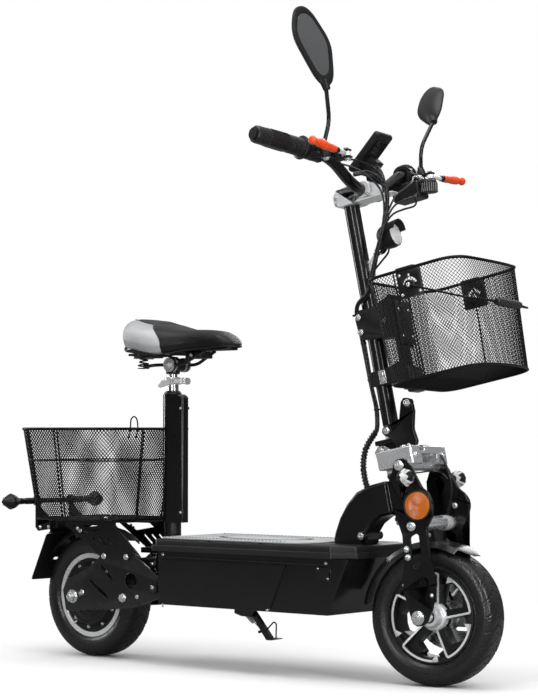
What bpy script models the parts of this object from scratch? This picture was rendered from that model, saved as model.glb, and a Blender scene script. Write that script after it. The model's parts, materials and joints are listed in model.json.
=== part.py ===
"""Seated electric scooter with front and rear wire baskets.

The frame is in metres: +X forward, +Y to the rider's left, +Z up, with the
origin on the ground under the middle of the vehicle.  The steering stands a
few degrees to the left, as it is left when the scooter is parked.

Pieces of the steering are modelled in the steering frame, where +X (u) is
forward, +Y is left and +Z (w) runs up the steering axis.
"""

import math

import bmesh
import bpy
from mathutils import Matrix, Vector

# Clearances
GAP = 0.0003
RUN = 0.0005
WELD = 0.000002

# Wheels
WHEELBASE = 0.865
REAR_AXLE_X = -0.420
TYRE_R = 0.1275
TYRE_W = 0.068
TREAD_FLAT = 0.036
RIM_R = 0.0875
RIM_W = 0.052
WHEEL_STEPS = 24
AXLE_R = 0.006
HUB_R = 0.026
DISC_R = 0.062
DISC_T = 0.002
DISC_Y = 0.040
MOTOR_R = 0.073

# Deck
BOX_REAR_X = -0.163
BOX_NOSE_X = 0.266
BOX_NOSE_TOP_X = 0.314
BOX_FLOOR_Z = 0.1255
BOX_TOP_Z = 0.232
BOX_HALF_W = 0.098
BOX_WALL = 0.0025
PANEL_T = 0.002
COVER_REAR_X = -0.173
COVER_NOSE_X = 0.324
COVER_HALF_W = 0.114
COVER_T = 0.024
COVER_EDGE = 0.012
COVER_STEP = 0.005
MAT_T = 0.003

# Front frame and steering axis
RAKE = math.radians(12.4)
HEAD_X = TYRE_R + 0.2272
HEAD_Z = TYRE_R * (1.0 + math.cos(RAKE)) + 0.168274
STEER_TURN = math.radians(8.0)
HEAD_TUBE_R = 0.022
HEAD_TUBE_TOP = -0.030
HEAD_TUBE_BOTTOM = -0.118
STEERER_R = 0.0125
HEAD = Matrix.Translation((HEAD_X, 0.0, HEAD_Z)) @ Matrix.Rotation(-RAKE, 4, "Y")
STEERED = HEAD @ Matrix.Rotation(STEER_TURN, 4, "Z")
BEAM_W = 0.050
BEAM_FOOT_REAR_X = 0.222
BEAM_FOOT_NOSE_X = 0.292

# Fork, in the steering frame
AXLE_U = 0.0254
AXLE_W = -(TYRE_R + 0.1776)
FORK_HALF = 0.070
FORK_T = 0.006
FENDER_GAP = 0.013
FENDER_T = 0.002
FENDER_HALF_W = 0.041

# Stem and handlebar
STEM_R = 0.0152
STEM_FOOT_W = 0.062
STEM_TOP_W = 0.503
COLLAR_R = 0.0135
FOLD_PIVOT_U = -0.020
FOLD_PIVOT_W = 0.014
FOLD_PIN_R = 0.004
TONGUE_HALF = 0.0115
EAR_T = 0.008
BAR_R = 0.011
BAR_BEND = 0.050
BAR_MID_U = 0.038
BAR_MID_W = STEM_TOP_W + 0.009
GRIP_R = 0.0165
GRIP_START = 0.064
GRIP_L = 0.114
GRIP_FLANGE_R = 0.0225
LEVER_PIVOT = (0.096, 0.165, BAR_MID_W + 0.034)
LEVER_PIN_R = 0.0025
MIRROR_BASE = (0.066, 0.190, BAR_MID_W + 0.048)
HORN_SEAT = (0.030, 0.140, BAR_MID_W + 0.011)
HORN_R = 0.0065
LAMP_PIVOT = (0.041, 0.0, 0.392)
LAMP_PIN_R = 0.0028
LATCH = (0.0035, -0.0245, 0.050)
LATCH_R = 0.0032

# Cables, in the steering frame
LOOM_R = 0.004
LOOM_ROUTE = (
    (-0.0650, -0.004, 0.020), (-0.0715, -0.004, -0.002), (-0.0725, -0.004, -0.029),
    (-0.0690, -0.004, -0.050),
)
CABLE_R = 0.0045
CABLE_ROUTE = (
    (0.0555, -0.075, 0.530), (0.076, -0.052, 0.530), (0.094, -0.036, 0.508), (0.094, -0.033, 0.474),
    (0.078, -0.032, 0.434), (0.056, -0.031, 0.391), (0.034, -0.028, 0.348), (0.014, -0.0235, 0.315),
    (-0.014, -0.0190, 0.300), (-0.0268, -0.008, 0.278), (-0.0255, -0.004, 0.240),
    (-0.0240, -0.004, 0.190), (-0.0240, -0.004, 0.140), (-0.0215, -0.004, 0.100),
    (-0.0260, -0.004, 0.070), (-0.0320, -0.004, 0.056),
)

# Seat
SEAT_X = -0.213
SEAT_TUBE_R = 0.0175
SLEEVE_R = 0.0115
SLEEVE_TOP_Z = 0.579
POST_R = 0.0092
PILLAR_TOP_Z = 0.545
PILLAR_FOOT_Z = 0.284
PILLAR_WALL = 0.002
PILLAR_NOSE = 0.0356
PILLAR_NOSE_HALF = 0.010
SADDLE_L = 0.268
SADDLE_W = 0.196
SADDLE_REAR_X = -0.306
SADDLE_PAN_Z = 0.634

# Rear suspension
PIVOT_X = -0.190
PIVOT_Z = 0.1565
PIVOT_R = 0.008
SWING_HALF = 0.0725
SWING_T = 0.005
SHOCK_X = -0.256
SHOCK_TOP_Z = 0.2210
SHOCK_SEAT_Z = 0.1585
SPRING_R = 0.0145
SPRING_WIRE = 0.0022
SPRING_TURNS = 5
RACK_TOP_Z = 2.0 * TYRE_R + 0.031
RACK_T = 0.003
PLATE_X = REAR_AXLE_X - TYRE_R + 0.0385
PLATE_Z = RACK_TOP_Z - 0.032
SIGNAL_X = PLATE_X - 0.047
SIGNAL_Z = RACK_TOP_Z + 0.036
SIGNAL_BAR = 0.0545

# Baskets
BASKET_WIRE = 0.0026
REAR_BASKET_W = 0.286
REAR_BASKET_D = 0.262
REAR_BASKET_X = -0.392
REAR_BASKET_FLOOR_Z = RACK_TOP_Z + 0.0015
REAR_BASKET_TOP_Z = REAR_BASKET_FLOOR_Z + 0.187
FRONT_BASKET_W = 0.262
FRONT_BASKET_D = 0.194
FRONT_BASKET_U = 0.0634
FRONT_BASKET_BOW = 0.018
FRONT_BASKET_FLOOR_W = 0.116
FRONT_BASKET_TOP_W = 0.3155
HANDLE_U = 0.159
HANDLE_W = 0.284

# Side stand
STAND_X = -0.041
STAND_Y = 0.048
STAND_Z = 0.1075

# Middle of the outline on the ground, in the drawing that the sizes above are read from
MIDDLE_X = 0.0101
MIDDLE_Y = 0.0200

PARTS = "electric_scooter"
CUTTERS = "cutters"
ORIGIN = (0.0, 0.0, 0.0)


# Scene and bench helpers

def reset_scene():
    """Empty the scene and make the collections for parts and cutters."""
    for old in list(bpy.data.objects):
        bpy.data.objects.remove(old, do_unlink=True)
    for old in list(bpy.data.collections):
        bpy.data.collections.remove(old)
    for name in (PARTS, CUTTERS):
        bpy.context.scene.collection.children.link(bpy.data.collections.new(name))


def material(name, colour, roughness, metallic=0.0):
    """Return a Principled material of one colour."""
    mat = bpy.data.materials.get(name) or bpy.data.materials.new(name)
    mat.use_nodes = True
    shader = mat.node_tree.nodes["Principled BSDF"]
    shader.inputs["Base Color"].default_value = (*colour, 1.0)
    shader.inputs["Roughness"].default_value = roughness
    shader.inputs["Metallic"].default_value = metallic
    mat.diffuse_color = (*colour, 1.0)
    return mat


def bench(mesh, place=Matrix()):
    """Put a mesh among the cutters as a working object, welded and facing out."""
    tidy = bmesh.new()
    tidy.from_mesh(mesh)
    tidy.transform(place)
    bmesh.ops.remove_doubles(tidy, verts=tidy.verts, dist=WELD)
    bmesh.ops.recalc_face_normals(tidy, faces=tidy.faces)
    tidy.to_mesh(mesh)
    tidy.free()
    obj = bpy.data.objects.new("piece", mesh)
    obj.hide_render = True
    obj.display_type = "WIRE"
    bpy.data.collections[CUTTERS].objects.link(obj)
    return obj


def bench_shape(shape, place=Matrix()):
    """Turn a bmesh into a working object."""
    mesh = bpy.data.meshes.new("piece")
    shape.to_mesh(mesh)
    shape.free()
    return bench(mesh, place)


def bake(obj, place=Matrix()):
    """Replace an object by the mesh that its modifiers or curve make."""
    graph = bpy.context.evaluated_depsgraph_get()
    mesh = bpy.data.meshes.new_from_object(obj.evaluated_get(graph))
    turned = place @ obj.matrix_world
    bpy.data.objects.remove(obj, do_unlink=True)
    return bench(mesh, turned)


def join(base, *others):
    """Fuse working objects into one body."""
    for other in others:
        union = base.modifiers.new("Union", "BOOLEAN")
        union.operation = "UNION"
        union.solver = "EXACT"
        union.object = other
        base = bake(base)
        bpy.data.objects.remove(other, do_unlink=True)
    return base


def cut(base, *tools):
    """Take working objects away from a body."""
    for tool in tools:
        carve = base.modifiers.new("Cut", "BOOLEAN")
        carve.operation = "DIFFERENCE"
        carve.solver = "EXACT"
        carve.object = tool
        base = bake(base)
        bpy.data.objects.remove(tool, do_unlink=True)
    return base


# Frames

class Frame:
    """An empty that carries pieces, and the point of their drawing it stands on."""

    def __init__(self, name, at=ORIGIN, parent=None, turn=Matrix()):
        self.at = Vector(at)
        self.empty = bpy.data.objects.new(name, None)
        self.empty.empty_display_size = 0.03
        bpy.data.collections[CUTTERS].objects.link(self.empty)
        start = Vector((MIDDLE_X, MIDDLE_Y, 0.0))
        if parent:
            self.empty.parent = parent.empty
            start = parent.at
        self.empty.matrix_local = Matrix.Translation(self.at - start) @ turn


def finish(name, obj, mat, frame=None, flat=False):
    """Name a piece, give it its material and hang it on its frame."""
    obj.name = name
    obj.data.name = name
    obj.data.materials.clear()
    obj.data.materials.append(mat)
    if not flat:
        obj.data.shade_smooth()
        obj.data.set_sharp_from_angle(angle=math.radians(35.0))
    obj.hide_render = False
    obj.display_type = "TEXTURED"
    bpy.data.collections[CUTTERS].objects.unlink(obj)
    bpy.data.collections[PARTS].objects.link(obj)
    obj.data.transform(Matrix.Translation(-frame.at if frame else (-MIDDLE_X, -MIDDLE_Y, 0.0)))
    if frame:
        obj.parent = frame.empty
    return obj


# Shapes

def side(y=0.0):
    """Placement that stands a flat outline up in the plane of one y."""
    return Matrix.Translation((0.0, y, 0.0)) @ Matrix.Rotation(math.pi / 2.0, 4, "X")


def level(z=0.0):
    """Placement that lays a flat outline at one height."""
    return Matrix.Translation((0.0, 0.0, z))


def across(centre):
    """Placement that turns a lathe's axis from +Z to +Y, at a centre."""
    return Matrix.Translation(centre) @ Matrix.Rotation(-math.pi / 2.0, 4, "X")


def along(start, end):
    """Placement that puts a lathe's foot on one point, with its axis towards another."""
    aim = (Vector(end) - Vector(start)).to_track_quat("Z", "Y").to_matrix().to_4x4()
    return Matrix.Translation(start) @ aim


def block(low, high, edge=0.0, place=Matrix(), steps=1):
    """Box between two corners, with its edges rounded."""
    low, high = Vector(low), Vector(high)
    shape = bmesh.new()
    bmesh.ops.create_cube(shape, size=1.0)
    bmesh.ops.scale(shape, vec=high - low, verts=shape.verts)
    bmesh.ops.translate(shape, vec=(high + low) / 2.0, verts=shape.verts)
    if edge:
        bmesh.ops.bevel(
            shape, geom=shape.edges[:], offset=edge, segments=steps, profile=0.5, affect="EDGES"
        )
    return bench_shape(shape, place)


def rod(start, end, radius, sides=20, end_radius=None):
    """Round bar between two points, or a cone with another radius at its end."""
    start, end = Vector(start), Vector(end)
    shape = bmesh.new()
    bmesh.ops.create_cone(
        shape,
        cap_ends=True,
        segments=sides,
        radius1=radius,
        radius2=radius if end_radius is None else end_radius,
        depth=(end - start).length,
    )
    aim = (end - start).to_track_quat("Z", "Y").to_matrix().to_4x4()
    return bench_shape(shape, Matrix.Translation((start + end) / 2.0) @ aim)


def lathe(profile, place=Matrix(), steps=32, sweep=2.0 * math.pi):
    """Turned body from (radius, height) points that run down the outer side."""
    mesh = bpy.data.meshes.new("profile")
    count = len(profile)
    ring = profile[0][0] > 0.0 and profile[-1][0] > 0.0
    edges = [(i, (i + 1) % count) for i in range(count if ring else count - 1)]
    mesh.from_pydata([(r, 0.0, z) for r, z in profile], edges, [])
    obj = bpy.data.objects.new("profile", mesh)
    bpy.data.collections[CUTTERS].objects.link(obj)
    screw = obj.modifiers.new("Screw", "SCREW")
    screw.angle = sweep
    screw.steps = steps
    screw.render_steps = steps
    screw.use_merge_vertices = True
    screw.merge_threshold = 0.00001
    return bake(obj, place)


def tube(path, radius, cyclic=False, resolution=2):
    """Round wire along a list of points, with filled ends."""
    curve = bpy.data.curves.new("tube", "CURVE")
    curve.dimensions = "3D"
    curve.bevel_depth = radius
    curve.bevel_resolution = resolution
    curve.use_fill_caps = True
    spline = curve.splines.new("POLY")
    spline.points.add(len(path) - 1)
    for point, place in zip(spline.points, path):
        point.co = (*place, 1.0)
    spline.use_cyclic_u = cyclic
    obj = bpy.data.objects.new("tube", curve)
    bpy.data.collections[CUTTERS].objects.link(obj)
    return bake(obj)


def plate(outline, thickness, place=Matrix(), holes=(), edge=0.0):
    """Flat sheet with an outline, holes and softened rims."""
    curve = bpy.data.curves.new("plate", "CURVE")
    curve.dimensions = "2D"
    curve.fill_mode = "BOTH"
    curve.extrude = thickness / 2.0
    for loop in (outline, *holes):
        spline = curve.splines.new("POLY")
        spline.points.add(len(loop) - 1)
        for point, (x, y) in zip(spline.points, loop):
            point.co = (x, y, 0.0, 1.0)
        spline.use_cyclic_u = True
    obj = bpy.data.objects.new("plate", curve)
    bpy.data.collections[CUTTERS].objects.link(obj)
    obj = bake(obj, place)
    if edge:
        obj = soften_rims(obj, edge)
    return obj


def soften_rims(obj, edge, steps=1, corner=math.radians(50.0)):
    """Round the sharp rims of a working object."""
    shape = bmesh.new()
    shape.from_mesh(obj.data)
    bmesh.ops.dissolve_limit(
        shape, angle_limit=math.radians(1.0), verts=shape.verts[:], edges=shape.edges[:]
    )
    sharp = [e for e in shape.edges if e.is_manifold and e.calc_face_angle() > corner]
    bmesh.ops.bevel(
        shape, geom=sharp, offset=edge, segments=steps, profile=0.5, affect="EDGES",
        clamp_overlap=True,
    )
    shape.to_mesh(obj.data)
    shape.free()
    return obj


# Outlines and paths

def circle(centre, radius, count=20):
    """Points of a circle in a flat outline."""
    turn = 2.0 * math.pi / count
    return [
        (centre[0] + radius * math.cos(i * turn), centre[1] + radius * math.sin(i * turn))
        for i in range(count)
    ]


def arc(centre, radius, start, end, count=6):
    """Points of an arc between two angles in degrees."""
    angles = [math.radians(start + (end - start) * i / count) for i in range(count + 1)]
    return [(centre[0] + radius * math.cos(a), centre[1] + radius * math.sin(a)) for a in angles]


def slot(start, end, radius, count=5):
    """Outline of a straight slot with round ends."""
    lean = math.degrees(math.atan2(end[1] - start[1], end[0] - start[0]))
    return arc(end, radius, lean - 90.0, lean + 90.0, count) + arc(
        start, radius, lean + 90.0, lean + 270.0, count
    )


def rounded(outline, radius, steps=3):
    """Outline with its corners turned into arcs that fit its sides."""
    result = []
    count = len(outline)
    for i, here in enumerate(outline):
        here = Vector(here)
        back = Vector(outline[i - 1]) - here
        ahead = Vector(outline[(i + 1) % count]) - here
        half = back.angle(ahead) / 2.0
        reach = min(radius / math.tan(half), 0.45 * back.length, 0.45 * ahead.length)
        first = here + back.normalized() * reach
        last = here + ahead.normalized() * reach
        for step in range(steps + 1):
            t = step / steps
            point = first * (1.0 - t) ** 2 + here * 2.0 * t * (1.0 - t) + last * t * t
            result.append((point.x, point.y))
    return result


def bent(points, radius, steps=4):
    """Path of a bent tube: straight runs with arcs at the corners."""
    result = [Vector(points[0])]
    for i in range(1, len(points) - 1):
        here = Vector(points[i])
        back = Vector(points[i - 1]) - here
        ahead = Vector(points[i + 1]) - here
        half = back.angle(ahead) / 2.0
        reach = min(radius / math.tan(half), 0.48 * back.length, 0.48 * ahead.length)
        first = here + back.normalized() * reach
        last = here + ahead.normalized() * reach
        for step in range(steps + 1):
            t = step / steps
            result.append(first * (1.0 - t) ** 2 + here * 2.0 * t * (1.0 - t) + last * t * t)
    result.append(Vector(points[-1]))
    return result


def flowing(points, count):
    """Smooth path through points chosen by hand, read at even steps."""
    knots = [Vector(p) for p in points]
    knots = [2.0 * knots[0] - knots[1]] + knots + [2.0 * knots[-1] - knots[-2]]
    spans = len(knots) - 3
    result = []
    for i in range(count):
        t = spans * i / (count - 1)
        k = min(int(t), spans - 1)
        t -= k
        a, b, c, d = knots[k:k + 4]
        result.append(
            0.5 * (2.0 * b + (c - a) * t + (2.0 * a - 5.0 * b + 4.0 * c - d) * t * t
                   + (3.0 * b - a - 3.0 * c + d) * t ** 3)
        )
    return result


def helix(centre, radius, low, high, turns, per_turn=9):
    """Points of a coil round a vertical axis, with a closed turn at each end."""
    total = int(turns * per_turn)
    points = []
    for i in range(total + 1):
        angle = 2.0 * math.pi * i / per_turn
        t = i / total
        ends = 0.5 / turns
        rise = min(max((t - ends) / (1.0 - 2.0 * ends), 0.0), 1.0)
        height = low + (high - low) * (0.12 * t + 0.88 * rise)
        points.append(
            Vector((
                centre[0] + radius * math.cos(angle),
                centre[1] + radius * math.sin(angle),
                height,
            ))
        )
    return points


def least_gap(points, per_turn, wire):
    """Smallest free space between turns of a coil that lie one apart."""
    space = min(
        (points[i + j] - points[i]).length
        for i in range(len(points) - per_turn - 1)
        for j in (per_turn - 1, per_turn, per_turn + 1)
    )
    return space - 2.0 * wire


# Chassis

def make_deck_box(mat):
    """Battery tub with its side panels, rear frame, swing pivot and stand lug."""
    rim = BOX_TOP_Z - GAP
    outline = [
        (BOX_REAR_X, BOX_FLOOR_Z), (BOX_NOSE_X, BOX_FLOOR_Z), (BOX_NOSE_TOP_X, rim), (BOX_REAR_X, rim),
    ]
    over = 0.02
    rise = (BOX_NOSE_TOP_X - BOX_NOSE_X) / (BOX_TOP_Z - BOX_FLOOR_Z)
    wall = BOX_WALL
    room = [
        (BOX_REAR_X + wall, BOX_FLOOR_Z + wall),
        (BOX_NOSE_X - wall + rise * wall, BOX_FLOOR_Z + wall),
        (BOX_NOSE_TOP_X - wall + rise * over, BOX_TOP_Z + over),
        (BOX_REAR_X + wall, BOX_TOP_Z + over),
    ]
    tub = plate(outline, 2.0 * BOX_HALF_W, side())
    margin = 0.006
    panel = [
        (BOX_REAR_X + margin, BOX_FLOOR_Z + margin),
        (0.127, BOX_FLOOR_Z + margin),
        (0.165, BOX_TOP_Z - 0.016),
        (BOX_REAR_X + margin, BOX_TOP_Z - 0.016),
    ]
    for flank in (-1.0, 1.0):
        tub = join(tub, plate(rounded(panel, 0.003, 1), 2.0 * PANEL_T, side(flank * BOX_HALF_W)))
    port = [(0.243, 0.191), (0.274, 0.191), (0.274, 0.2158), (0.243, 0.2158)]
    socket = circle((0.2585, 0.203), 0.0085, 12)
    tub = join(tub, plate(rounded(port, 0.003, 1), 2.0 * PANEL_T, side(-BOX_HALF_W), (socket,)))
    tail_half = 0.026
    tail = [
        (BOX_REAR_X + 0.001, 0.150), (PIVOT_X - 0.006, 0.150), (SEAT_X - 0.026, 0.192),
        (SHOCK_X + 0.022, SHOCK_TOP_Z), (SHOCK_X - 0.022, SHOCK_TOP_Z),
        (SHOCK_X - 0.022, BOX_TOP_Z), (BOX_REAR_X + 0.001, BOX_TOP_Z),
    ]
    tub = join(tub, plate(tail, 2.0 * tail_half, side()))
    outer = SWING_HALF + SWING_T
    barrel = (PIVOT_X, 0.0, PIVOT_Z)
    pin = [
        (0.0, outer + 0.008), (0.011, outer + 0.007), (0.011, outer + RUN), (PIVOT_R, outer + RUN), (PIVOT_R, SWING_HALF - RUN),
        (0.016, SWING_HALF - RUN),
    ]
    tub = join(tub, lathe(both_ways(pin), across(barrel), 14))
    lug = [
        (STAND_X - 0.038, BOX_FLOOR_Z + 0.001), (STAND_X - 0.038, STAND_Z - 0.004),
        (STAND_X - 0.020, STAND_Z - 0.009), (STAND_X + 0.009, STAND_Z - 0.009),
        (STAND_X + 0.016, BOX_FLOOR_Z + 0.001),
    ]
    tub = join(
        tub,
        plate(lug, 0.005, side(STAND_Y - 0.009)),
        rod((STAND_X, STAND_Y - 0.010, STAND_Z), (STAND_X, STAND_Y + 0.0105, STAND_Z), 0.0040, 10),
        rod(
            (STAND_X - 0.0315, STAND_Y - 0.010, STAND_Z + 0.0005),
            (STAND_X - 0.0315, STAND_Y + 0.0075, STAND_Z + 0.0005), 0.0022, 8,
        ),
    )
    inside = plate(room, 2.0 * (BOX_HALF_W - wall), side())
    return finish("deck_box", cut(tub, inside), mat)


def beam_foot(clearance, low, high):
    """Block with the plan of the front beam where it goes through the deck cover."""
    half = BEAM_W / 2.0 + clearance
    return block(
        (BEAM_FOOT_REAR_X - clearance, -half, low), (BEAM_FOOT_NOSE_X + clearance, half, high)
    )


def make_deck_cover(mat):
    """Footboard shell with a stepped rim and a pass-through for the front beam."""
    foot = BOX_TOP_Z + GAP
    nose = COVER_NOSE_X

    def plan(inset):
        half = COVER_HALF_W - inset
        rear = COVER_REAR_X + inset
        front = nose - inset
        corner = 0.040
        return rounded(
            [(rear, -half), (front - corner, -half), (front, -half + 0.8 * corner),
             (front, half - 0.8 * corner), (front - corner, half), (rear, half)], 0.012, 2
        )

    body = plate(plan(0.0), COVER_EDGE, level(foot + COVER_EDGE / 2.0))
    upper = plate(plan(COVER_STEP), COVER_T - 0.003, level(foot + 0.003 + (COVER_T - 0.003) / 2.0),
                  edge=0.003)
    body = join(body, upper)
    rib = COVER_HALF_W - BOX_HALF_W + 0.008
    hollow = block(
        (BOX_REAR_X + 0.008, -COVER_HALF_W + rib, foot - 0.01),
        (BEAM_FOOT_REAR_X - 0.012, COVER_HALF_W - rib, foot + COVER_T - 0.005),
    )
    return finish(
        "deck_cover", cut(body, hollow, beam_foot(RUN, foot - 0.01, foot + COVER_T + 0.01)), mat
    )


def make_deck_mat(mat):
    """Thin grip mat with a rounded nose on the footboard."""
    top = BOX_TOP_Z + GAP + COVER_T + GAP
    half = COVER_HALF_W - COVER_STEP - 0.009
    rear = COVER_REAR_X + COVER_STEP + 0.009
    nose = BEAM_FOOT_REAR_X - 0.012
    outline = rounded(
        [(rear, -half), (nose - 0.03, -half), (nose, -0.45 * half), (nose, 0.45 * half),
         (nose - 0.03, half), (rear, half)], 0.022, 3
    )
    return finish("deck_mat", plate(outline, MAT_T, level(top + MAT_T / 2.0)), mat)


def make_battery(mat):
    """Battery pack on the floor of the tub."""
    floor = BOX_FLOOR_Z + BOX_WALL + GAP
    half = BOX_HALF_W - BOX_WALL - 0.006
    pack = block((BOX_REAR_X + 0.012, -half, floor), (0.070, half, floor + 0.078), 0.004)
    return finish("battery_pack", pack, mat)


def make_controller(mat):
    """Motor controller with a finned case, in front of the battery."""
    floor = BOX_FLOOR_Z + BOX_WALL + GAP
    rear = 0.086
    case = block((rear, -0.045, floor), (rear + 0.110, 0.045, floor + 0.034))
    fins = 4
    pitch = 0.080 / fins
    grooves = [
        block(
            (rear - 0.01, -0.040 + i * pitch + 0.004, floor + 0.026),
            (rear + 0.12, -0.040 + (i + 1) * pitch - 0.004, floor + 0.05),
        )
        for i in range(fins)
    ]
    return finish("motor_controller", cut(case, *grooves), mat)


def head_point(u, w):
    """Height and length place of a steering-frame point in the middle plane."""
    return (
        HEAD_X + u * math.cos(RAKE) - w * math.sin(RAKE),
        HEAD_Z + u * math.sin(RAKE) + w * math.cos(RAKE),
    )


def make_gooseneck(mat):
    """Curved front beam that stands in the tub and carries the head tube."""
    cover_top = BOX_TOP_Z + GAP + COVER_T
    floor = BOX_FLOOR_Z + BOX_WALL + GAP
    crown = head_point(-0.016, -0.040)
    throat = head_point(-0.016, -0.104)
    outer = flowing(
        [(BEAM_FOOT_REAR_X, 0.0, cover_top), (0.2225, 0.0, 0.272), (0.243, 0.0, 0.318),
         (0.282, 0.0, 0.359), (crown[0], 0.0, crown[1])], 8
    )
    inner = flowing(
        [(throat[0], 0.0, throat[1]), (0.325, 0.0, 0.306), (0.301, 0.0, 0.281),
         (BEAM_FOOT_NOSE_X, 0.0, cover_top)], 5
    )
    nose_low = BOX_NOSE_X - 0.010
    outline = [(p.x, p.z) for p in outer + inner] + [
        (BEAM_FOOT_NOSE_X, BOX_TOP_Z - 0.005), (nose_low, floor), (BEAM_FOOT_REAR_X, floor),
    ]
    beam = plate(outline, BEAM_W, side(), edge=0.005)
    cup = 0.006
    outside = [
        (0.0, HEAD_TUBE_TOP), (HEAD_TUBE_R + 0.002, HEAD_TUBE_TOP),
        (HEAD_TUBE_R + 0.002, HEAD_TUBE_TOP - cup), (HEAD_TUBE_R, HEAD_TUBE_TOP - cup - 0.001),
        (HEAD_TUBE_R, HEAD_TUBE_BOTTOM + cup + 0.001), (HEAD_TUBE_R + 0.002, HEAD_TUBE_BOTTOM + cup),
        (HEAD_TUBE_R + 0.002, HEAD_TUBE_BOTTOM), (0.0, HEAD_TUBE_BOTTOM),
    ]
    tube_body = lathe(outside, HEAD, 18)
    pin_x, pin_z = 0.292, cover_top + 0.016
    gusset = [
        (BEAM_FOOT_NOSE_X - 0.012, cover_top + GAP), (BEAM_FOOT_NOSE_X + 0.006, cover_top + GAP),
        (pin_x + 0.010, pin_z), (pin_x, pin_z + 0.009), (BEAM_FOOT_NOSE_X - 0.012, pin_z + 0.010),
    ]
    foot = Vector(LOOM_ROUTE[-1])
    entry = Vector(LOOM_ROUTE[-2])
    loom_hole = rod(STEERED @ entry, STEERED @ (foot + 0.15 * (foot - entry)), LOOM_R + 0.0015, 8)
    beam = join(
        beam,
        plate(gusset, BEAM_W - 0.014, side()),
        rod((pin_x, -0.030, pin_z), (pin_x, 0.030, pin_z), 0.0085, 12),
        tube_body,
    )
    bore = rod(
        HEAD @ Vector((0.0, 0.0, HEAD_TUBE_BOTTOM - 0.01)),
        HEAD @ Vector((0.0, 0.0, HEAD_TUBE_TOP + 0.01)), STEERER_R + RUN, 20,
    )
    return finish("gooseneck", cut(beam, bore, loom_hole), mat)


def make_seat_tube(mat):
    """Seat tube that stands on the rear frame."""
    foot = BOX_TOP_Z + GAP
    top = PILLAR_TOP_Z + 0.007
    outside = [
        (0.0, top), (0.0145, top), (0.0145, PILLAR_TOP_Z - 0.004), (SEAT_TUBE_R, PILLAR_TOP_Z - 0.007),
        (SEAT_TUBE_R, foot + 0.003), (SEAT_TUBE_R + 0.003, foot + 0.002), (SEAT_TUBE_R + 0.003, foot),
        (0.0, foot),
    ]
    body = lathe(outside, Matrix.Translation((SEAT_X, 0.0, 0.0)), 16)
    bore = rod((SEAT_X, 0.0, foot + 0.02), (SEAT_X, 0.0, top + 0.01), SLEEVE_R + GAP, 20)
    return finish("seat_tube", cut(body, bore), mat)


def pillar_outline(wall):
    """Teardrop plan of the seat tube's cover, moved in by a wall."""
    radius = SEAT_TUBE_R + RUN + PILLAR_WALL - wall
    nose = PILLAR_NOSE - wall
    half = PILLAR_NOSE_HALF - 0.8 * wall
    lean = math.degrees(math.atan2(radius - half, nose))
    rear = arc((0.0, 0.0), radius, 90.0 - lean, 270.0 + lean, 10)
    front = [
        (nose - 0.003, -half - 0.0006), (nose, -half + 0.003), (nose, half - 0.003),
        (nose - 0.003, half + 0.0006),
    ]
    return [(SEAT_X + x, y) for x, y in rear + front]


def make_pillar_cover(mat):
    """Teardrop shell round the seat tube, with a sloped cap."""
    height = PILLAR_TOP_Z - PILLAR_FOOT_Z
    shell = plate(pillar_outline(0.0), height, level(PILLAR_FOOT_Z + height / 2.0))
    inside = plate(
        pillar_outline(PILLAR_WALL), height - 0.003, level(PILLAR_FOOT_Z - 0.001 + (height - 0.003) / 2.0)
    )
    hole = rod(
        (SEAT_X, 0.0, PILLAR_FOOT_Z), (SEAT_X, 0.0, PILLAR_TOP_Z + 0.01), SEAT_TUBE_R + GAP, 20
    )
    slope = plate(
        [(SEAT_X + 0.018, PILLAR_TOP_Z + 0.001), (SEAT_X + 0.050, PILLAR_TOP_Z - 0.013),
         (SEAT_X + 0.050, PILLAR_TOP_Z + 0.02), (SEAT_X + 0.018, PILLAR_TOP_Z + 0.02)], 0.08, side()
    )
    return finish("seat_tube_cover", cut(shell, inside, hole, slope), mat)


def clamp_centre():
    """Middle of the quick-release bolt of the seat clamp."""
    return Vector((SEAT_X + SLEEVE_R + 0.011, 0.0, SLEEVE_TOP_Z - 0.007))


def make_sleeve(mat):
    """Chromed sleeve for the saddle's post, with its split collar and quick-release bolt."""
    foot = BOX_TOP_Z + GAP + 0.0205
    top = SLEEVE_TOP_Z
    bore = POST_R + GAP
    place = Matrix.Translation((SEAT_X, 0.0, 0.0))
    body = lathe([(SLEEVE_R, top), (SLEEVE_R, foot), (bore, foot), (bore, top)], place, 16)
    centre = clamp_centre()
    across_y = Vector((0.0, 1.0, 0.0))
    high = top + 0.001
    low = high - 0.015
    collar = lathe(
        [(SLEEVE_R + 0.0055, high), (SLEEVE_R + 0.0055, low), (bore + 0.0008, low),
         (bore + 0.0008, high)], place, 16
    )
    ears = block(
        (SEAT_X + SLEEVE_R + 0.001, -0.0085, low + 0.001),
        (centre.x + 0.0075, 0.0085, high - 0.001)
    )
    bolt = rod(centre - across_y * 0.0250, centre + across_y * 0.0195, 0.0026, 8)
    nut = rod(centre + across_y * 0.0130, centre + across_y * 0.0225, 0.0072, 10)
    slit = block((SEAT_X + POST_R - 0.002, -0.0008, low - 0.008), (centre.x - 0.0035, 0.0008, high + 0.01))
    return finish("seat_sleeve", cut(join(body, collar, ears, bolt, nut), slit), mat)


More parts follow.
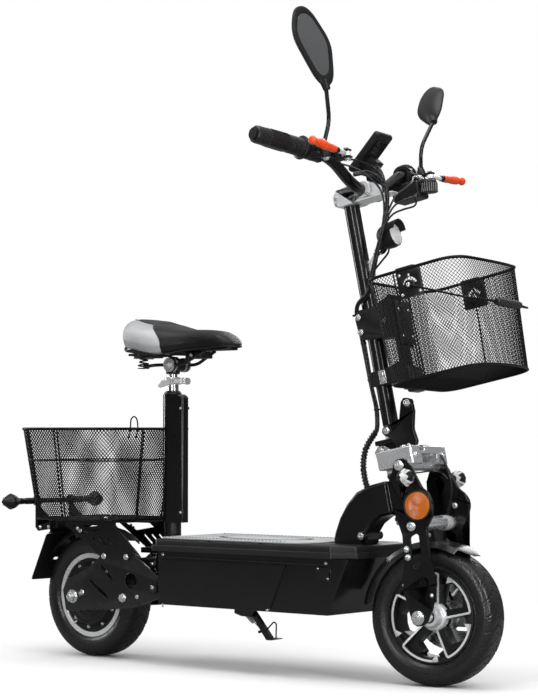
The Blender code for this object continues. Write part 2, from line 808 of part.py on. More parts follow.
def make_clamp_lever(mat, frame):
    """Cam lever of the seat clamp, folded back along the collar."""
    centre = clamp_centre()
    across_y = Vector((0.0, 1.0, 0.0))
    hub = rod(centre - across_y * 0.0092, centre - across_y * 0.0258, 0.0065, 12)
    y = -0.0233
    blade = plate(
        rounded([(centre.x - 0.004, centre.z - 0.0055), (centre.x + 0.004, centre.z - 0.0055),
                 (centre.x + 0.002, centre.z + 0.0035), (centre.x - 0.030, centre.z + 0.0015),
                 (centre.x - 0.043, centre.z - 0.011), (centre.x - 0.036, centre.z - 0.0135)],
                0.003, 2), 0.0045, side(y)
    )
    body = cut(join(hub, blade), rod(centre, centre - across_y * 0.03, 0.0026 + RUN, 8))
    return finish("seat_clamp_lever", body, mat, frame)


def make_damper(mat):
    """Damper cylinder under the rear frame, inside the coil."""
    top = SHOCK_TOP_Z - GAP
    profile = [
        (0.0, top), (0.0088, top), (0.0088, top - 0.030), (0.0064, top - 0.030),
        (0.0064, top - 0.010), (0.0, top - 0.010),
    ]
    return finish("shock_damper", lathe(profile, Matrix.Translation((SHOCK_X, 0.0, 0.0)), 14), mat)


def make_shock_spring(mat):
    """Coil round the damper, in one unbroken wire."""
    low = SHOCK_SEAT_Z + GAP + SPRING_WIRE
    high = SHOCK_TOP_Z - GAP - SPRING_WIRE
    per_turn = 9
    path = helix((SHOCK_X, 0.0), SPRING_R, low, high, SPRING_TURNS, per_turn)
    gap = least_gap(path[5:-5], per_turn, SPRING_WIRE)
    print(f"shock spring: least gap {gap * 1000.0:.2f} mm")
    return finish("shock_spring", tube(path, SPRING_WIRE, resolution=1), mat)


def make_loom(mat):
    """Wrapped wiring loom from the stem's foot into the front beam."""
    route = [STEERED @ Vector(p) for p in LOOM_ROUTE]
    return finish("wiring_loop", tube(flowing(route, 10), LOOM_R), mat)


def make_port_cover(mat, frame):
    """Hinged rubber lid over the charging socket."""
    face = -(BOX_HALF_W + PANEL_T + GAP)
    lid = plate(
        rounded([(0.2445, 0.1925), (0.2725, 0.1925), (0.2725, 0.2155), (0.2445, 0.2155)], 0.003, 2),
        0.003, side(face - 0.0015)
    )
    plug = rod((0.2585, face - 0.001, 0.203), (0.2585, face + PANEL_T, 0.203), 0.0085 - RUN, 12)
    return finish("charge_port_cover", join(lid, plug), mat, frame)


def make_kickstand(mat, frame):
    """Side stand with its foot plate, wire toe loop and spring peg."""
    pivot = (STAND_X, STAND_Z)
    y = STAND_Y
    bar = plate(
        rounded([(pivot[0] - 0.007, pivot[1] + 0.004), (pivot[0] + 0.004, pivot[1] + 0.0075),
                 (0.0115, 0.0595), (0.0075, 0.0545), (-0.0015, 0.0545)], 0.002, 1),
        0.010, side(y)
    )
    foot = plate(
        rounded([(-0.002, 0.0545), (0.016, 0.0545), (0.030, 0.0570), (0.029, 0.0590),
                 (0.010, 0.0585)], 0.0012, 1), 0.022, side(y)
    )
    loop = tube(
        bent([(-0.004, y + 0.001, 0.0735), (0.0125, y + 0.004, 0.091), (0.0185, y + 0.004, 0.086),
              (0.020, y + 0.001, 0.0575)], 0.004, 2), 0.0017, resolution=1
    )
    peg = rod((-0.0240, y, 0.0680), (-0.0240, y + 0.0135, 0.0680), 0.0022, 8)
    arm = rod((-0.0240, y, 0.0680), (-0.008, y, 0.0730), 0.0030, 8)
    bore = rod((pivot[0], y - 0.02, pivot[1]), (pivot[0], y + 0.02, pivot[1]), 0.0040 + RUN, 12)
    return finish("kickstand", cut(join(bar, foot, loop, arm, peg), bore), mat, frame)


def make_stand_spring(mat):
    """Coil and hook wire that pull the side stand to its stops."""
    y = STAND_Y + 0.0115
    start = Vector((STAND_X - 0.0300, y, STAND_Z - 0.0020))
    end = Vector((-0.0260, y, 0.0708))
    run = end - start
    length = 0.030
    turns = 5
    per_turn = 8
    coil_r = 0.0042
    wire = 0.0008
    flat = helix((0.0, 0.0), coil_r, 0.0, length, turns, per_turn)
    gap = least_gap(flat[5:-5], per_turn, wire)
    print(f"stand spring: least gap {gap * 1000.0:.2f} mm")
    aim = Matrix.Translation(start) @ run.to_track_quat("Z", "Y").to_matrix().to_4x4()
    path = [aim @ p for p in flat]
    path = path + [aim @ Vector((0.0, 0.0, length + 0.003)), end]
    return finish("kickstand_spring", tube(path, wire, resolution=1), mat)


# Seat

def make_post(mat, frame):
    """Saddle post with its head."""
    top = SADDLE_PAN_Z - 0.020
    profile = [(0.0, top), (POST_R, top), (POST_R, 0.370), (POST_R - 0.0015, 0.3685), (0.0, 0.3685)]
    body = lathe(profile, Matrix.Translation((SEAT_X, 0.0, 0.0)), 16)
    return finish("seat_post", body, mat, frame)


def make_saddle_frame(mat, frame):
    """Saddle clamp, rails, rear springs and the pan under the cushion."""
    head_z = SADDLE_PAN_Z - 0.029
    post_top = SADDLE_PAN_Z - 0.020
    clamp = lathe(
        [(0.0, post_top + 0.006), (0.0125, post_top + 0.006), (0.0145, post_top + 0.004),
         (0.0145, post_top - 0.026), (0.0125, post_top - 0.028), (0.0, post_top - 0.028)],
        Matrix.Translation((SEAT_X, 0.0, 0.0)), 16
    )
    drum = rod((SEAT_X + 0.012, -0.030, head_z), (SEAT_X + 0.012, 0.030, head_z), 0.0145, 14)
    pan_outline = saddle_plan(0.012)
    pan = plate(pan_outline, 0.004, level(SADDLE_PAN_Z))
    body = join(clamp, drum, pan)
    spring_x = SADDLE_REAR_X + 0.052
    foot_z = SADDLE_PAN_Z - 0.036
    for flank in (-1.0, 1.0):
        y = 0.044 * flank
        rail = bent(
            [(spring_x, y, foot_z + 0.003), (SEAT_X - 0.030, 0.022 * flank, head_z),
             (SEAT_X + 0.046, 0.022 * flank, head_z),
             (SEAT_X + 0.100, 0.016 * flank, SADDLE_PAN_Z - 0.001)], 0.012, 3
        )
        body = join(
            body, tube(rail, 0.0034, resolution=1),
            lathe(
                [(0.0, SADDLE_PAN_Z), (0.0125, SADDLE_PAN_Z), (0.0125, SADDLE_PAN_Z - 0.014),
                 (0.0085, SADDLE_PAN_Z - 0.018), (0.0115, foot_z), (0.0, foot_z - 0.002)],
                Matrix.Translation((spring_x, y, 0.0)), 10
            ),
        )
    bore = rod((SEAT_X, 0.0, post_top - 0.04), (SEAT_X, 0.0, post_top + GAP), POST_R + GAP, 20)
    return finish("saddle_frame", cut(body, bore), mat, frame)


def saddle_half_width(t):
    """Half width of the saddle at a share t of its length from the rear."""
    rear = math.sin(min(1.0, t / 0.20) * math.pi / 2.0) ** 0.75
    taper = 1.0 - 0.66 / (1.0 + math.exp(-(t - 0.52) / 0.085))
    nose = math.sqrt(max(0.0, 1.0 - max(0.0, (t - 0.90) / 0.10) ** 2))
    return SADDLE_W / 2.0 * rear * taper * nose


def saddle_plan(inset):
    """Plan outline of the saddle's pan."""
    steps = 10
    xs = [0.02 + 0.96 * i / steps for i in range(steps + 1)]
    right = [
        (SADDLE_REAR_X + inset + (SADDLE_L - 2.0 * inset) * t, -max(saddle_half_width(t) - inset, 0.004))
        for t in xs
    ]
    return right + [(x, -y) for x, y in reversed(right)]


def saddle_top(t):
    """Height of the saddle's ridge above its pan along its length."""
    return 0.064 - 0.030 * math.sin(min(t / 0.62, 1.0) * math.pi / 2.0) ** 1.6 + 0.004 * math.sin(
        math.pi * min(max((t - 0.5) / 0.4, 0.0), 1.0)
    ) - 0.022 * max(0.0, (t - 0.86) / 0.14) ** 2


def make_cushion(mat, frame):
    """Crowned saddle cushion with drawn-in sides and a flat underside."""
    ball = bmesh.new()
    bmesh.ops.create_uvsphere(ball, u_segments=16, v_segments=18, radius=1.0)
    ball.transform(Matrix.Rotation(math.pi / 2.0, 4, "Y"))
    floor = SADDLE_PAN_Z + 0.002 + GAP
    belt = 0.30
    for vert in ball.verts:
        along_x, across_y, up = vert.co
        t = 0.5 + 0.5 * along_x
        ring = math.hypot(across_y, up)
        lift = up / ring if ring > 1e-6 else 0.0
        swing = across_y / ring if ring > 1e-6 else 0.0
        crown = saddle_top(t)
        half = saddle_half_width(t)
        under = min(1.0, max(0.0, -lift) / belt)
        height = crown * (belt + (1.0 - belt) * max(lift, 0.0) ** 0.8) * (1.0 - under)
        width = half * abs(swing) ** 0.75 * (1.0 - 0.09 * under)
        vert.co = (
            SADDLE_REAR_X + SADDLE_L * t, math.copysign(width, swing), floor + height
        )
    return finish("saddle_cushion", bench_shape(ball), mat, frame)


# Rear swing arm

def swing_outline():
    """Side outline of a swing plate."""
    axle = (REAR_AXLE_X, TYRE_R)
    return rounded(
        [(axle[0] - 0.022, axle[1] - 0.0315), (-0.253, 0.111), (PIVOT_X + 0.014, 0.1365),
         (PIVOT_X + 0.014, 0.174), (-0.247, 0.218), (-0.337, 0.218), (-0.376, 0.190),
         (axle[0] - 0.020, axle[1] + 0.0345),
         (axle[0] - 0.031, axle[1] + 0.0125)], 0.008, 2
    )


def make_swing_plate(name, flank, mat, frame):
    """Side plate of the swing arm with its lightening holes."""
    y = flank * (SWING_HALF + SWING_T / 2.0)
    holes = (
        circle((PIVOT_X, PIVOT_Z), PIVOT_R + RUN, 16),
        circle((REAR_AXLE_X, TYRE_R), AXLE_R + GAP, 14),
        circle((-0.256, 0.166), 0.0165, 14),
        slot((-0.372, 0.162), (-0.326, 0.132), 0.0045, 3),
        slot((-0.341, 0.195), (-0.312, 0.169), 0.0045, 3),
    )
    return finish(name, plate(swing_outline(), SWING_T, side(y), holes), mat, frame)


def make_crossbar(mat, frame):
    """Cross plate between the swing plates, with the lower seat and rod of the shock."""
    half = SWING_HALF - GAP
    seat = SHOCK_SEAT_Z
    body = block(
        (SHOCK_X - 0.017, -half, seat - 0.008), (SHOCK_X + 0.017, half, seat - 0.0005)
    )
    stud = lathe(
        [(0.0, SHOCK_TOP_Z - 0.024), (0.0028, SHOCK_TOP_Z - 0.024), (0.0028, seat + 0.004),
         (0.0095, seat + 0.002), (0.0095, seat - 0.004), (0.0, seat - 0.004)],
        Matrix.Translation((SHOCK_X, 0.0, 0.0)), 12
    )
    dish = lathe(
        [(0.0, seat), (SPRING_R + 0.004, seat), (SPRING_R + 0.004, seat - 0.004), (0.0, seat - 0.004)],
        Matrix.Translation((SHOCK_X, 0.0, 0.0)), 16
    )
    tie = rod((-0.2925, -half, 0.2035), (-0.2925, half, 0.2035), 0.006, 10)
    tie_foot = rod((-0.2925, -half, 0.2035), (-0.2925, -half + 0.003, 0.2035), 0.009, 10)
    tie_end = rod((-0.2925, half, 0.2035), (-0.2925, half - 0.003, 0.2035), 0.009, 10)
    bridge = plate(
        [(SHOCK_X - 0.016, seat - 0.006), (SHOCK_X - 0.012, seat - 0.001), (-0.2875, 0.2035),
         (-0.2965, 0.2035)], 0.010, side(-0.052)
    )
    return finish("swing_crossbar", join(body, dish, stud, tie, tie_foot, tie_end, bridge), mat, frame)


def make_rear_axle(mat, frame):
    """Rear axle with its nuts and washers."""
    reach = SWING_HALF + SWING_T
    profile = [
        (0.0, reach + 0.0165), (AXLE_R, reach + 0.0160), (AXLE_R, reach + 0.0115),
        (0.0110, reach + 0.0115), (0.0110, reach + 0.003), (0.0135, reach + 0.003),
        (0.0135, reach + GAP), (AXLE_R, reach + GAP),
    ]
    body = lathe(both_ways(profile), across((REAR_AXLE_X, 0.0, TYRE_R)), 12)
    return finish("rear_axle", body, mat, frame)


def make_rack(mat, frame):
    """Luggage rack: slotted straps, top frame and the bracket of the rear signals."""
    half = SWING_HALF + SWING_T + GAP
    top = RACK_TOP_Z
    brow = top - 0.0007
    strap = [
        (-0.444, brow), (-0.4435, top - 0.008), (-0.344, 0.2145), (-0.333, 0.2085),
        (-0.262, 0.2085), (-0.252, 0.2180), (-0.252, 0.2375), (-0.300, top - 0.006), (-0.300, brow),
    ]
    windows = (
        [(-0.422, top - 0.010), (-0.350, top - 0.010), (-0.338, top - 0.018), (-0.388, top - 0.026)],
        slot((-0.364, 0.2508), (-0.343, 0.2338), 0.0020, 2),
        slot((-0.343, 0.2515), (-0.322, 0.2345), 0.0020, 2),
        slot((-0.322, 0.2524), (-0.301, 0.2354), 0.0020, 2),
    )
    edge = half + RACK_T
    tail = PLATE_X + 0.009
    deck = [(tail, -edge), (-0.276, -edge), (-0.276, edge), (tail, edge)]
    deck_holes = (
        rounded([(tail + 0.018, -0.058), (-0.396, -0.058), (-0.396, 0.058), (tail + 0.018, 0.058)], 0.01, 1),
        rounded([(-0.378, -0.058), (-0.296, -0.058), (-0.296, 0.058), (-0.378, 0.058)], 0.01, 1),
    )
    body = plate(rounded(deck, 0.012, 2), RACK_T, level(top - RACK_T / 2.0), deck_holes)
    for flank in (-1.0, 1.0):
        y = flank * (half + RACK_T / 2.0)
        body = join(body, plate(strap, RACK_T, side(y), windows))
    arm = [
        (tail + 0.006, top - 0.0015), (tail + 0.006, top - 0.020), (tail - 0.052, top - 0.028),
        (tail - 0.060, top - 0.020), (tail - 0.060, top + 0.044), (tail - 0.052, top + 0.044),
        (tail - 0.052, top - 0.016), (tail, top - 0.0015),
    ]
    for flank in (-1.0, 1.0):
        body = join(body, plate(arm, 0.004, side(flank * 0.050)))
    bar = rod((SIGNAL_X, -SIGNAL_BAR, SIGNAL_Z), (SIGNAL_X, SIGNAL_BAR, SIGNAL_Z), 0.0055, 8)
    hanger = block((PLATE_X - 0.0002, -0.0590, PLATE_Z + 0.0010), (PLATE_X + 0.0038, 0.0590, top - 0.002))
    hanger_foot = block(
        (PLATE_X - 0.0030, -0.0600, PLATE_Z + 0.0005), (PLATE_X + 0.0120, 0.0600, PLATE_Z + 0.0032)
    )
    rail = block((PLATE_X - 0.0008, -0.0610, top - 0.0045), (PLATE_X + 0.0210, 0.0610, top - 0.0005))
    return finish("rear_rack", join(body, bar, rail, hanger, hanger_foot), mat, frame)


def make_rear_fender(mat, frame):
    """Mudguard under the rack, with the hanging plate holder behind the wheel."""
    radius = TYRE_R + 0.015
    half = 0.040
    section = [
        (radius - 0.012, -half), (radius - 0.003, -half + 0.006), (radius, 0.0),
        (radius - 0.003, half - 0.006), (radius - 0.012, half),
    ]
    place = across((REAR_AXLE_X, 0.0, TYRE_R)) @ Matrix.Rotation(math.radians(-140.0), 4, "Z")
    guard = shell(section, place, math.radians(86.0), 9, 0.002)
    post_x = -0.385
    foot_z = TYRE_R + math.sqrt(radius ** 2 - (post_x - REAR_AXLE_X) ** 2)
    post = rod((post_x, 0.0, foot_z - 0.0015), (post_x, 0.0, RACK_TOP_Z - RACK_T - GAP), 0.009, 8)
    holder = plate(
        rounded([(0.0, -0.068), (0.108, -0.068), (0.108, 0.068), (0.0, 0.068)], 0.005, 2), 0.002,
        Matrix.Translation((PLATE_X, 0.0, PLATE_Z)) @ Matrix.Rotation(math.radians(115.0), 4, "Y"),
        (slot((0.060, -0.02), (0.060, 0.02), 0.003),)
    )
    arm = rod(
        (PLATE_X + 0.004, 0.0, PLATE_Z - 0.018), (PLATE_X + 0.014, 0.0, PLATE_Z - 0.0092), 0.0045, 8
    )
    return finish("rear_fender", join(guard, post, arm, holder), mat, frame)


def both_ways(profile):
    """Half of a turned section, continued to the other side of the middle plane."""
    return profile + [(r, -h) for r, h in reversed(profile)]


def shell(section, place, sweep, steps, thickness):
    """Thin wall swept round a wheel's axis from its (radius, width) section."""
    mesh = bpy.data.meshes.new("section")
    mesh.from_pydata(
        [(r, 0.0, y) for r, y in section], [(i, i + 1) for i in range(len(section) - 1)], []
    )
    obj = bpy.data.objects.new("section", mesh)
    bpy.data.collections[CUTTERS].objects.link(obj)
    screw = obj.modifiers.new("Screw", "SCREW")
    screw.angle = sweep
    screw.steps = steps
    screw.render_steps = steps
    screw.use_merge_vertices = True
    screw.merge_threshold = 0.00001
    wall = obj.modifiers.new("Wall", "SOLIDIFY")
    wall.thickness = thickness
    wall.offset = 0.0
    wall.use_even_offset = True
    return bake(obj, place)


def make_signal(name, root, centre, reach, flank, mat, frame):
    """Turn signal: a stem and a pointed lamp body with its lens face."""
    centre = Vector(centre)
    stem = rod(root, centre + Vector((0.0, flank * (reach - 0.030), 0.0)), 0.0065, 8)
    body = lathe(
        [(0.0, reach), (0.006, reach - 0.0005), (0.0155, reach - 0.018), (0.0165, reach - 0.024),
         (0.0150, reach - 0.034), (0.0075, reach - 0.047), (0.0, reach - 0.047)],
        along(centre, centre + Vector((0.0, flank, 0.0))), 10
    )
    return finish(name, join(body, stem), mat, frame)


# Baskets

def basket_ring(width, depth, corner, centre, height, count=4, bow=0.0):
    """Plan points of a basket's wall at one height: straight sides, round corners."""
    half = width / 2.0
    reach = depth / 2.0
    quarter = [
        (reach - corner, -half + corner, -90.0, 0.0), (reach - corner, half - corner, 0.0, 90.0),
        (-reach + corner, half - corner, 90.0, 180.0), (-reach + corner, -half + corner, 180.0, 270.0),
    ]
    points = []
    for x, y, first, last in quarter:
        points += arc((x, y), corner, first, last, count)
    return [
        Vector((centre[0] + x + bow * max(0.0, x / reach) * (1.0 - (y / half) ** 2), centre[1] + y, height))
        for x, y in points
    ]


def basket_net(centre, width, depth, low, high, taper, bow=0.0):
    """Open basket of crossed wires with a rim at the top and round the floor."""
    rows = 2
    corner = 0.040
    grid = bmesh.new()
    loops = []
    for row in range(rows + 1):
        t = row / rows
        scale = taper + (1.0 - taper) * t
        ring = basket_ring(
            width * scale, depth * scale, corner * scale, centre, low + (high - low) * t, 2, bow
        )
        ring = even_ring(ring, 10)
        loops.append([grid.verts.new(p) for p in ring])
    count = len(loops[0])
    for row in range(rows):
        for i in range(count):
            j = (i + 1) % count
            grid.faces.new((loops[row][i], loops[row][j], loops[row + 1][j], loops[row + 1][i]))
    middle = Vector((centre[0], centre[1], low))
    inner = [grid.verts.new(middle.lerp(v.co, 0.5)) for v in loops[0]]
    for i in range(count):
        j = (i + 1) % count
        grid.faces.new((loops[0][j], loops[0][i], inner[i], inner[j]))
    grid.faces.new(list(reversed(inner)))
    mesh = bpy.data.meshes.new("basket")
    grid.to_mesh(mesh)
    grid.free()
    obj = bpy.data.objects.new("basket", mesh)
    bpy.data.collections[CUTTERS].objects.link(obj)
    wires = obj.modifiers.new("Wires", "WIREFRAME")
    wires.thickness = BASKET_WIRE
    wires.use_even_offset = False
    wires.use_boundary = True
    wires.use_replace = True
    net = bake(obj)
    top = basket_ring(width, depth, corner, centre, high, 3, bow)
    return join(net, tube(top, 0.0030, True, 1))


def even_ring(points, count):
    """Closed path read again at even distances."""
    loop = points + [points[0]]
    lengths = [0.0]
    for a, b in zip(loop, loop[1:]):
        lengths.append(lengths[-1] + (b - a).length)
    result = []
    k = 0
    for i in range(count):
        target = lengths[-1] * (i + 0.5) / count
        while lengths[k + 1] < target:
            k += 1
        t = (target - lengths[k]) / (lengths[k + 1] - lengths[k])
        result.append(loop[k].lerp(loop[k + 1], t))
    return result


# Wheels

def tyre_profile():
    """Half-round tyre section with a flat tread band, as (radius, width) points."""
    flat = TREAD_FLAT / 2.0
    half = TYRE_W / 2.0
    shoulder = [
        (TYRE_R, flat), (TYRE_R - 0.0030, flat + 0.0080), (TYRE_R - 0.0100, half - 0.002),
        (TYRE_R - 0.0200, half), (RIM_R + 0.002, RIM_W / 2.0 + 0.001),
        (RIM_R + GAP, RIM_W / 2.0 - 0.001),
    ]
    return list(reversed(both_ways(list(reversed(shoulder)))))


def make_tyre(name, centre, mat, frame):
    """Tyre round its rim."""
    return finish(name, lathe(tyre_profile(), across(centre), WHEEL_STEPS), mat, frame)


def rim_ring():
    """Section of a wheel's ring with its two flanges."""
    half = RIM_W / 2.0
    return [
        (RIM_R, half - 0.001), (RIM_R, -half + 0.001), (RIM_R - 0.010, -half),
        (RIM_R - 0.013, -half + 0.006), (RIM_R - 0.013, half - 0.006), (RIM_R - 0.010, half),
    ]


def make_hub_motor(mat, frame):
    """Hub motor: drum with domed covers, joined to the tyre's ring by its flanges."""
    half = RIM_W / 2.0
    cover = SWING_HALF - 0.004
    centre = (REAR_AXLE_X, 0.0, TYRE_R)
    profile = [
        (AXLE_R + RUN, cover), (0.020, cover), (0.034, half + 0.010),
        (MOTOR_R - 0.012, half + 0.005), (MOTOR_R - 0.004, half - 0.004), (RIM_R - 0.009, half - 0.004),
        (RIM_R - 0.007, half), (RIM_R, half - 0.001),
    ]
    return finish("rear_hub_motor", lathe(both_ways(profile), across(centre), WHEEL_STEPS), mat, frame)


def make_front_wheel(mat, frame):
    """Cast front wheel: ring, hub and five forked spokes."""
    centre = (AXLE_U, 0.0, AXLE_W)
    wheel = lathe(rim_ring(), across(centre), WHEEL_STEPS)
    hub_half = 0.034
    hub = lathe(
        [(0.017, hub_half), (0.020, 0.016), (HUB_R, 0.010), (HUB_R, -0.010), (0.020, -0.016),
         (0.017, -hub_half), (AXLE_R + RUN, -hub_half), (AXLE_R + RUN, hub_half)], across(centre), 14
    )
    wheel = join(wheel, hub)
    inner = HUB_R - 0.003
    outer = RIM_R - 0.0115
    arm_half = 0.0085
    yoke = 0.027
    for i in range(5):
        turn = Matrix.Translation(centre) @ Matrix.Rotation(
            math.radians(72.0 * i + 18.0), 4, "Y"
        )
        outline = [
            (-arm_half, inner), (arm_half, inner), (arm_half * 0.8, outer - 0.016),
            (yoke, outer - 0.012), (yoke * 0.9, outer - 0.0015), (-yoke * 0.9, outer - 0.0015),
            (-yoke, outer - 0.012), (-arm_half * 0.8, outer - 0.016),
        ]
        wheel = join(wheel, plate(outline, 0.026, turn @ side()))
    return finish("front_wheel", wheel, mat, frame)


def make_brake_disc(mat, frame):
    """Brake disc with slots, bolted to the left of the front hub."""
    outline = circle((AXLE_U, AXLE_W), DISC_R, 28)
    holes = [circle((AXLE_U, AXLE_W), 0.0225, 14)]
    for i in range(6):
        turn = math.radians(60.0 * i)
        sweep = math.radians(20.0)
        a = (AXLE_U + 0.032 * math.cos(turn), AXLE_W + 0.032 * math.sin(turn))
        b = (AXLE_U + 0.050 * math.cos(turn + sweep), AXLE_W + 0.050 * math.sin(turn + sweep))
        holes.append(slot(a, b, 0.0035, 2))
    body = plate(outline, DISC_T, side(DISC_Y), holes)
    carrier = lathe(
        [(0.027, DISC_Y + 0.0008), (0.027, DISC_Y - DISC_T / 2.0 - 0.001),
         (0.018, 0.034 + GAP), (0.0105, 0.034 + GAP), (0.0105, DISC_Y + 0.0008)],
        across((AXLE_U, 0.0, AXLE_W)), 14
    )
    return finish("front_brake_disc", join(body, carrier), mat, frame)


# Fork

def make_caliper(mat, frame):
    """Disc caliper on a lug of the left fork plate."""
    gap_half = DISC_T / 2.0 + 0.0008
    body = block((-0.036, DISC_Y - 0.011, -0.284), (-0.002, DISC_Y + 0.013, -0.247), 0.003)
    piston = rod((-0.019, DISC_Y + 0.010, -0.267), (-0.019, DISC_Y + 0.0185, -0.267), 0.0105, 12)
    lug = block((-0.012, DISC_Y + 0.008, -0.290), (0.014, FORK_HALF - GAP, -0.277))
    lug_top = block((-0.010, DISC_Y + 0.008, -0.262), (0.014, FORK_HALF - GAP, -0.250))
    arm = block((-0.012, DISC_Y + 0.009, -0.288), (-0.003, FORK_HALF - 0.012, -0.252))
    slit = lathe(
        [(0.0, gap_half), (DISC_R + 0.0012, gap_half), (DISC_R + 0.0012, -gap_half), (0.0, -gap_half)],
        across((AXLE_U, DISC_Y, AXLE_W)), 36
    )
    return finish("front_brake_caliper", cut(join(body, piston, lug, lug_top, arm), slit), mat, frame)


def make_crown(mat, frame):
    """Fork crown with its fold ears, steerer and lower bridge."""
    half = FORK_HALF - GAP
    top = 0.009
    body = block((-0.006, -half, -0.026), (0.069, half, top), 0.002)
    inset = block((0.016, -0.030, -0.040), (0.080, 0.030, -0.006))
    body = cut(body, inset)
    race = lathe(
        [(0.0, -0.020), (0.0235, -0.020), (0.0235, HEAD_TUBE_TOP + GAP), (STEERER_R, HEAD_TUBE_TOP + GAP),
         (STEERER_R, HEAD_TUBE_BOTTOM - GAP), (0.0225, HEAD_TUBE_BOTTOM - GAP),
         (0.0225, HEAD_TUBE_BOTTOM - 0.007), (0.0, HEAD_TUBE_BOTTOM - 0.007)], Matrix(), 18
    )
    bridge = plate(
        rounded([(-0.006, -0.1255), (0.020, -0.1205), (0.058, -0.1245), (0.062, -0.142),
                 (0.050, -0.1485), (-0.006, -0.1440)], 0.006, 1), 0.044, side()
    )
    spacer = rod((0.050, -half, -0.1345), (0.050, half, -0.1345), 0.0135, 12)
    seat_top = rod((0.0437, -half, -0.0256), (0.0437, half, -0.0256), 0.009, 10)
    body = join(body, race, bridge, spacer, seat_top)
    ear = rounded(
        [(-0.032, 0.002), (-0.034, 0.016), (-0.027, 0.025), (-0.014, 0.026), (0.004, 0.014),
         (0.012, -0.004), (0.004, -0.016), (-0.022, -0.010)], 0.004, 1
    )
    inner = TONGUE_HALF + GAP
    for flank in (-1.0, 1.0):
        body = join(body, plate(ear, EAR_T, side(flank * (inner + EAR_T / 2.0))))
    outer = inner + EAR_T
    pin = rod((FOLD_PIVOT_U, -outer - 0.003, FOLD_PIVOT_W), (FOLD_PIVOT_U, outer + 0.003, FOLD_PIVOT_W),
              FOLD_PIN_R, 10)
    heads = [
        rod((FOLD_PIVOT_U, flank * (outer - 0.001), FOLD_PIVOT_W),
            (FOLD_PIVOT_U, flank * (outer + 0.0035), FOLD_PIVOT_W), 0.0065, 8)
        for flank in (-1.0, 1.0)
    ]
    pocket = block((0.018, -0.0340, -0.0010), (0.080, -0.0160, 0.020))
    return finish("fork_crown", join(cut(body, pocket), pin, *heads), mat, frame)


def fork_outline():
    """Side outline of a fork plate: forked legs round a window, and the reflector's disc."""
    foot = AXLE_W
    return rounded(
        [(0.031, -0.0135), (0.0565, -0.0135), (0.066, -0.034), (0.080, -0.074), (0.0915, -0.086),
         (0.0960, -0.106), (0.0905, -0.130), (0.0745, -0.150), (0.0715, -0.199), (0.0735, -0.252),
         (0.056, -0.296), (0.038, foot - 0.015), (0.013, foot - 0.015), (0.0085, -0.290),
         (0.0045, -0.250), (0.0165, -0.198), (0.0225, -0.152), (0.0135, -0.100), (0.0135, -0.066),
         (0.016, -0.049), (0.027, -0.030)], 0.008, 1
    )


def make_fork_plate(name, flank, mat, frame):
    """One fork plate with its windows and the boss of its reflector."""
    y = flank * (FORK_HALF + FORK_T / 2.0)
    windows = (
        circle((AXLE_U, AXLE_W), AXLE_R + GAP, 14),
        rounded([(0.046, -0.045), (0.054, -0.062), (0.043, -0.078), (0.036, -0.096), (0.034, -0.050)],
                0.003, 1),
        rounded([(0.0375, -0.158), (0.056, -0.152), (0.0535, -0.204), (0.040, -0.222),
                 (0.033, -0.206)], 0.004, 1),
        rounded([(0.036, -0.250), (0.046, -0.232), (0.059, -0.240), (0.052, -0.262),
                 (0.041, -0.276)], 0.004, 1),
    )
    body = plate(fork_outline(), FORK_T, side(y), windows)
    boss = FORK_HALF + FORK_T - 0.001
    reflector = rod((0.0667, flank * boss, -0.1048), (0.0667, flank * (boss + 0.006), -0.1048), 0.0265, 16)
    bolt = rod((0.0437, flank * boss, -0.0256), (0.0437, flank * (boss + 0.0055), -0.0256), 0.0085, 8)
    lower = rod((0.047, flank * boss, -0.140), (0.047, flank * (boss + 0.0055), -0.140), 0.0075, 8)
    return finish(name, join(body, reflector, bolt, lower), mat, frame)


def make_front_axle(mat, frame):
    """Front axle with its nuts."""
    reach = FORK_HALF + FORK_T
    inner = 0.034 + RUN
    profile = [
        (0.0, reach + 0.0140), (AXLE_R, reach + 0.0135), (AXLE_R, reach + 0.0095),
        (0.0110, reach + 0.0095), (0.0110, reach + GAP), (AXLE_R, reach + GAP),
        (AXLE_R, FORK_HALF - GAP), (0.0098, FORK_HALF - GAP), (0.0098, inner), (AXLE_R, inner),
    ]
    body = lathe(both_ways(profile), across((AXLE_U, 0.0, AXLE_W)), 12)
    return finish("front_axle", body, mat, frame)


def make_front_fender(mat, frame):
    """Front mudguard with drawn-down sides and its boss under the bridge."""
    radius = TYRE_R + FENDER_GAP
    half = FENDER_HALF_W
    section = [
        (radius - 0.013, -half), (radius - 0.003, -half + 0.007), (radius, 0.0),
        (radius - 0.003, half - 0.007), (radius - 0.013, half),
    ]
    centre = (AXLE_U, 0.0, AXLE_W)
    place = across(centre) @ Matrix.Rotation(math.radians(-160.0), 4, "Z")
    guard = shell(section, place, math.radians(118.0), 12, FENDER_T)
    nose = math.radians(42.0)
    tip_u = AXLE_U + radius * math.cos(nose)
    tip_w = AXLE_W + radius * math.sin(nose)
    trim = plate(
        [(tip_u - 0.040, -0.070), (tip_u - 0.032, -half - 0.003), (tip_u + 0.004, -0.006),
         (tip_u + 0.004, 0.006), (tip_u - 0.032, half + 0.003), (tip_u - 0.040, 0.070),
         (tip_u + 0.040, 0.070), (tip_u + 0.040, -0.070)], 0.08, level(tip_w + 0.010)
    )
    guard = cut(guard, trim)
    boss_u = 0.046
    boss_foot = AXLE_W + math.sqrt(radius ** 2 - (boss_u - AXLE_U) ** 2)
    boss = block(
        (boss_u - 0.012, -0.016, boss_foot - 0.003), (boss_u + 0.012, 0.016, -0.1490)
    )
    return finish("front_fender", join(guard, boss), mat, frame)


# Stem and what it carries

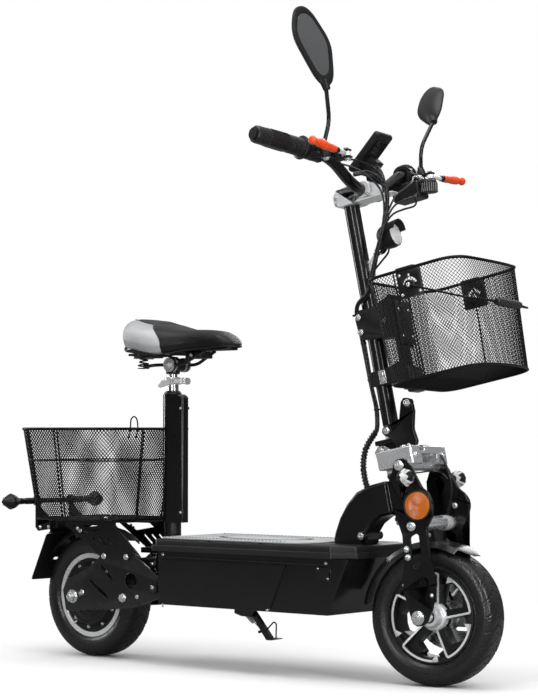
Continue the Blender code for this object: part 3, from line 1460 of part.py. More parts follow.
def make_stem(mat, frame):
    """Stem tube with its collar, fold tongue and headlight tab."""
    foot = STEM_FOOT_W
    body = lathe(
        [(0.0, STEM_TOP_W), (STEM_R, STEM_TOP_W), (STEM_R, foot), (COLLAR_R, foot), (COLLAR_R, 0.034),
         (0.0, 0.034)], Matrix(), 18
    )
    knuckle = block((-0.031, -0.0195, 0.0275), (0.014, 0.0195, 0.0365), 0.002)
    tongue = plate(
        rounded([(-0.0295, 0.0105), (0.010, 0.0105), (0.012, 0.032), (-0.029, 0.032)], 0.003, 1),
        2.0 * TONGUE_HALF, side()
    )
    hole = rod((FOLD_PIVOT_U, -0.04, FOLD_PIVOT_W), (FOLD_PIVOT_U, 0.04, FOLD_PIVOT_W),
               FOLD_PIN_R + RUN, 12)
    tab = plate(
        rounded([(STEM_R - 0.003, 0.347), (0.0245, 0.3475), (0.0275, 0.375), (0.0455, 0.388),
                 (0.0470, 0.3975), (0.037, 0.3975), (0.0215, 0.3815), (STEM_R - 0.003, 0.378)],
                0.003, 1), 0.004, side()
    )
    lamp = Vector(LAMP_PIVOT)
    half = Vector((0.0, 0.0105, 0.0))
    pin = rod(lamp - half, lamp + half, LAMP_PIN_R, 8)
    latch_u, latch_y, latch_w = LATCH
    latch = rod((latch_u, -0.012, latch_w), (latch_u, latch_y - 0.0075, latch_w), LATCH_R, 8)
    latch_head = rod(
        (latch_u, latch_y - 0.0055, latch_w), (latch_u, latch_y - 0.0090, latch_w), 0.0062, 8
    )
    body = join(body, knuckle, tongue, tab, pin, latch, latch_head)
    return finish("stem_tube", cut(body, hole), mat, frame)


def make_fold_lever(mat, frame):
    """Cam lever that locks the fold, on the right of the stem's foot."""
    latch_u, latch_y, latch_w = LATCH
    outline = rounded(
        [(-0.008, 0.042), (0.004, 0.039), (0.0275, 0.006), (0.052, 0.0005), (0.0645, 0.0165),
         (0.060, 0.042), (0.068, 0.074), (0.066, 0.094), (0.055, 0.104), (0.044, 0.101),
         (0.031, 0.060), (0.012, 0.061), (-0.006, 0.058)], 0.008, 1
    )
    body = plate(outline, 0.008, side(latch_y), edge=0.0015)
    hub = rod((latch_u, latch_y + 0.008, latch_w), (latch_u, latch_y - 0.005, latch_w), 0.0095, 12)
    grip = rod((0.057, latch_y - 0.0055, 0.092), (0.057, latch_y + 0.0055, 0.092), 0.0095, 12)
    bore = rod((latch_u, -0.010, latch_w), (latch_u, -0.040, latch_w), LATCH_R + RUN, 10)
    return finish("fold_lever", cut(join(body, hub, grip), bore), mat, frame)


def bar_path():
    """Centre line of the handlebar, from the right end to the left end."""
    right = [(-0.0101, -0.310, BAR_MID_W + 0.0833), (0.045, -0.140, BAR_MID_W + 0.049), (BAR_MID_U, -0.048, BAR_MID_W),
             (BAR_MID_U, 0.0, BAR_MID_W)]
    left = [(u, -v, w) for u, v, w in reversed(right[:-1])]
    return right[:-1] + left


def grip_axis(flank):
    """Elbow point and unit direction of one end of the handlebar."""
    end, elbow = Vector(bar_path()[0]), Vector(bar_path()[1])
    end.y *= -flank
    elbow.y *= -flank
    return elbow, (end - elbow).normalized()


def make_handlebar(mat, frame):
    """Swept handlebar."""
    return finish("handlebar", tube(bent(bar_path(), BAR_BEND, 5), BAR_R, resolution=3), mat, frame)


def make_bar_clamp(mat, frame):
    """Stem head that holds the handlebar, with its pierced tongue."""
    low = STEM_TOP_W - 0.012
    high = BAR_MID_W + BAR_R + 0.006
    half = 0.026
    outline = rounded(
        [(-0.024, low), (0.018, low), (0.030, low + 0.003), (BAR_MID_U + 0.020, low + 0.007),
         (BAR_MID_U + 0.020, high - 0.004), (0.028, high), (-0.014, high - 0.005),
         (-0.025, high - 0.014)], 0.006, 1
    )
    body = plate(outline, 2.0 * half, side())
    tongue = plate(
        rounded([(0.016, -0.024), (0.098, -0.016), (0.098, 0.016), (0.016, 0.024)], 0.005, 1), 0.003,
        level(low + 0.0022),
        [circle((0.068 + 0.018 * (i % 2), -0.008 + 0.016 * (i // 2)), 0.0024, 6) for i in range(4)],
    )
    bar_hole = rod((BAR_MID_U, -0.1, BAR_MID_W), (BAR_MID_U, 0.1, BAR_MID_W), BAR_R + RUN, 20)
    stem_hole = rod((0.0, 0.0, low - 0.01), (0.0, 0.0, STEM_TOP_W + GAP), STEM_R + GAP, 22)
    return finish("bar_clamp", cut(join(body, tongue), bar_hole, stem_hole), mat, frame)


def grip_profile(length, flange):
    """Section of a hollow grip, from its flange to its end."""
    bore = BAR_R + RUN
    return [
        (bore, length), (GRIP_R - 0.003, length), (GRIP_R, length - 0.004), (GRIP_R, 0.006),
        (flange, 0.005), (flange, 0.0), (bore, 0.0),
    ]


def make_grip(name, flank, mat, frame):
    """Rubber grip on one end of the handlebar."""
    elbow, aim = grip_axis(flank)
    start = elbow + aim * GRIP_START
    body = lathe(grip_profile(GRIP_L, GRIP_FLANGE_R), along(start, start + aim), 14)
    return finish(name, body, mat, frame)


def make_controls(name, flank, mat, frame):
    """Control housing on the handlebar, with its lever perch and mirror socket."""
    elbow, aim = grip_axis(flank)
    collar = rod(elbow + aim * 0.020, elbow + aim * 0.060, 0.0185, 14)
    pivot = Vector(LEVER_PIVOT)
    pivot.y *= flank
    mid = elbow + aim * 0.030
    arm = rod(
        mid + Vector((0.006, 0.0, -0.002)), pivot + Vector((-0.012, 0.0, 0.0)), 0.0085, 10, 0.0070
    )
    jaws = [
        block(pivot + Vector((-0.016, -0.008, low)), pivot + Vector((0.0075, 0.008, high)))
        for low, high in ((0.0047, 0.0085), (-0.0085, -0.0047))
    ]
    root = block(
        pivot + Vector((-0.022, -0.008, -0.0085)), pivot + Vector((-0.0125, 0.008, 0.0085))
    )
    reach = Vector((0.0, 0.0, 0.0095))
    pin = rod(pivot - reach, pivot + reach, LEVER_PIN_R, 8)
    base = Vector(MIRROR_BASE)
    base.y *= flank
    boss = rod(
        elbow + aim * 0.052 - Vector((0.0, 0.0, 0.010)), base - Vector((0.0, 0.0, 0.011)), 0.0070, 8, 0.0060
    )
    socket = rod(base + Vector((0.0, 0.0, -0.016)), base, 0.0095, 12)
    adjuster = rod(
        pivot + Vector((-0.016, flank * -0.004, 0.0)), pivot + Vector((-0.016, flank * -0.030, -0.001)),
        0.0045, 8
    )
    body = join(collar, arm, root, *jaws, pin, boss, socket, adjuster)
    if flank > 0.0:
        body = join(body, *switch_box())
        seat = Vector(HORN_SEAT)
        body = cut(
            body, rod(seat + Vector((-0.01, 0.0, 0.0)), seat + Vector((0.014, 0.0, 0.0)), HORN_R + RUN, 12)
        )
    bar = tube(bent(bar_path(), BAR_BEND, 5), BAR_R + RUN, resolution=3)
    return finish(name, cut(body, bar), mat, frame)


def switch_box():
    """Switch housing under the left collar, its round switch and the horn's ring."""
    seat = Vector(HORN_SEAT)
    case = block((seat.x, 0.118, seat.z - 0.020), (0.088, 0.1615, seat.z + 0.0145), 0.003)
    pod = lathe(
        [(0.0, 0.012), (0.0145, 0.012), (0.0175, 0.007), (0.0175, -0.012), (0.0, -0.013)],
        Matrix.Translation((0.1005, 0.1405, seat.z - 0.0015)) @ Matrix.Rotation(math.radians(8.0), 4, "Y"), 12
    )
    link = block((0.030, 0.1485, seat.z + 0.009), (0.0565, 0.1735, seat.z + 0.0375))
    ring = rod(seat + Vector((-0.002, 0.0, 0.0)), seat + Vector((0.004, 0.0, 0.0)), HORN_R + 0.003, 12)
    return case, pod, link, ring


def make_horn_button(mat, frame):
    """Push button in the left control housing."""
    seat = Vector(HORN_SEAT)
    body = rod(seat + Vector((-0.0055, 0.0, 0.0)), seat + Vector((0.0100, 0.0, 0.0)), HORN_R, 12)
    return finish("horn_button", body, mat, frame)


def make_brake_lever(name, flank, mat, frame):
    """Brake lever with its sleeve and ball end."""
    pivot = Vector(LEVER_PIVOT)
    pivot.y *= flank
    end = pivot + Vector((0.0050, flank * 0.1350, 0.0065))
    grip_start = pivot + Vector((0.0026, flank * 0.0370, 0.0010))
    hub = rod(pivot + Vector((0.0, 0.0, -0.0042)), pivot + Vector((0.0, 0.0, 0.0042)), 0.0072, 12)
    blade = rod(pivot + Vector((0.0, 0.0, 0.0)), grip_start, 0.0040, 10, end_radius=0.0048)
    aim = (end - grip_start).normalized()
    length = (end - grip_start).length
    sleeve = lathe(
        [(0.0, length), (0.0070, length - 0.003), (0.0080, length - 0.0080), (0.0050, length - 0.0155),
         (0.0078, length - 0.040), (0.0068, 0.004), (0.0060, 0.0), (0.0, 0.0)],
        along(grip_start, grip_start + aim), 10
    )
    tail = rod(pivot, pivot + Vector((-0.0105, flank * -0.002, 0.0)), 0.0030, 8)
    reach = Vector((0.0, 0.0, 0.02))
    bore = rod(pivot - reach, pivot + reach, LEVER_PIN_R + RUN, 10)
    return finish(name, cut(join(hub, blade, sleeve, tail), bore), mat, frame)


def make_mirror(name, flank, route, leaf_aim, glass_aim, mat, frame):
    """Rear-view mirror: threaded foot, bent stalk and leaf-shaped housing."""
    base = Vector(MIRROR_BASE)
    base.y *= flank
    foot = lathe(
        [(0.0, 0.016), (0.0050, 0.016), (0.0075, 0.011), (0.0088, 0.003), (0.0088, GAP), (0.0, GAP)],
        Matrix.Translation(base), 10
    )
    points = [base + Vector((0.0, 0.0, 0.010))]
    points += [base + Vector((u, flank * v, w)) for u, v, w in route]
    stalk = tube(bent(points, 0.020, 3), 0.0040, resolution=1)
    leaf = bmesh.new()
    bmesh.ops.create_uvsphere(leaf, u_segments=14, v_segments=6, radius=1.0)
    long_half, wide_half, deep = 0.080, 0.043, 0.016
    for vert in leaf.verts:
        x, y, z = vert.co
        reach = math.hypot(x, y)
        squash = 1.0 - 0.30 * max(0.0, x) ** 2 - 0.10 * max(0.0, -x) ** 2
        depth = deep * (z if z > 0.0 else 0.35 * z) * (0.55 + 0.45 * (1.0 - reach ** 4))
        vert.co = (long_half * x, wide_half * y * squash + 0.012 * x, depth)
    leaf.transform(Matrix.Translation((long_half - 0.004, 0.0, 0.0)))
    long_axis = Vector(leaf_aim).normalized()
    back = -Vector(glass_aim)
    back = (back - back.dot(long_axis) * long_axis).normalized()
    turn = Matrix((long_axis, back.cross(long_axis), back)).transposed().to_4x4()
    housing = bench_shape(leaf, Matrix.Translation(points[-1]) @ turn)
    return finish(name, join(foot, stalk, housing), mat, frame)


def make_headlight(mat, frame):
    """Headlight drum with its visor and pivot ears."""
    aim = Matrix.Translation((0.046, 0.0, 0.413)) @ Matrix.Rotation(math.radians(86.0), 4, "Y")
    drum = lathe(
        [(0.0, 0.036), (0.0220, 0.036), (0.0235, 0.034), (0.0235, 0.018), (0.0215, 0.010),
         (0.0160, 0.003), (0.0, 0.000)], aim, 16
    )
    hood = shell_hood(aim)
    ears = [
        plate(
            rounded([(0.034, 0.386), (0.048, 0.386), (0.062, 0.398), (0.062, 0.406), (0.044, 0.406)],
                    0.003, 1), 0.004, side(flank * 0.0055)
        )
        for flank in (-1.0, 1.0)
    ]
    lamp = Vector(LAMP_PIVOT)
    half = Vector((0.0, 0.02, 0.0))
    hole = rod(lamp - half, lamp + half, LAMP_PIN_R + RUN, 8)
    return finish("headlight", cut(join(drum, hood, *ears), hole), mat, frame)


def shell_hood(aim):
    """Visor over the headlight's lens."""
    mesh = bpy.data.meshes.new("hood")
    mesh.from_pydata([(0.0240, 0.0, 0.028), (0.0250, 0.0, 0.050)], [(0, 1)], [])
    obj = bpy.data.objects.new("hood", mesh)
    bpy.data.collections[CUTTERS].objects.link(obj)
    screw = obj.modifiers.new("Screw", "SCREW")
    screw.angle = math.radians(150.0)
    screw.steps = 7
    screw.render_steps = 7
    wall = obj.modifiers.new("Wall", "SOLIDIFY")
    wall.thickness = 0.002
    wall.offset = 0.0
    return bake(obj, aim @ Matrix.Rotation(math.radians(105.0), 4, "Z"))


def make_display(mat, frame):
    """Display head on its arm over the stem."""
    turn = Matrix.Translation((0.062, -0.002, BAR_MID_W + 0.069)) @ Matrix.Rotation(math.radians(-37.0), 4, "Y")
    case = block((-0.048, -0.030, -0.0065), (0.046, 0.030, 0.0075), 0.004, turn)
    neck = block((-0.030, -0.014, -0.030), (-0.002, 0.014, -0.004), 0.0, turn)
    ring = rod((BAR_MID_U, 0.030, BAR_MID_W), (BAR_MID_U, 0.044, BAR_MID_W), 0.0165, 14)
    arm = plate(
        rounded([(0.026, BAR_MID_W), (0.050, BAR_MID_W), (0.056, BAR_MID_W + 0.040),
                 (0.040, BAR_MID_W + 0.054), (0.024, BAR_MID_W + 0.036)], 0.005, 1), 0.010, side(0.037)
    )
    cross = block((0.027, -0.010, BAR_MID_W + 0.035), (0.053, 0.041, BAR_MID_W + 0.050))
    bore = tube(bent(bar_path(), BAR_BEND, 5), BAR_R + RUN, resolution=3)
    return finish("display_panel", cut(join(case, neck, cross, arm, ring), bore), mat, frame)


def make_basket_bracket(mat, frame):
    """Clamps on the stem with the mount plate of the front basket."""
    back = FRONT_BASKET_U - 0.0065
    upper = plate(
        rounded([(-0.021, 0.231), (0.016, 0.226), (back - 0.006, 0.222), (back, 0.205), (back, 0.300),
                 (back - 0.006, 0.300), (0.016, 0.287), (-0.019, 0.288)], 0.006, 1), 0.042, side()
    )
    lower = plate(
        rounded([(-0.018, 0.138), (0.030, 0.136), (back, 0.118), (back, 0.176), (0.030, 0.168),
                 (-0.018, 0.166)], 0.005, 1), 0.040, side()
    )
    web = block((back - 0.004, -0.024, 0.118), (back, 0.024, 0.302))
    bolts = [rod((-0.0165, -0.0240, w), (-0.0165, 0.0240, w), 0.0045, 8) for w in (0.245, 0.274)]
    bore = rod((0.0, 0.0, 0.09), (0.0, 0.0, 0.32), STEM_R + GAP, 22)
    return finish("basket_bracket", cut(join(upper, lower, web, *bolts), bore), mat, frame)


def make_front_basket(mat, frame):
    """Front basket with the hinge plates of its handle and its back plate."""
    centre = (FRONT_BASKET_U + FRONT_BASKET_D / 2.0, 0.0)
    net = basket_net(
        centre, FRONT_BASKET_W, FRONT_BASKET_D, FRONT_BASKET_FLOOR_W, FRONT_BASKET_TOP_W, 0.92,
        FRONT_BASKET_BOW
    )
    parts = [net]
    wall = FRONT_BASKET_W / 2.0
    for flank in (-1.0, 1.0):
        inside, outside = sorted((flank * (wall - 0.0035), flank * (wall + 0.0015)))
        parts.append(block(
            (HANDLE_U - 0.025, inside, HANDLE_W - 0.022),
            (HANDLE_U + 0.025, outside, FRONT_BASKET_TOP_W + 0.0045),
        ))
        parts.append(
            rod((HANDLE_U, flank * (wall - 0.002), HANDLE_W),
                (HANDLE_U, flank * (wall + 0.0055), HANDLE_W), 0.0045, 8)
        )
    back = FRONT_BASKET_U - 0.0062
    parts.append(block((back, -0.030, 0.200), (back + 0.015, 0.030, 0.290)))
    parts.append(block((back, -0.028, 0.112), (back + 0.020, 0.028, 0.160)))
    return finish("front_basket", join(*parts), mat, frame)


def make_handle(mat, frame):
    """Wire handle of the front basket, swung down over its front."""
    wall = FRONT_BASKET_W / 2.0 + 0.0078
    reach_u, reach_w = 0.1240, -0.0550
    far_u, far_w = HANDLE_U + reach_u, HANDLE_W + reach_w
    path = bent(
        [(HANDLE_U, -wall, HANDLE_W), (far_u - 0.020, -wall, far_w + 0.006), (far_u, -0.055, far_w),
         (far_u, 0.055, far_w), (far_u - 0.020, wall, far_w + 0.006), (HANDLE_U, wall, HANDLE_W)],
        0.030, 3
    )
    wire = tube(path, 0.0020, resolution=1)
    grip = rod((far_u, -0.048, far_w), (far_u, 0.048, far_w), 0.0072, 8)
    eyes = [
        rod((HANDLE_U, flank * (wall - 0.0019), HANDLE_W), (HANDLE_U, flank * (wall + 0.0022), HANDLE_W),
            0.0085, 8)
        for flank in (-1.0, 1.0)
    ]
    return finish("basket_handle", join(wire, grip, *eyes), mat, frame)


def make_stem_cables(mat, frame):
    """Bundle of control cables from the bar to the stem's foot."""
    return finish("stem_cables", tube(flowing(CABLE_ROUTE, 28), CABLE_R, resolution=1), mat, frame)


def make_rear_basket(mat, frame):
    """Rear basket on the luggage rack."""
    net = basket_net(
        (REAR_BASKET_X, 0.0), REAR_BASKET_W, REAR_BASKET_D, REAR_BASKET_FLOOR_Z, REAR_BASKET_TOP_Z, 0.82
    )
    return finish("rear_basket", net, mat, frame)


def main():
    """Build every piece on its frame."""
    reset_scene()
    paint = material("black_paint", (0.010, 0.010, 0.011), 0.30)
    satin = material("black_satin", (0.020, 0.020, 0.021), 0.50)
    coated = material("coated_wire", (0.015, 0.015, 0.016), 0.45)
    silver = material("silver_alloy", (0.62, 0.63, 0.64), 0.35, 1.0)
    steel = material("zinc_steel", (0.50, 0.50, 0.51), 0.35, 1.0)
    chrome = material("chrome", (0.75, 0.76, 0.78), 0.08, 1.0)
    plastic = material("black_plastic", (0.018, 0.018, 0.019), 0.55)
    gloss = material("gloss_plastic", (0.010, 0.010, 0.011), 0.15)
    rubber = material("rubber", (0.016, 0.016, 0.016), 0.80)
    tyre = material("tyre", (0.014, 0.014, 0.014), 0.85)
    grip_mat = material("deck_grip", (0.34, 0.35, 0.36), 0.80)
    leather = material("saddle_leather", (0.30, 0.31, 0.32), 0.50)
    lens = material("signal_lens", (0.80, 0.80, 0.80), 0.10)

    swing = Frame("swing_pivot", (PIVOT_X, 0.0, PIVOT_Z))
    rear_wheel = Frame("rear_wheel_centre", (REAR_AXLE_X, 0.0, TYRE_R), swing)
    saddle = Frame("saddle_slide", (SEAT_X, 0.0, SLEEVE_TOP_Z))
    clamp = Frame("clamp_lever_pivot", clamp_centre())
    stand = Frame("stand_pivot", (STAND_X, STAND_Y, STAND_Z))
    port = Frame("port_hinge", (0.2585, -(BOX_HALF_W + PANEL_T + GAP), 0.2155))
    steering = Frame("steering_axis", turn=STEERED)
    front_wheel = Frame("front_wheel_centre", (AXLE_U, 0.0, AXLE_W), steering)
    fold = Frame("fold_pivot", (FOLD_PIVOT_U, 0.0, FOLD_PIVOT_W), steering)
    latch = Frame("latch_pivot", LATCH, fold)
    lamp = Frame("lamp_pivot", LAMP_PIVOT, fold)
    handle = Frame("handle_hinge", (HANDLE_U, 0.0, HANDLE_W), fold)
    horn = Frame("horn_seat", HORN_SEAT, fold)

    make_deck_box(paint)
    make_deck_cover(satin)
    make_deck_mat(grip_mat)
    make_battery(plastic)
    make_controller(silver)
    make_gooseneck(paint)
    make_seat_tube(paint)
    make_pillar_cover(gloss)
    make_sleeve(chrome)
    make_clamp_lever(steel, clamp)
    make_damper(steel)
    make_shock_spring(paint)
    make_loom(plastic)
    make_port_cover(rubber, port)
    make_kickstand(paint, stand)
    make_stand_spring(steel)

    make_post(chrome, saddle)
    make_saddle_frame(satin, saddle)
    make_cushion(leather, saddle)

    for name, flank in (("swing_plate_right", -1.0), ("swing_plate_left", 1.0)):
        make_swing_plate(name, flank, paint, swing)
    make_crossbar(paint, swing)
    make_rear_axle(steel, swing)
    make_rack(satin, swing)
    make_rear_fender(plastic, swing)
    for name, flank in (("rear_signal_right", -1.0), ("rear_signal_left", 1.0)):
        root = (SIGNAL_X, flank * (SIGNAL_BAR + GAP), SIGNAL_Z)
        make_signal(name, root, (SIGNAL_X, flank * 0.100, SIGNAL_Z), 0.050, flank, lens, swing)
    make_rear_basket(coated, swing)
    make_hub_motor(silver, rear_wheel)
    make_tyre("rear_tyre", (REAR_AXLE_X, 0.0, TYRE_R), tyre, rear_wheel)

    make_crown(silver, steering)
    for name, flank in (("fork_plate_right", -1.0), ("fork_plate_left", 1.0)):
        make_fork_plate(name, flank, paint, steering)
    make_front_axle(steel, steering)
    make_front_fender(plastic, steering)
    make_caliper(satin, steering)
    for name, flank in (("front_signal_right", -1.0), ("front_signal_left", 1.0)):
        root = (0.065, flank * (FORK_HALF + FORK_T + GAP), -0.053)
        make_signal(name, root, (0.065, flank * 0.090, -0.053), 0.040, flank, lens, steering)
    make_front_wheel(satin, front_wheel)
    make_tyre("front_tyre", (AXLE_U, 0.0, AXLE_W), tyre, front_wheel)
    make_brake_disc(steel, front_wheel)

    make_stem(paint, fold)
    make_fold_lever(paint, latch)
    make_handlebar(paint, fold)
    make_bar_clamp(silver, fold)
    make_grip("grip_left", 1.0, rubber, fold)
    for name, flank in (("control_right", -1.0), ("control_left", 1.0)):
        make_controls(name, flank, plastic, fold)
    make_horn_button(rubber, horn)
    make_display(gloss, fold)
    make_stem_cables(rubber, fold)
    make_headlight(plastic, lamp)
    make_basket_bracket(paint, fold)
    make_front_basket(coated, fold)
    make_handle(steel, handle)

    elbow, aim = grip_axis(-1.0)
    throttle = Frame("throttle_axis", elbow + aim * GRIP_START, fold)
    make_grip("throttle_grip", -1.0, rubber, throttle)
    for name, flank in (("brake_lever_right", -1.0), ("brake_lever_left", 1.0)):
        u, y, w = LEVER_PIVOT
        make_brake_lever(name, flank, satin, Frame(f"{name}_pivot", (u, flank * y, w), fold))
    u, y, w = MIRROR_BASE
    route = ((0.014, -0.011, 0.052), (0.037, 0.022, 0.107))
    make_mirror(
        "mirror_right", -1.0, route, (-0.048, -0.218, 0.975), (0.94, -0.34, 0.05), gloss,
        Frame("mirror_right_socket", (u, -y, w), fold)
    )
    make_mirror(
        "mirror_left", 1.0, route, (-0.23, 0.80, 0.55), (0.94, 0.34, 0.05), gloss,
        Frame("mirror_left_socket", (u, y, w), fold)
    )


main()
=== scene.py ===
"""The looks of a seated electric scooter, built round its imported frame.

Every length is in metres.  Pieces of the frame and the seat are placed in the
world, and pieces of the steering in the steering's own axes: forward along the
wheel, left along its axle and up the steering axis.
"""
import json
import logging
from dataclasses import dataclass, field
from enum import Enum
from math import copysign, cos, dist, exp, pi, radians, sin, sqrt
from typing import Callable, Optional, Sequence

import bmesh
import bpy
from mathutils import Matrix, Vector

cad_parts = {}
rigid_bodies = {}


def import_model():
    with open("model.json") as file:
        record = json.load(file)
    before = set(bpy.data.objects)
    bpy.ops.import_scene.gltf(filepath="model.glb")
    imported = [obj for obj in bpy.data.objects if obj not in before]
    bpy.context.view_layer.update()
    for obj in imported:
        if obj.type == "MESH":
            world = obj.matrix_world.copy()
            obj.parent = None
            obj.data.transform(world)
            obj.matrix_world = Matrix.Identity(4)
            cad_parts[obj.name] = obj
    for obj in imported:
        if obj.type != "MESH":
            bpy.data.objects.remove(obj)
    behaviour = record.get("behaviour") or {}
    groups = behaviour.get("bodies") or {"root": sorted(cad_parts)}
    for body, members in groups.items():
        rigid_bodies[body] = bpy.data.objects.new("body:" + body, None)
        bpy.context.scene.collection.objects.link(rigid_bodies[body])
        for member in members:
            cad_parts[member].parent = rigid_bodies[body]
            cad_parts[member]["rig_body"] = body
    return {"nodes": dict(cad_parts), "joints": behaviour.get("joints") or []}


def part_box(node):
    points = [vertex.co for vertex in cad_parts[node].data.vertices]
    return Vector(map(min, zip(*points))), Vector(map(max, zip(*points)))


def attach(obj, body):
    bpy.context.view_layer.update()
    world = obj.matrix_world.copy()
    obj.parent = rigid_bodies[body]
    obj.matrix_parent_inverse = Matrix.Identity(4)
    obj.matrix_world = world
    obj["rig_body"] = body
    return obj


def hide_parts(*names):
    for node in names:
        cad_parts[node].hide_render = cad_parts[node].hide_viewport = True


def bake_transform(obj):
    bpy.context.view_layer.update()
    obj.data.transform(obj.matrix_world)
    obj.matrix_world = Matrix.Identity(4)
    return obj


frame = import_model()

logging.basicConfig(level=logging.INFO, format="%(message)s")
log = logging.getLogger("scooter")

Point = Sequence[float]
Tree = bpy.types.NodeTree
Socket = bpy.types.NodeSocket
FULL_TURN = 2.0 * pi
WHITE = (1.0, 1.0, 1.0, 1.0)
WELD = 0.000005


class Texture(Enum):
    """The small-scale surface of a finish."""

    PAINT = "paint"
    MOULDED = "moulded"
    BRUSHED = "brushed"
    RUBBER = "rubber"
    LEATHER = "leather"
    PLATED = "plated"
    PRISMS = "prisms"


class Head(Enum):
    """The kinds of fastener head on the scooter."""

    DOME = "dome"
    HEX = "hex"
    SOCKET = "socket"
    NYLOC = "nyloc"


# Shared shader effects


def node(tree: Tree, kind: str, inputs: Optional[dict] = None, **settings: object) -> bpy.types.Node:
    """Add a shader node, set it up and feed it.

    Args:
        tree: The tree to add it to.
        kind: Its kind, without the leading ShaderNode.
        inputs: For each input, a socket to link or a value.
        settings: Its own settings.

    Returns:
        The node.
    """
    made = tree.nodes.new(f"ShaderNode{kind}")
    for name, value in settings.items():
        setattr(made, name, value)
    for name, value in (inputs or {}).items():
        if isinstance(value, Socket):
            tree.links.new(value, made.inputs[name])
        else:
            made.inputs[name].default_value = value
    return made


def sum_of(tree: Tree, kind: str, first: object, second: object) -> Socket:
    """Add a Math node.

    Args:
        tree: The tree to add it to.
        kind: Its operation.
        first: A socket or a number.
        second: A socket or a number.

    Returns:
        Its result.
    """
    return node(tree, "Math", {0: first, 1: second}, operation=kind).outputs[0]


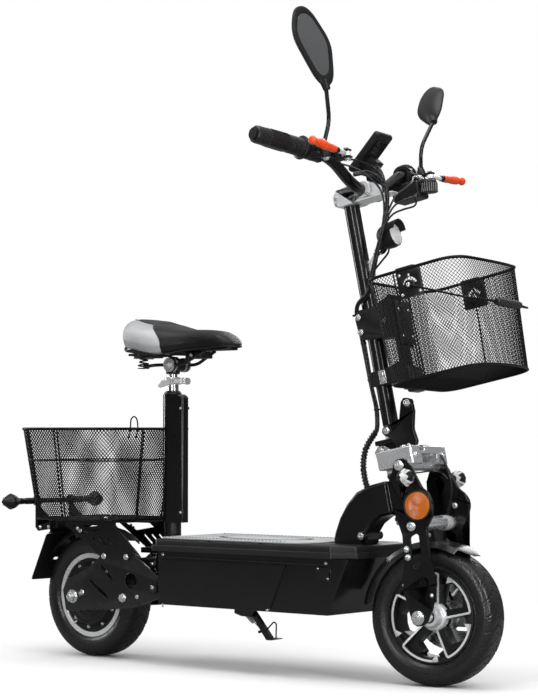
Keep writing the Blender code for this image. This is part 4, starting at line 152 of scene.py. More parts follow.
class Effects:
    """Shader node groups that more than one finish uses."""

    SOCKETS = (
        ("Colour", "Color", (0.5, 0.5, 0.5, 1.0)), ("Fleck", "Color", (0.6, 0.6, 0.6, 1.0)),
        ("Roughness", "Float", 0.5), ("Spread", "Float", 0.1), ("Scale", "Float", 200.0)
    )
    RESULTS = (("Colour", "Color"), ("Roughness", "Float"), ("Height", "Float"))

    def __init__(self) -> None:
        """Build every group once."""
        self.grain = self._grain()
        self.cells = self._cells()
        self.strokes = self._strokes()
        self.edges = self._edges()

    @staticmethod
    def _group(
        name: str, inputs: Sequence[tuple] = SOCKETS, outputs: Sequence[tuple] = RESULTS
    ) -> tuple[Tree, bpy.types.Node, bpy.types.Node]:
        """Start a shader group.

        Args:
            name: Its name.
            inputs: Name, kind and default of each input.
            outputs: Name and kind of each output.

        Returns:
            The tree, its input node and its output node.
        """
        tree = bpy.data.node_groups.new(name, "ShaderNodeTree")
        for label, kind, value in inputs:
            socket = tree.interface.new_socket(label, in_out="INPUT", socket_type=f"NodeSocket{kind}")
            socket.default_value = value
        for label, kind in outputs:
            tree.interface.new_socket(label, in_out="OUTPUT", socket_type=f"NodeSocket{kind}")
        return tree, tree.nodes.new("NodeGroupInput"), tree.nodes.new("NodeGroupOutput")

    @staticmethod
    def _tail(tree: Tree, given: bpy.types.Node, sink: bpy.types.Node, fine: Socket, height: Socket) -> Tree:
        """Mix the two colours by a mask and spread the roughness by it.

        Args:
            tree: The group's tree.
            given: Its input node.
            sink: Its output node.
            fine: The mask, from 0 to 1.
            height: What the Bump node is to read.

        Returns:
            The tree.
        """
        source = given.outputs
        mix = node(tree, "Mix", {0: fine, 6: source["Colour"], 7: source["Fleck"]}, data_type="RGBA")
        tree.links.new(mix.outputs[2], sink.inputs["Colour"])
        swing = sum_of(tree, "MULTIPLY", sum_of(tree, "SUBTRACT", fine, 0.5), source["Spread"])
        tree.links.new(sum_of(tree, "ADD", swing, source["Roughness"]), sink.inputs["Roughness"])
        tree.links.new(height, sink.inputs["Height"])
        return tree

    def _grain(self) -> Tree:
        """Return the grain of moulded plastic, paint and rubber, with a slow drift of tone."""
        tree, source, sink = self._group("grain")
        place = node(tree, "TexCoord").outputs["Object"]
        fine = node(tree, "TexNoise", {"Vector": place, "Scale": source.outputs["Scale"], "Detail": 2.0})
        slow = node(tree, "TexNoise", {"Vector": place, "Scale": 9.0, "Detail": 3.0})
        both = sum_of(tree, "ADD", fine.outputs[0], slow.outputs[0])
        mask = sum_of(tree, "MULTIPLY", both, 0.5)
        sharp = node(tree, "MapRange", {"Value": mask, "From Min": 0.36, "From Max": 0.64})
        return self._tail(tree, source, sink, sharp.outputs[0], fine.outputs[0])

    def _cells(self) -> Tree:
        """Return the rounded cells of leather and prismatic lenses."""
        tree, source, sink = self._group("cells")
        place = node(tree, "TexCoord").outputs["Object"]
        spread = {"Vector": place, "Scale": source.outputs["Scale"]}
        cell = node(tree, "TexVoronoi", spread, feature="DISTANCE_TO_EDGE")
        tone = node(tree, "TexNoise", {"Vector": place, "Scale": 14.0})
        fed = {"Value": cell.outputs["Distance"], "From Max": 0.22}
        rise = node(tree, "MapRange", fed, interpolation_type="SMOOTHSTEP").outputs[0]
        return self._tail(tree, source, sink, sum_of(tree, "MULTIPLY", rise, tone.outputs[0]), rise)

    def _strokes(self) -> Tree:
        """Return the long fine strokes of brushed and machined metal."""
        tree, source, sink = self._group("strokes")
        place = node(tree, "TexCoord").outputs["Object"]
        stretch = node(tree, "VectorMath", {0: place, 1: (0.05, 1.0, 1.0)}, operation="MULTIPLY")
        fed = {"Vector": stretch.outputs[0], "Scale": source.outputs["Scale"], "Detail": 4.0}
        noise = node(tree, "TexNoise", fed).outputs[0]
        return self._tail(tree, source, sink, noise, noise)

    def _edges(self) -> Tree:
        """Return rubbed edges: a mask where the surface bends outward, broken by noise."""
        inputs = (
            ("Colour", "Color", (0.5, 0.5, 0.5, 1.0)), ("Worn", "Color", (0.6, 0.6, 0.6, 1.0)),
            ("Amount", "Float", 0.3)
        )
        tree, given, sink = self._group("edges", inputs, (("Colour", "Color"), ("Mask", "Float")))
        source = given.outputs
        bend = node(tree, "NewGeometry").outputs["Pointiness"]
        edge = node(tree, "MapRange", {"Value": bend, "From Min": 0.52, "From Max": 0.62})
        noise = node(tree, "TexNoise", {"Vector": node(tree, "TexCoord").outputs["Object"], "Scale": 60.0})
        mask = sum_of(tree, "MULTIPLY", edge.outputs[0], noise.outputs[0])
        mask = sum_of(tree, "MULTIPLY", mask, source["Amount"])
        mix = node(tree, "Mix", {0: mask, 6: source["Colour"], 7: source["Worn"]}, data_type="RGBA")
        tree.links.new(mix.outputs[2], sink.inputs["Colour"])
        tree.links.new(mask, sink.inputs["Mask"])
        return tree


@dataclass(frozen=True)
class Finish:
    """One surface finish of the scooter, and the material that shows it."""

    name: str
    colour: tuple[float, float, float]
    roughness: float
    texture: Texture
    scale: float = 900.0
    bump: float = 0.15
    depth: float = 0.0002
    metallic: float = 0.0
    fleck: float = 1.35
    spread: float = 0.12
    worn: float = 0.0
    coat: float = 0.0
    clear: float = 0.0
    # Emission strength: a painted glow on a part that is not a lamp.
    painted_glow: float = 0.0
    gloss: float = 0.5

    def _tint(self, factor: float, base: float = 0.0) -> tuple:
        """Return the colour, lighter by a factor, with its alpha."""
        return (*(min(1.0, base + factor * c) for c in self.colour), 1.0)

    def material(self, effects: Effects) -> bpy.types.Material:
        """Return this finish's material, made on first use.

        Args:
            effects: The shared node groups.

        Returns:
            The material.
        """
        made = bpy.data.materials.get(self.name)
        if made:
            return made
        made = bpy.data.materials.new(self.name)
        made.use_nodes = True
        tree = made.node_tree
        if self.texture in (Texture.LEATHER, Texture.PRISMS):
            effect = effects.cells
        elif self.texture is Texture.BRUSHED:
            effect = effects.strokes
        else:
            effect = effects.grain
        group = node(tree, "Group", node_tree=effect)
        given = {
            "Colour": self._tint(1.0), "Fleck": self._tint(self.fleck), "Roughness": self.roughness,
            "Spread": self.spread, "Scale": self.scale
        }
        for name, value in given.items():
            group.inputs[name].default_value = value
        shown = group.outputs["Colour"]
        if self.worn > 0.0:
            edges = node(tree, "Group", node_tree=effects.edges)
            edges.inputs["Worn"].default_value = self._tint(2.0, 0.1)
            edges.inputs["Amount"].default_value = self.worn
            tree.links.new(shown, edges.inputs["Colour"])
            shown = edges.outputs["Colour"]
        fed = {"Height": group.outputs["Height"], "Strength": self.bump, "Distance": self.depth}
        bump = node(tree, "Bump", fed)
        shader = tree.nodes["Principled BSDF"]
        tree.links.new(shown, shader.inputs["Base Color"])
        tree.links.new(group.outputs["Roughness"], shader.inputs["Roughness"])
        tree.links.new(bump.outputs["Normal"], shader.inputs["Normal"])
        given = {
            "Metallic": self.metallic, "Specular IOR Level": self.gloss, "Coat Weight": self.coat,
            "Coat Roughness": 0.04, "Transmission Weight": self.clear
        }
        for name, value in given.items():
            shader.inputs[name].default_value = value
        # Painted glow: the finish's colour is given as emission, though the part is not a lamp.
        if self.painted_glow > 0.0:
            tree.links.new(shown, shader.inputs["Emission Color"])
            shader.inputs["Emission Strength"].default_value = self.painted_glow
        return made


PAINT = Finish(
    "black_gloss_paint", (0.0028, 0.0028, 0.0031), 0.17, Texture.PAINT, 700.0, 0.08, worn=0.25, gloss=0.46
)
SATIN = Finish(
    "black_satin_coat", (0.0055, 0.0055, 0.006), 0.34, Texture.PAINT, 1100.0, 0.25, worn=0.25, gloss=0.36
)
WIRE = Finish("black_coated_wire", (0.0035, 0.0035, 0.0038), 0.38, Texture.PAINT, 900.0, 0.2, gloss=0.16)
ALLOY = Finish(
    "polished_alloy", (0.93, 0.94, 0.95), 0.26, Texture.BRUSHED, 260.0, 0.1, 0.0001, 0.5, 1.05, 0.1
)
CAST = Finish("cast_alloy", (0.55, 0.56, 0.58), 0.38, Texture.PAINT, 800.0, 0.35, 0.0002, 1.0, 1.15, 0.15)
BRIGHT_CAST = Finish(
    "bright_cast", (0.82, 0.83, 0.84), 0.42, Texture.PAINT, 700.0, 0.3, 0.0002, 0.55, 1.1, 0.12
)
ZINC = Finish("zinc_plate", (0.7, 0.71, 0.72), 0.24, Texture.PLATED, 500.0, 0.2, 0.0001, 0.85, 1.15, 0.18)
CHROME = Finish("chrome_plate", (0.6, 0.61, 0.63), 0.13, Texture.PLATED, 60.0, 0.0, 0.0001, 1.0, 1.05, 0.04)
PLASTIC = Finish(
    "moulded_black", (0.0065, 0.0065, 0.007), 0.4, Texture.MOULDED, 1600.0, 0.25, 0.0002, gloss=0.28
)
GLOSSY = Finish("gloss_black", (0.0035, 0.0035, 0.004), 0.11, Texture.MOULDED, 120.0, 0.03, gloss=0.45)
COVER = Finish("footboard_black", (0.01, 0.01, 0.0105), 0.4, Texture.MOULDED, 700.0, 0.6, 0.0005, gloss=0.32)
RUBBER = Finish(
    "grip_rubber", (0.007, 0.007, 0.0075), 0.34, Texture.RUBBER, 500.0, 0.3, 0.0003, spread=0.2, gloss=0.45
)
TYRE = Finish(
    "tyre_rubber", (0.0075, 0.0075, 0.008), 0.32, Texture.RUBBER, 380.0, 0.2, 0.0003, spread=0.25, gloss=0.48
)
HOSE = Finish("cable_black", (0.005, 0.005, 0.0055), 0.25, Texture.RUBBER, 300.0, 0.12, gloss=0.45)
LEATHER = Finish(
    "saddle_black", (0.0045, 0.0045, 0.005), 0.33, Texture.LEATHER, 620.0, 0.45, 0.0003, fleck=1.5, gloss=0.24
)
SILVER_LEATHER = Finish(
    "saddle_silver", (0.42, 0.43, 0.44), 0.4, Texture.LEATHER, 620.0, 0.45, 0.0004, 0.35, 1.25, 0.15
)
MAT = Finish("mat_grey", (0.42, 0.43, 0.44), 0.55, Texture.MOULDED, 900.0, 0.6, 0.0004, fleck=1.25)
MAT_DARK = Finish("mat_dark", (0.015, 0.015, 0.016), 0.5, Texture.MOULDED, 900.0, 0.6, 0.0004)
ORANGE = Finish("orange_sleeve", (0.8, 0.07, 0.008), 0.3, Texture.MOULDED, 240.0, 0.1, fleck=1.12)
# The orange reflector gets a faint painted glow; it is a reflector, not a lamp.
REFLECTOR = Finish(
    "orange_reflector", (0.72, 0.165, 0.002), 0.16, Texture.PRISMS, 700.0, 1.0, 0.001, coat=0.1, painted_glow=0.05
)
LENS = Finish("clear_lens", (0.9, 0.91, 0.92), 0.12, Texture.PRISMS, 420.0, 0.9, 0.001, clear=0.15, fleck=1.1)
BRIGHT = Finish("bright_bowl", (0.85, 0.86, 0.88), 0.05, Texture.PRISMS, 150.0, 0.9, 0.0015, 1.0, 1.05, 0.05)
GLASS = Finish("mirror_glass", (0.2, 0.205, 0.21), 0.1, Texture.PLATED, 20.0, 0.02, 0.0001, 0.85, 1.05, 0.05)
SCREEN = Finish("dark_screen", (0.01, 0.011, 0.013), 0.07, Texture.PLATED, 30.0, 0.02, gloss=0.5)
DISC = Finish("ground_steel", (0.45, 0.455, 0.46), 0.28, Texture.BRUSHED, 500.0, 0.25, 0.0001, 1.0, 1.2, 0.2)
LABEL = Finish("grey_plate", (0.23, 0.235, 0.24), 0.38, Texture.BRUSHED, 300.0, 0.2, fleck=1.2)
SMOKE = Finish("smoked_lens", (0.012, 0.009, 0.008), 0.12, Texture.PRISMS, 420.0, 0.5, 0.0006, gloss=0.5)
ALLOY_CAST = Finish(
    "polished_cast", (0.78, 0.79, 0.81), 0.24, Texture.PAINT, 700.0, 0.2, 0.0002, 0.8, 1.1, 0.14
)
FENDER = Finish(
    "mudguard_black", (0.006, 0.006, 0.0065), 0.26, Texture.MOULDED, 1400.0, 0.22, 0.0002, gloss=0.45
)
BULB = Finish("warm_lamp", (0.9, 0.86, 0.7), 0.2, Texture.PLATED, 60.0, 0.02)


# Modelling


def turned(degrees: float, axis: str) -> Matrix:
    """Return a rotation matrix about one axis.

    Args:
        degrees: The angle.
        axis: X, Y or Z.

    Returns:
        The 4x4 matrix.
    """
    return Matrix.Rotation(radians(degrees), 4, axis)


def moved(spot: Point) -> Matrix:
    """Return a placement at a spot."""
    return Matrix.Translation(spot)


def aimed(start: Point, end: Point) -> Matrix:
    """Return a placement whose origin is one point and whose Z looks at another.

    Args:
        start: The origin.
        end: The point that Z looks at.

    Returns:
        The 4x4 matrix.
    """
    aim = (Vector(end) - Vector(start)).to_track_quat("Z", "Y").to_matrix().to_4x4()
    return moved(start) @ aim


def polar(radius: float, angle: float) -> tuple[float, float]:
    """Return the point of a circle at an angle in radians."""
    return radius * cos(angle), radius * sin(angle)


def squared(way: Optional[Vector], aim: Vector) -> Vector:
    """Return a unit vector square to an aim, close to a former one if there is one."""
    way = way or aim.orthogonal().normalized()
    return (way - way.dot(aim) * aim).normalized()


def eased(
    before: Vector, here: Vector, after: Vector, radius: float, least: float, steps: int
) -> list[Vector]:
    """Return the points of one rounded corner.

    Args:
        before: The corner before it.
        here: The corner.
        after: The corner after it.
        radius: How far from the corner its round begins.
        least: The largest share of a side that the round takes.
        steps: Steps in the round.

    Returns:
        The points.
    """
    back, on = before - here, after - here
    first = here + back.normalized() * min(radius, back.length * least)
    last = here + on.normalized() * min(radius, on.length * least)
    shares = [step / steps for step in range(steps + 1)]
    return [first * (1.0 - t) ** 2 + here * 2.0 * t * (1.0 - t) + last * t * t for t in shares]


def flowing(points: Sequence[Point], count: int) -> list[Vector]:
    """Return a smooth path through given points.

    Args:
        points: The points.
        count: How many points to read along the path.

    Returns:
        The path.
    """
    knots = [Vector(p) for p in points]
    knots = [2.0 * knots[0] - knots[1]] + knots + [2.0 * knots[-1] - knots[-2]]
    spans = len(knots) - 3
    path = []
    for i in range(count):
        t = spans * i / (count - 1)
        k = min(int(t), spans - 1)
        t -= k
        a, b, c, d = knots[k:k + 4]
        path.append(
            0.5
            * (
                2.0 * b + (c - a) * t + (2.0 * a - 5.0 * b + 4.0 * c - d) * t * t
                + (3.0 * b - a - 3.0 * c + d) * t ** 3
            )
        )
    return path


def bent(points: Sequence[Point], radius: float, steps: int = 6) -> list[Vector]:
    """Return a path of straight runs with rounded bends.

    Args:
        points: The corners.
        radius: How far before and after a corner its bend begins.
        steps: Points in each bend.

    Returns:
        The path.
    """
    corners = [Vector(p) for p in points]
    path = [corners[0]]
    for before, here, after in zip(corners, corners[1:], corners[2:]):
        path += eased(before, here, after, radius, 0.5, steps)
    return path + [corners[-1]]


def arc(centre: Point, radius: float, first: float, last: float, steps: int) -> list[tuple]:
    """Return the points of a flat arc.

    Args:
        centre: Its centre.
        radius: Its radius.
        first: Its first angle in degrees.
        last: Its last angle in degrees.
        steps: The number of steps.

    Returns:
        The points.
    """
    angles = [radians(first + (last - first) * i / steps) for i in range(steps + 1)]
    return [(centre[0] + radius * cos(a), centre[1] + radius * sin(a)) for a in angles]


def rounded(points: Sequence[Point], radius: float, steps: int = 4) -> list[tuple]:
    """Return a closed outline with rounded corners.

    Args:
        points: The corners.
        radius: How far from a corner its round begins.
        steps: Steps in each round.

    Returns:
        The outline.
    """
    corners = [Vector(p) for p in points]
    outline = []
    for before, here, after in zip(corners[-1:] + corners, corners, corners[1:] + corners[:1]):
        outline += eased(before, here, after, radius, 0.45, steps)
    return [(p.x, p.y) for p in outline]


def even(loop: Sequence[Point], count: int) -> list[tuple[float, float]]:
    """Return a closed outline read at even distances.

    Args:
        loop: The outline's corners.
        count: How many points to return.

    Returns:
        The points.
    """
    ring = [*loop, loop[0]]
    lengths = [0.0]
    for a, b in zip(ring, ring[1:]):
        lengths.append(lengths[-1] + dist(a, b))
    found = []
    k = 0
    for i in range(count):
        target = lengths[-1] * i / count
        while lengths[k + 1] <= target:
            k += 1
        t = (target - lengths[k]) / (lengths[k + 1] - lengths[k])
        found.append(tuple(a * (1.0 - t) + b * t for a, b in zip(ring[k], ring[k + 1])))
    return found


class Shape:
    """A mesh under construction, painted with numbered finishes.

    A solid goes to the shape's placement, unless it is given one of its own.
    """

    def __init__(self, place: Matrix = Matrix()) -> None:
        """Start empty, with the first finish on the brush.

        Args:
            place: Where its solids go.
        """
        self.mesh = bmesh.new()
        self.place = place
        self.brush = 0

    def paint(self, brush: int) -> "Shape":
        """Choose which of the piece's finishes the next solids take, and return the shape."""
        self.brush = brush
        return self

    def _take(self, solid: bmesh.types.BMesh, place: Optional[Matrix]) -> None:
        """Add a solid with the brush's finish.

        Args:
            solid: The solid, which is freed.
            place: Its own placement, if it has one.
        """
        for face in solid.faces:
            face.material_index = self.brush
        solid.transform(place or self.place)
        self.keep(solid)

    def keep(self, solid: bmesh.types.BMesh) -> None:
        """Join a solid to the mesh with the finishes that it has, and free it.

        Args:
            solid: The solid.
        """
        for face in solid.faces:
            face.smooth = True
        mesh = bpy.data.meshes.new("taken")
        solid.to_mesh(mesh)
        solid.free()
        self.mesh.from_mesh(mesh)
        bpy.data.meshes.remove(mesh)

    def block(
        self, low: Point, high: Point, edge: float = 0.0, steps: int = 3, place: Optional[Matrix] = None
    ) -> None:
        """Add a box with rounded edges.

        Args:
            low: Its lowest corner.
            high: Its highest corner.
            edge: How far the edges are rounded.
            steps: Steps in each round.
            place: Its own placement, if it has one.
        """
        low, high = Vector(low), Vector(high)
        solid = bmesh.new()
        bmesh.ops.create_cube(solid, size=1.0)
        bmesh.ops.scale(solid, vec=high - low, verts=solid.verts)
        bmesh.ops.translate(solid, vec=(high + low) / 2.0, verts=solid.verts)
        if edge > 0.0:
            bmesh.ops.bevel(
                solid, geom=list(solid.edges), offset=edge, segments=steps, profile=0.5, affect="EDGES",
                offset_type="OFFSET"
            )
        self._take(solid, place)

    def lathe(self, profile: Sequence[Point], steps: int = 48, place: Optional[Matrix] = None) -> None:
        """Add a turned solid about its placement's Z.

        Args:
            profile: Radius and height of each point.
            steps: Steps round the turn.
            place: Its own placement, if it has one.
        """
        solid = bmesh.new()
        rings = []
        for radius, height in profile:
            spots = [(0.0, 0.0)] if radius < 1e-7 else [
                polar(radius, FULL_TURN * i / steps) for i in range(steps)
            ]
            rings.append([solid.verts.new((*spot, height)) for spot in spots])
        for a, b in zip(rings, rings[1:]):
            for i in range(steps):
                j = (i + 1) % steps
                corners = dict.fromkeys((a[i % len(a)], a[j % len(a)], b[j % len(b)], b[i % len(b)]))
                if len(corners) > 2:
                    solid.faces.new(list(corners))
        bmesh.ops.recalc_face_normals(solid, faces=solid.faces)
        self._take(solid, place)

    def rod(
        self, start: Point, end: Point, radius: float, edge: float = 0.0, end_radius: Optional[float] = None,
        steps: int = 32, place: Optional[Matrix] = None
    ) -> None:
        """Add a round bar between two points, with its ends eased.

        Args:
            start: One end.
            end: The other end.
            radius: Its radius at the start.
            edge: How far its ends are eased.
            end_radius: Its radius at the end, if it tapers.
            steps: Steps round it.
            place: Its own placement, if it has one.
        """
        length = (Vector(end) - Vector(start)).length
        last = radius if end_radius is None else end_radius
        ease = max(edge, min(radius, last, length) * 0.08)
        profile = [
            (0.0, 0.0), (radius - ease, 0.0), (radius, ease), (last, length - ease), (last - ease, length),
            (0.0, length)
        ]
        self.lathe(profile, steps, (place or self.place) @ aimed(start, end))

    def plate(
        self, outline: Sequence[Point], thickness: float, place: Optional[Matrix] = None,
        holes: Sequence[Sequence[Point]] = (), edge: float = 0.0004
    ) -> None:
        """Add a flat plate with holes and eased edges, centred on its placement's XY plane.

        Args:
            outline: Its closed outline.
            thickness: Its thickness.
            place: Its own placement, if it has one.
            holes: The outlines of its holes.
            edge: How far its edges are eased.
        """
        flat = bpy.data.curves.new("outline", "CURVE")
        flat.dimensions = "2D"
        flat.fill_mode = "BOTH"
        ease = min(edge, thickness * 0.4)
        flat.extrude = thickness / 2.0 - ease
        flat.bevel_depth = ease
        flat.bevel_resolution = 1
        flat.offset = -ease
        for loop in (outline, *holes):
            spline = flat.splines.new("POLY")
            spline.points.add(len(loop) - 1)
            for point, spot in zip(spline.points, loop):
                point.co = (spot[0], spot[1], 0.0, 1.0)
            spline.use_cyclic_u = True
        obj = bpy.data.objects.new("outline", flat)
        bpy.context.scene.collection.objects.link(obj)
        graph = bpy.context.evaluated_depsgraph_get()
        made = bpy.data.meshes.new_from_object(obj.evaluated_get(graph))
        bpy.data.objects.remove(obj, do_unlink=True)
        bpy.data.curves.remove(flat)
        solid = bmesh.new()
        solid.from_mesh(made)
        bpy.data.meshes.remove(made)
        self.weld(solid)
        self._take(solid, place)

    @staticmethod
    def weld(solid: bmesh.types.BMesh) -> None:
        """Join what touches and turn every face outward."""
        bmesh.ops.remove_doubles(solid, verts=solid.verts, dist=WELD)
        bmesh.ops.recalc_face_normals(solid, faces=solid.faces)

    def tube(
        self, path: Sequence[Point], radius: float, sides: int = 12, ring: bool = False,
        swell: Optional[Callable[[float], float]] = None, flat: float = 1.0, place: Optional[Matrix] = None
    ) -> None:
        """Add a round tube along a path.

        Args:
            path: Its centre line.
            radius: Its radius.
            sides: Sides of its section.
            ring: Whether the path closes on itself.
            swell: A factor on the radius for a share of the length.
            flat: A factor on the section's second width.
            place: Its own placement, if it has one.
        """
        points = [Vector(p) for p in path]
        count = len(points)
        solid = bmesh.new()
        rings = []
        side_way: Optional[Vector] = None
        for i, point in enumerate(points):
            before = points[i - 1] if ring or i else point
            after = points[(i + 1) % count] if ring or i < count - 1 else point
            aim = (after - before).normalized()
            side_way = squared(side_way, aim)
            other = aim.cross(side_way)
            width = radius * (swell(i / (count - 1)) if swell else 1.0)
            turns = [polar(1.0, FULL_TURN * k / sides) for k in range(sides)]
            rings.append(
                [solid.verts.new(point + width * (c * side_way + flat * s * other)) for c, s in turns]
            )
        pairs = list(zip(rings, rings[1:]))
        if ring:
            pairs.append((rings[-1], rings[0]))
        for a, b in pairs:
            shift = 0
            if ring and b is rings[0]:
                shift = min(range(sides), key=lambda s: (b[s].co - a[0].co).length)
            for k in range(sides):
                n = (k + 1) % sides
                solid.faces.new((a[k], a[n], b[(n + shift) % sides], b[(k + shift) % sides]))
        if not ring:
            solid.faces.new(list(reversed(rings[0])))
            solid.faces.new(rings[-1])
        bmesh.ops.recalc_face_normals(solid, faces=solid.faces)
        self._take(solid, place)

    def loft(
        self, rings: Sequence[Sequence[Point]], caps: bool = True, closed: bool = True,
        place: Optional[Matrix] = None
    ) -> None:
        """Add a skin through rings of as many points each.

        Args:
            rings: The rings.
            caps: Whether the first and last ring are filled.
            closed: Whether each ring closes on itself.
            place: Its own placement, if it has one.
        """
        solid = bmesh.new()
        made = [[solid.verts.new(p) for p in ring] for ring in rings]
        count = len(made[0])
        for a, b in zip(made, made[1:]):
            for k in range(count if closed else count - 1):
                n = (k + 1) % count
                solid.faces.new((a[k], a[n], b[n], b[k]))
        if caps and closed:
            solid.faces.new(list(reversed(made[0])))
            solid.faces.new(made[-1])
        self.weld(solid)
        self._take(solid, place)

    def bolt(
        self, centre: Point, aim: Point, radius: float, kind: Head = Head.SOCKET,
        height: Optional[float] = None, place: Optional[Matrix] = None
    ) -> None:
        """Add a fastener's head on its washer.

        Args:
            centre: The middle of its seat.
            aim: The way it looks.
            radius: The radius of its head.
            kind: The kind of head.
            height: How far it stands off its seat.
            place: Its own placement, if it has one.
        """
        tall = height or 0.75 * radius
        spot = (place or self.place) @ aimed(centre, Vector(centre) + Vector(aim))

        def turn(steps: int, *profile: Point) -> None:
            """Turn a solid about the fastener's axis."""
            self.lathe(profile, steps, spot)

        foot = 0.12 * tall
        turn(
            28, (0.0, 0.0), (1.28 * radius, 0.0), (1.3 * radius, 0.6 * foot), (1.26 * radius, foot),
            (0.0, foot)
        )
        socket = 0.5 * radius
        if kind is Head.DOME:
            rise = [polar(1.0, radians(a)) for a in range(0, 76, 15)]
            dome = [(radius * c, foot + (tall - foot) * s) for c, s in rise]
            turn(
                28, (0.0, foot), *dome, (0.4 * radius, 0.8 * tall), (0.36 * radius, 0.45 * tall),
                (0.0, 0.45 * tall)
            )
        elif kind is Head.SOCKET:
            turn(
                28, (0.0, foot), (radius, foot), (radius, 0.86 * tall), (0.9 * radius, tall),
                (1.1 * socket, tall)
            )
            turn(
                6, (1.1 * socket, tall), (0.95 * socket, 0.94 * tall), (0.9 * socket, 0.45 * tall),
                (0.0, 0.45 * tall)
            )
        else:
            six = 1.08 * radius
            turn(6, (0.0, foot), (six, foot), (six, 0.8 * tall), (0.88 * six, 0.9 * tall), (0.0, 0.9 * tall))
            turn(
                24, (0.0, 0.8 * tall), (0.72 * radius, 0.9 * tall), (0.7 * radius, tall),
                (0.52 * radius, tall), (0.5 * radius, 0.86 * tall), (0.0, 0.86 * tall)
            )
            if kind is Head.NYLOC:
                turn(
                    20, (0.0, tall), (0.46 * radius, tall), (0.44 * radius, 1.25 * tall),
                    (0.36 * radius, 1.32 * tall), (0.0, 1.32 * tall)
                )

    def copy(self, name: str, ease: float) -> None:
        """Add a frame solid with its flat faces made whole and its hard edges eased.

        Args:
            name: The frame's node.
            ease: How far the edges are eased.
        """
        solid = bmesh.new()
        solid.from_mesh(frame["nodes"][name].data)
        bmesh.ops.remove_doubles(solid, verts=solid.verts, dist=WELD)
        bmesh.ops.dissolve_limit(
            solid, angle_limit=radians(0.6), verts=solid.verts, edges=solid.edges, delimit=set()
        )
        bmesh.ops.recalc_face_normals(solid, faces=solid.faces)
        hard = [
            e for e in solid.edges if len(e.link_faces) == 2 and e.calc_length() > 3.0 * ease
            and abs(e.calc_face_angle(0.0)) > radians(34.0)
        ]
        bmesh.ops.bevel(
            solid, geom=hard, offset=ease, segments=2, profile=0.5, affect="EDGES", offset_type="OFFSET",
            clamp_overlap=False
        )
        self._take(solid, Matrix())

    def object(
        self, name: str, body: str, finishes: Sequence[Finish], slot: str, replaces: Sequence[str] = (),
        sharp: float = 34.0, weighted: bool = True
    ) -> bpy.types.Object:
        """Turn the shape into a piece that rides on a body.

        Args:
            name: The piece's name.
            body: The body that it rides on, or nothing if it rides on none.
            finishes: Its finishes, in the brush's order.
            slot: The record's material slot; not used.
            replaces: The frame's nodes that it stands for.
            sharp: The least angle between faces that stays a hard edge, in degrees.
            weighted: Whether large faces keep their flat shading.

        Returns:
            The piece.
        """
        mesh = bpy.data.meshes.new(name)
        self.mesh.to_mesh(mesh)
        self.mesh.free()
        for finish in finishes:
            mesh.materials.append(finish.material(EFFECTS))
        mesh.set_sharp_from_angle(angle=radians(sharp))
        piece = bpy.data.objects.new(name, mesh)
        bpy.context.scene.collection.objects.link(piece)
        if weighted:
            piece.modifiers.new("flat_faces", "WEIGHTED_NORMAL").keep_sharp = True
        if body:
            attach(piece, body)
        if replaces:
            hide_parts(*replaces)
        log.info("piece %s on %s: %d faces", name, body or "two bodies", len(mesh.polygons))
        return piece


EFFECTS = Effects()


# Places


def steering_axes() -> Matrix:
    """Return the steering's placement, read from the frame's joints."""
    joints = {j["name"]: j for j in frame["joints"]}
    up = Vector(joints["steering"]["axis"]).normalized()
    left = Vector(joints["front_wheel_spin"]["axis"]).normalized()
    forward = left.cross(up).normalized()
    turn = Matrix((forward, left, up)).transposed().to_4x4()
    return moved(joints["steering"]["pos_m"]) @ turn


STEER = steering_axes()
MIDDLE = moved((-0.0101, -0.02, 0.0))
SIDES = ((-1.0, "right"), (1.0, "left"))
AHEAD, LEFT, RIGHT = (1.0, 0.0, 0.0), (0.0, 1.0, 0.0), (0.0, -1.0, 0.0)
UP, DOWN = (0.0, 0.0, 1.0), (0.0, 0.0, -1.0)


def side(y: float, place: Matrix = Matrix()) -> Matrix:
    """Return a placement that stands a flat outline up in the plane of one y."""
    return place @ moved((0.0, y, 0.0)) @ turned(90.0, "X")


def across(centre: Point, place: Matrix = Matrix()) -> Matrix:
    """Return a placement that turns a lathe's axis to +Y at a centre."""
    return place @ moved(centre) @ turned(-90.0, "X")


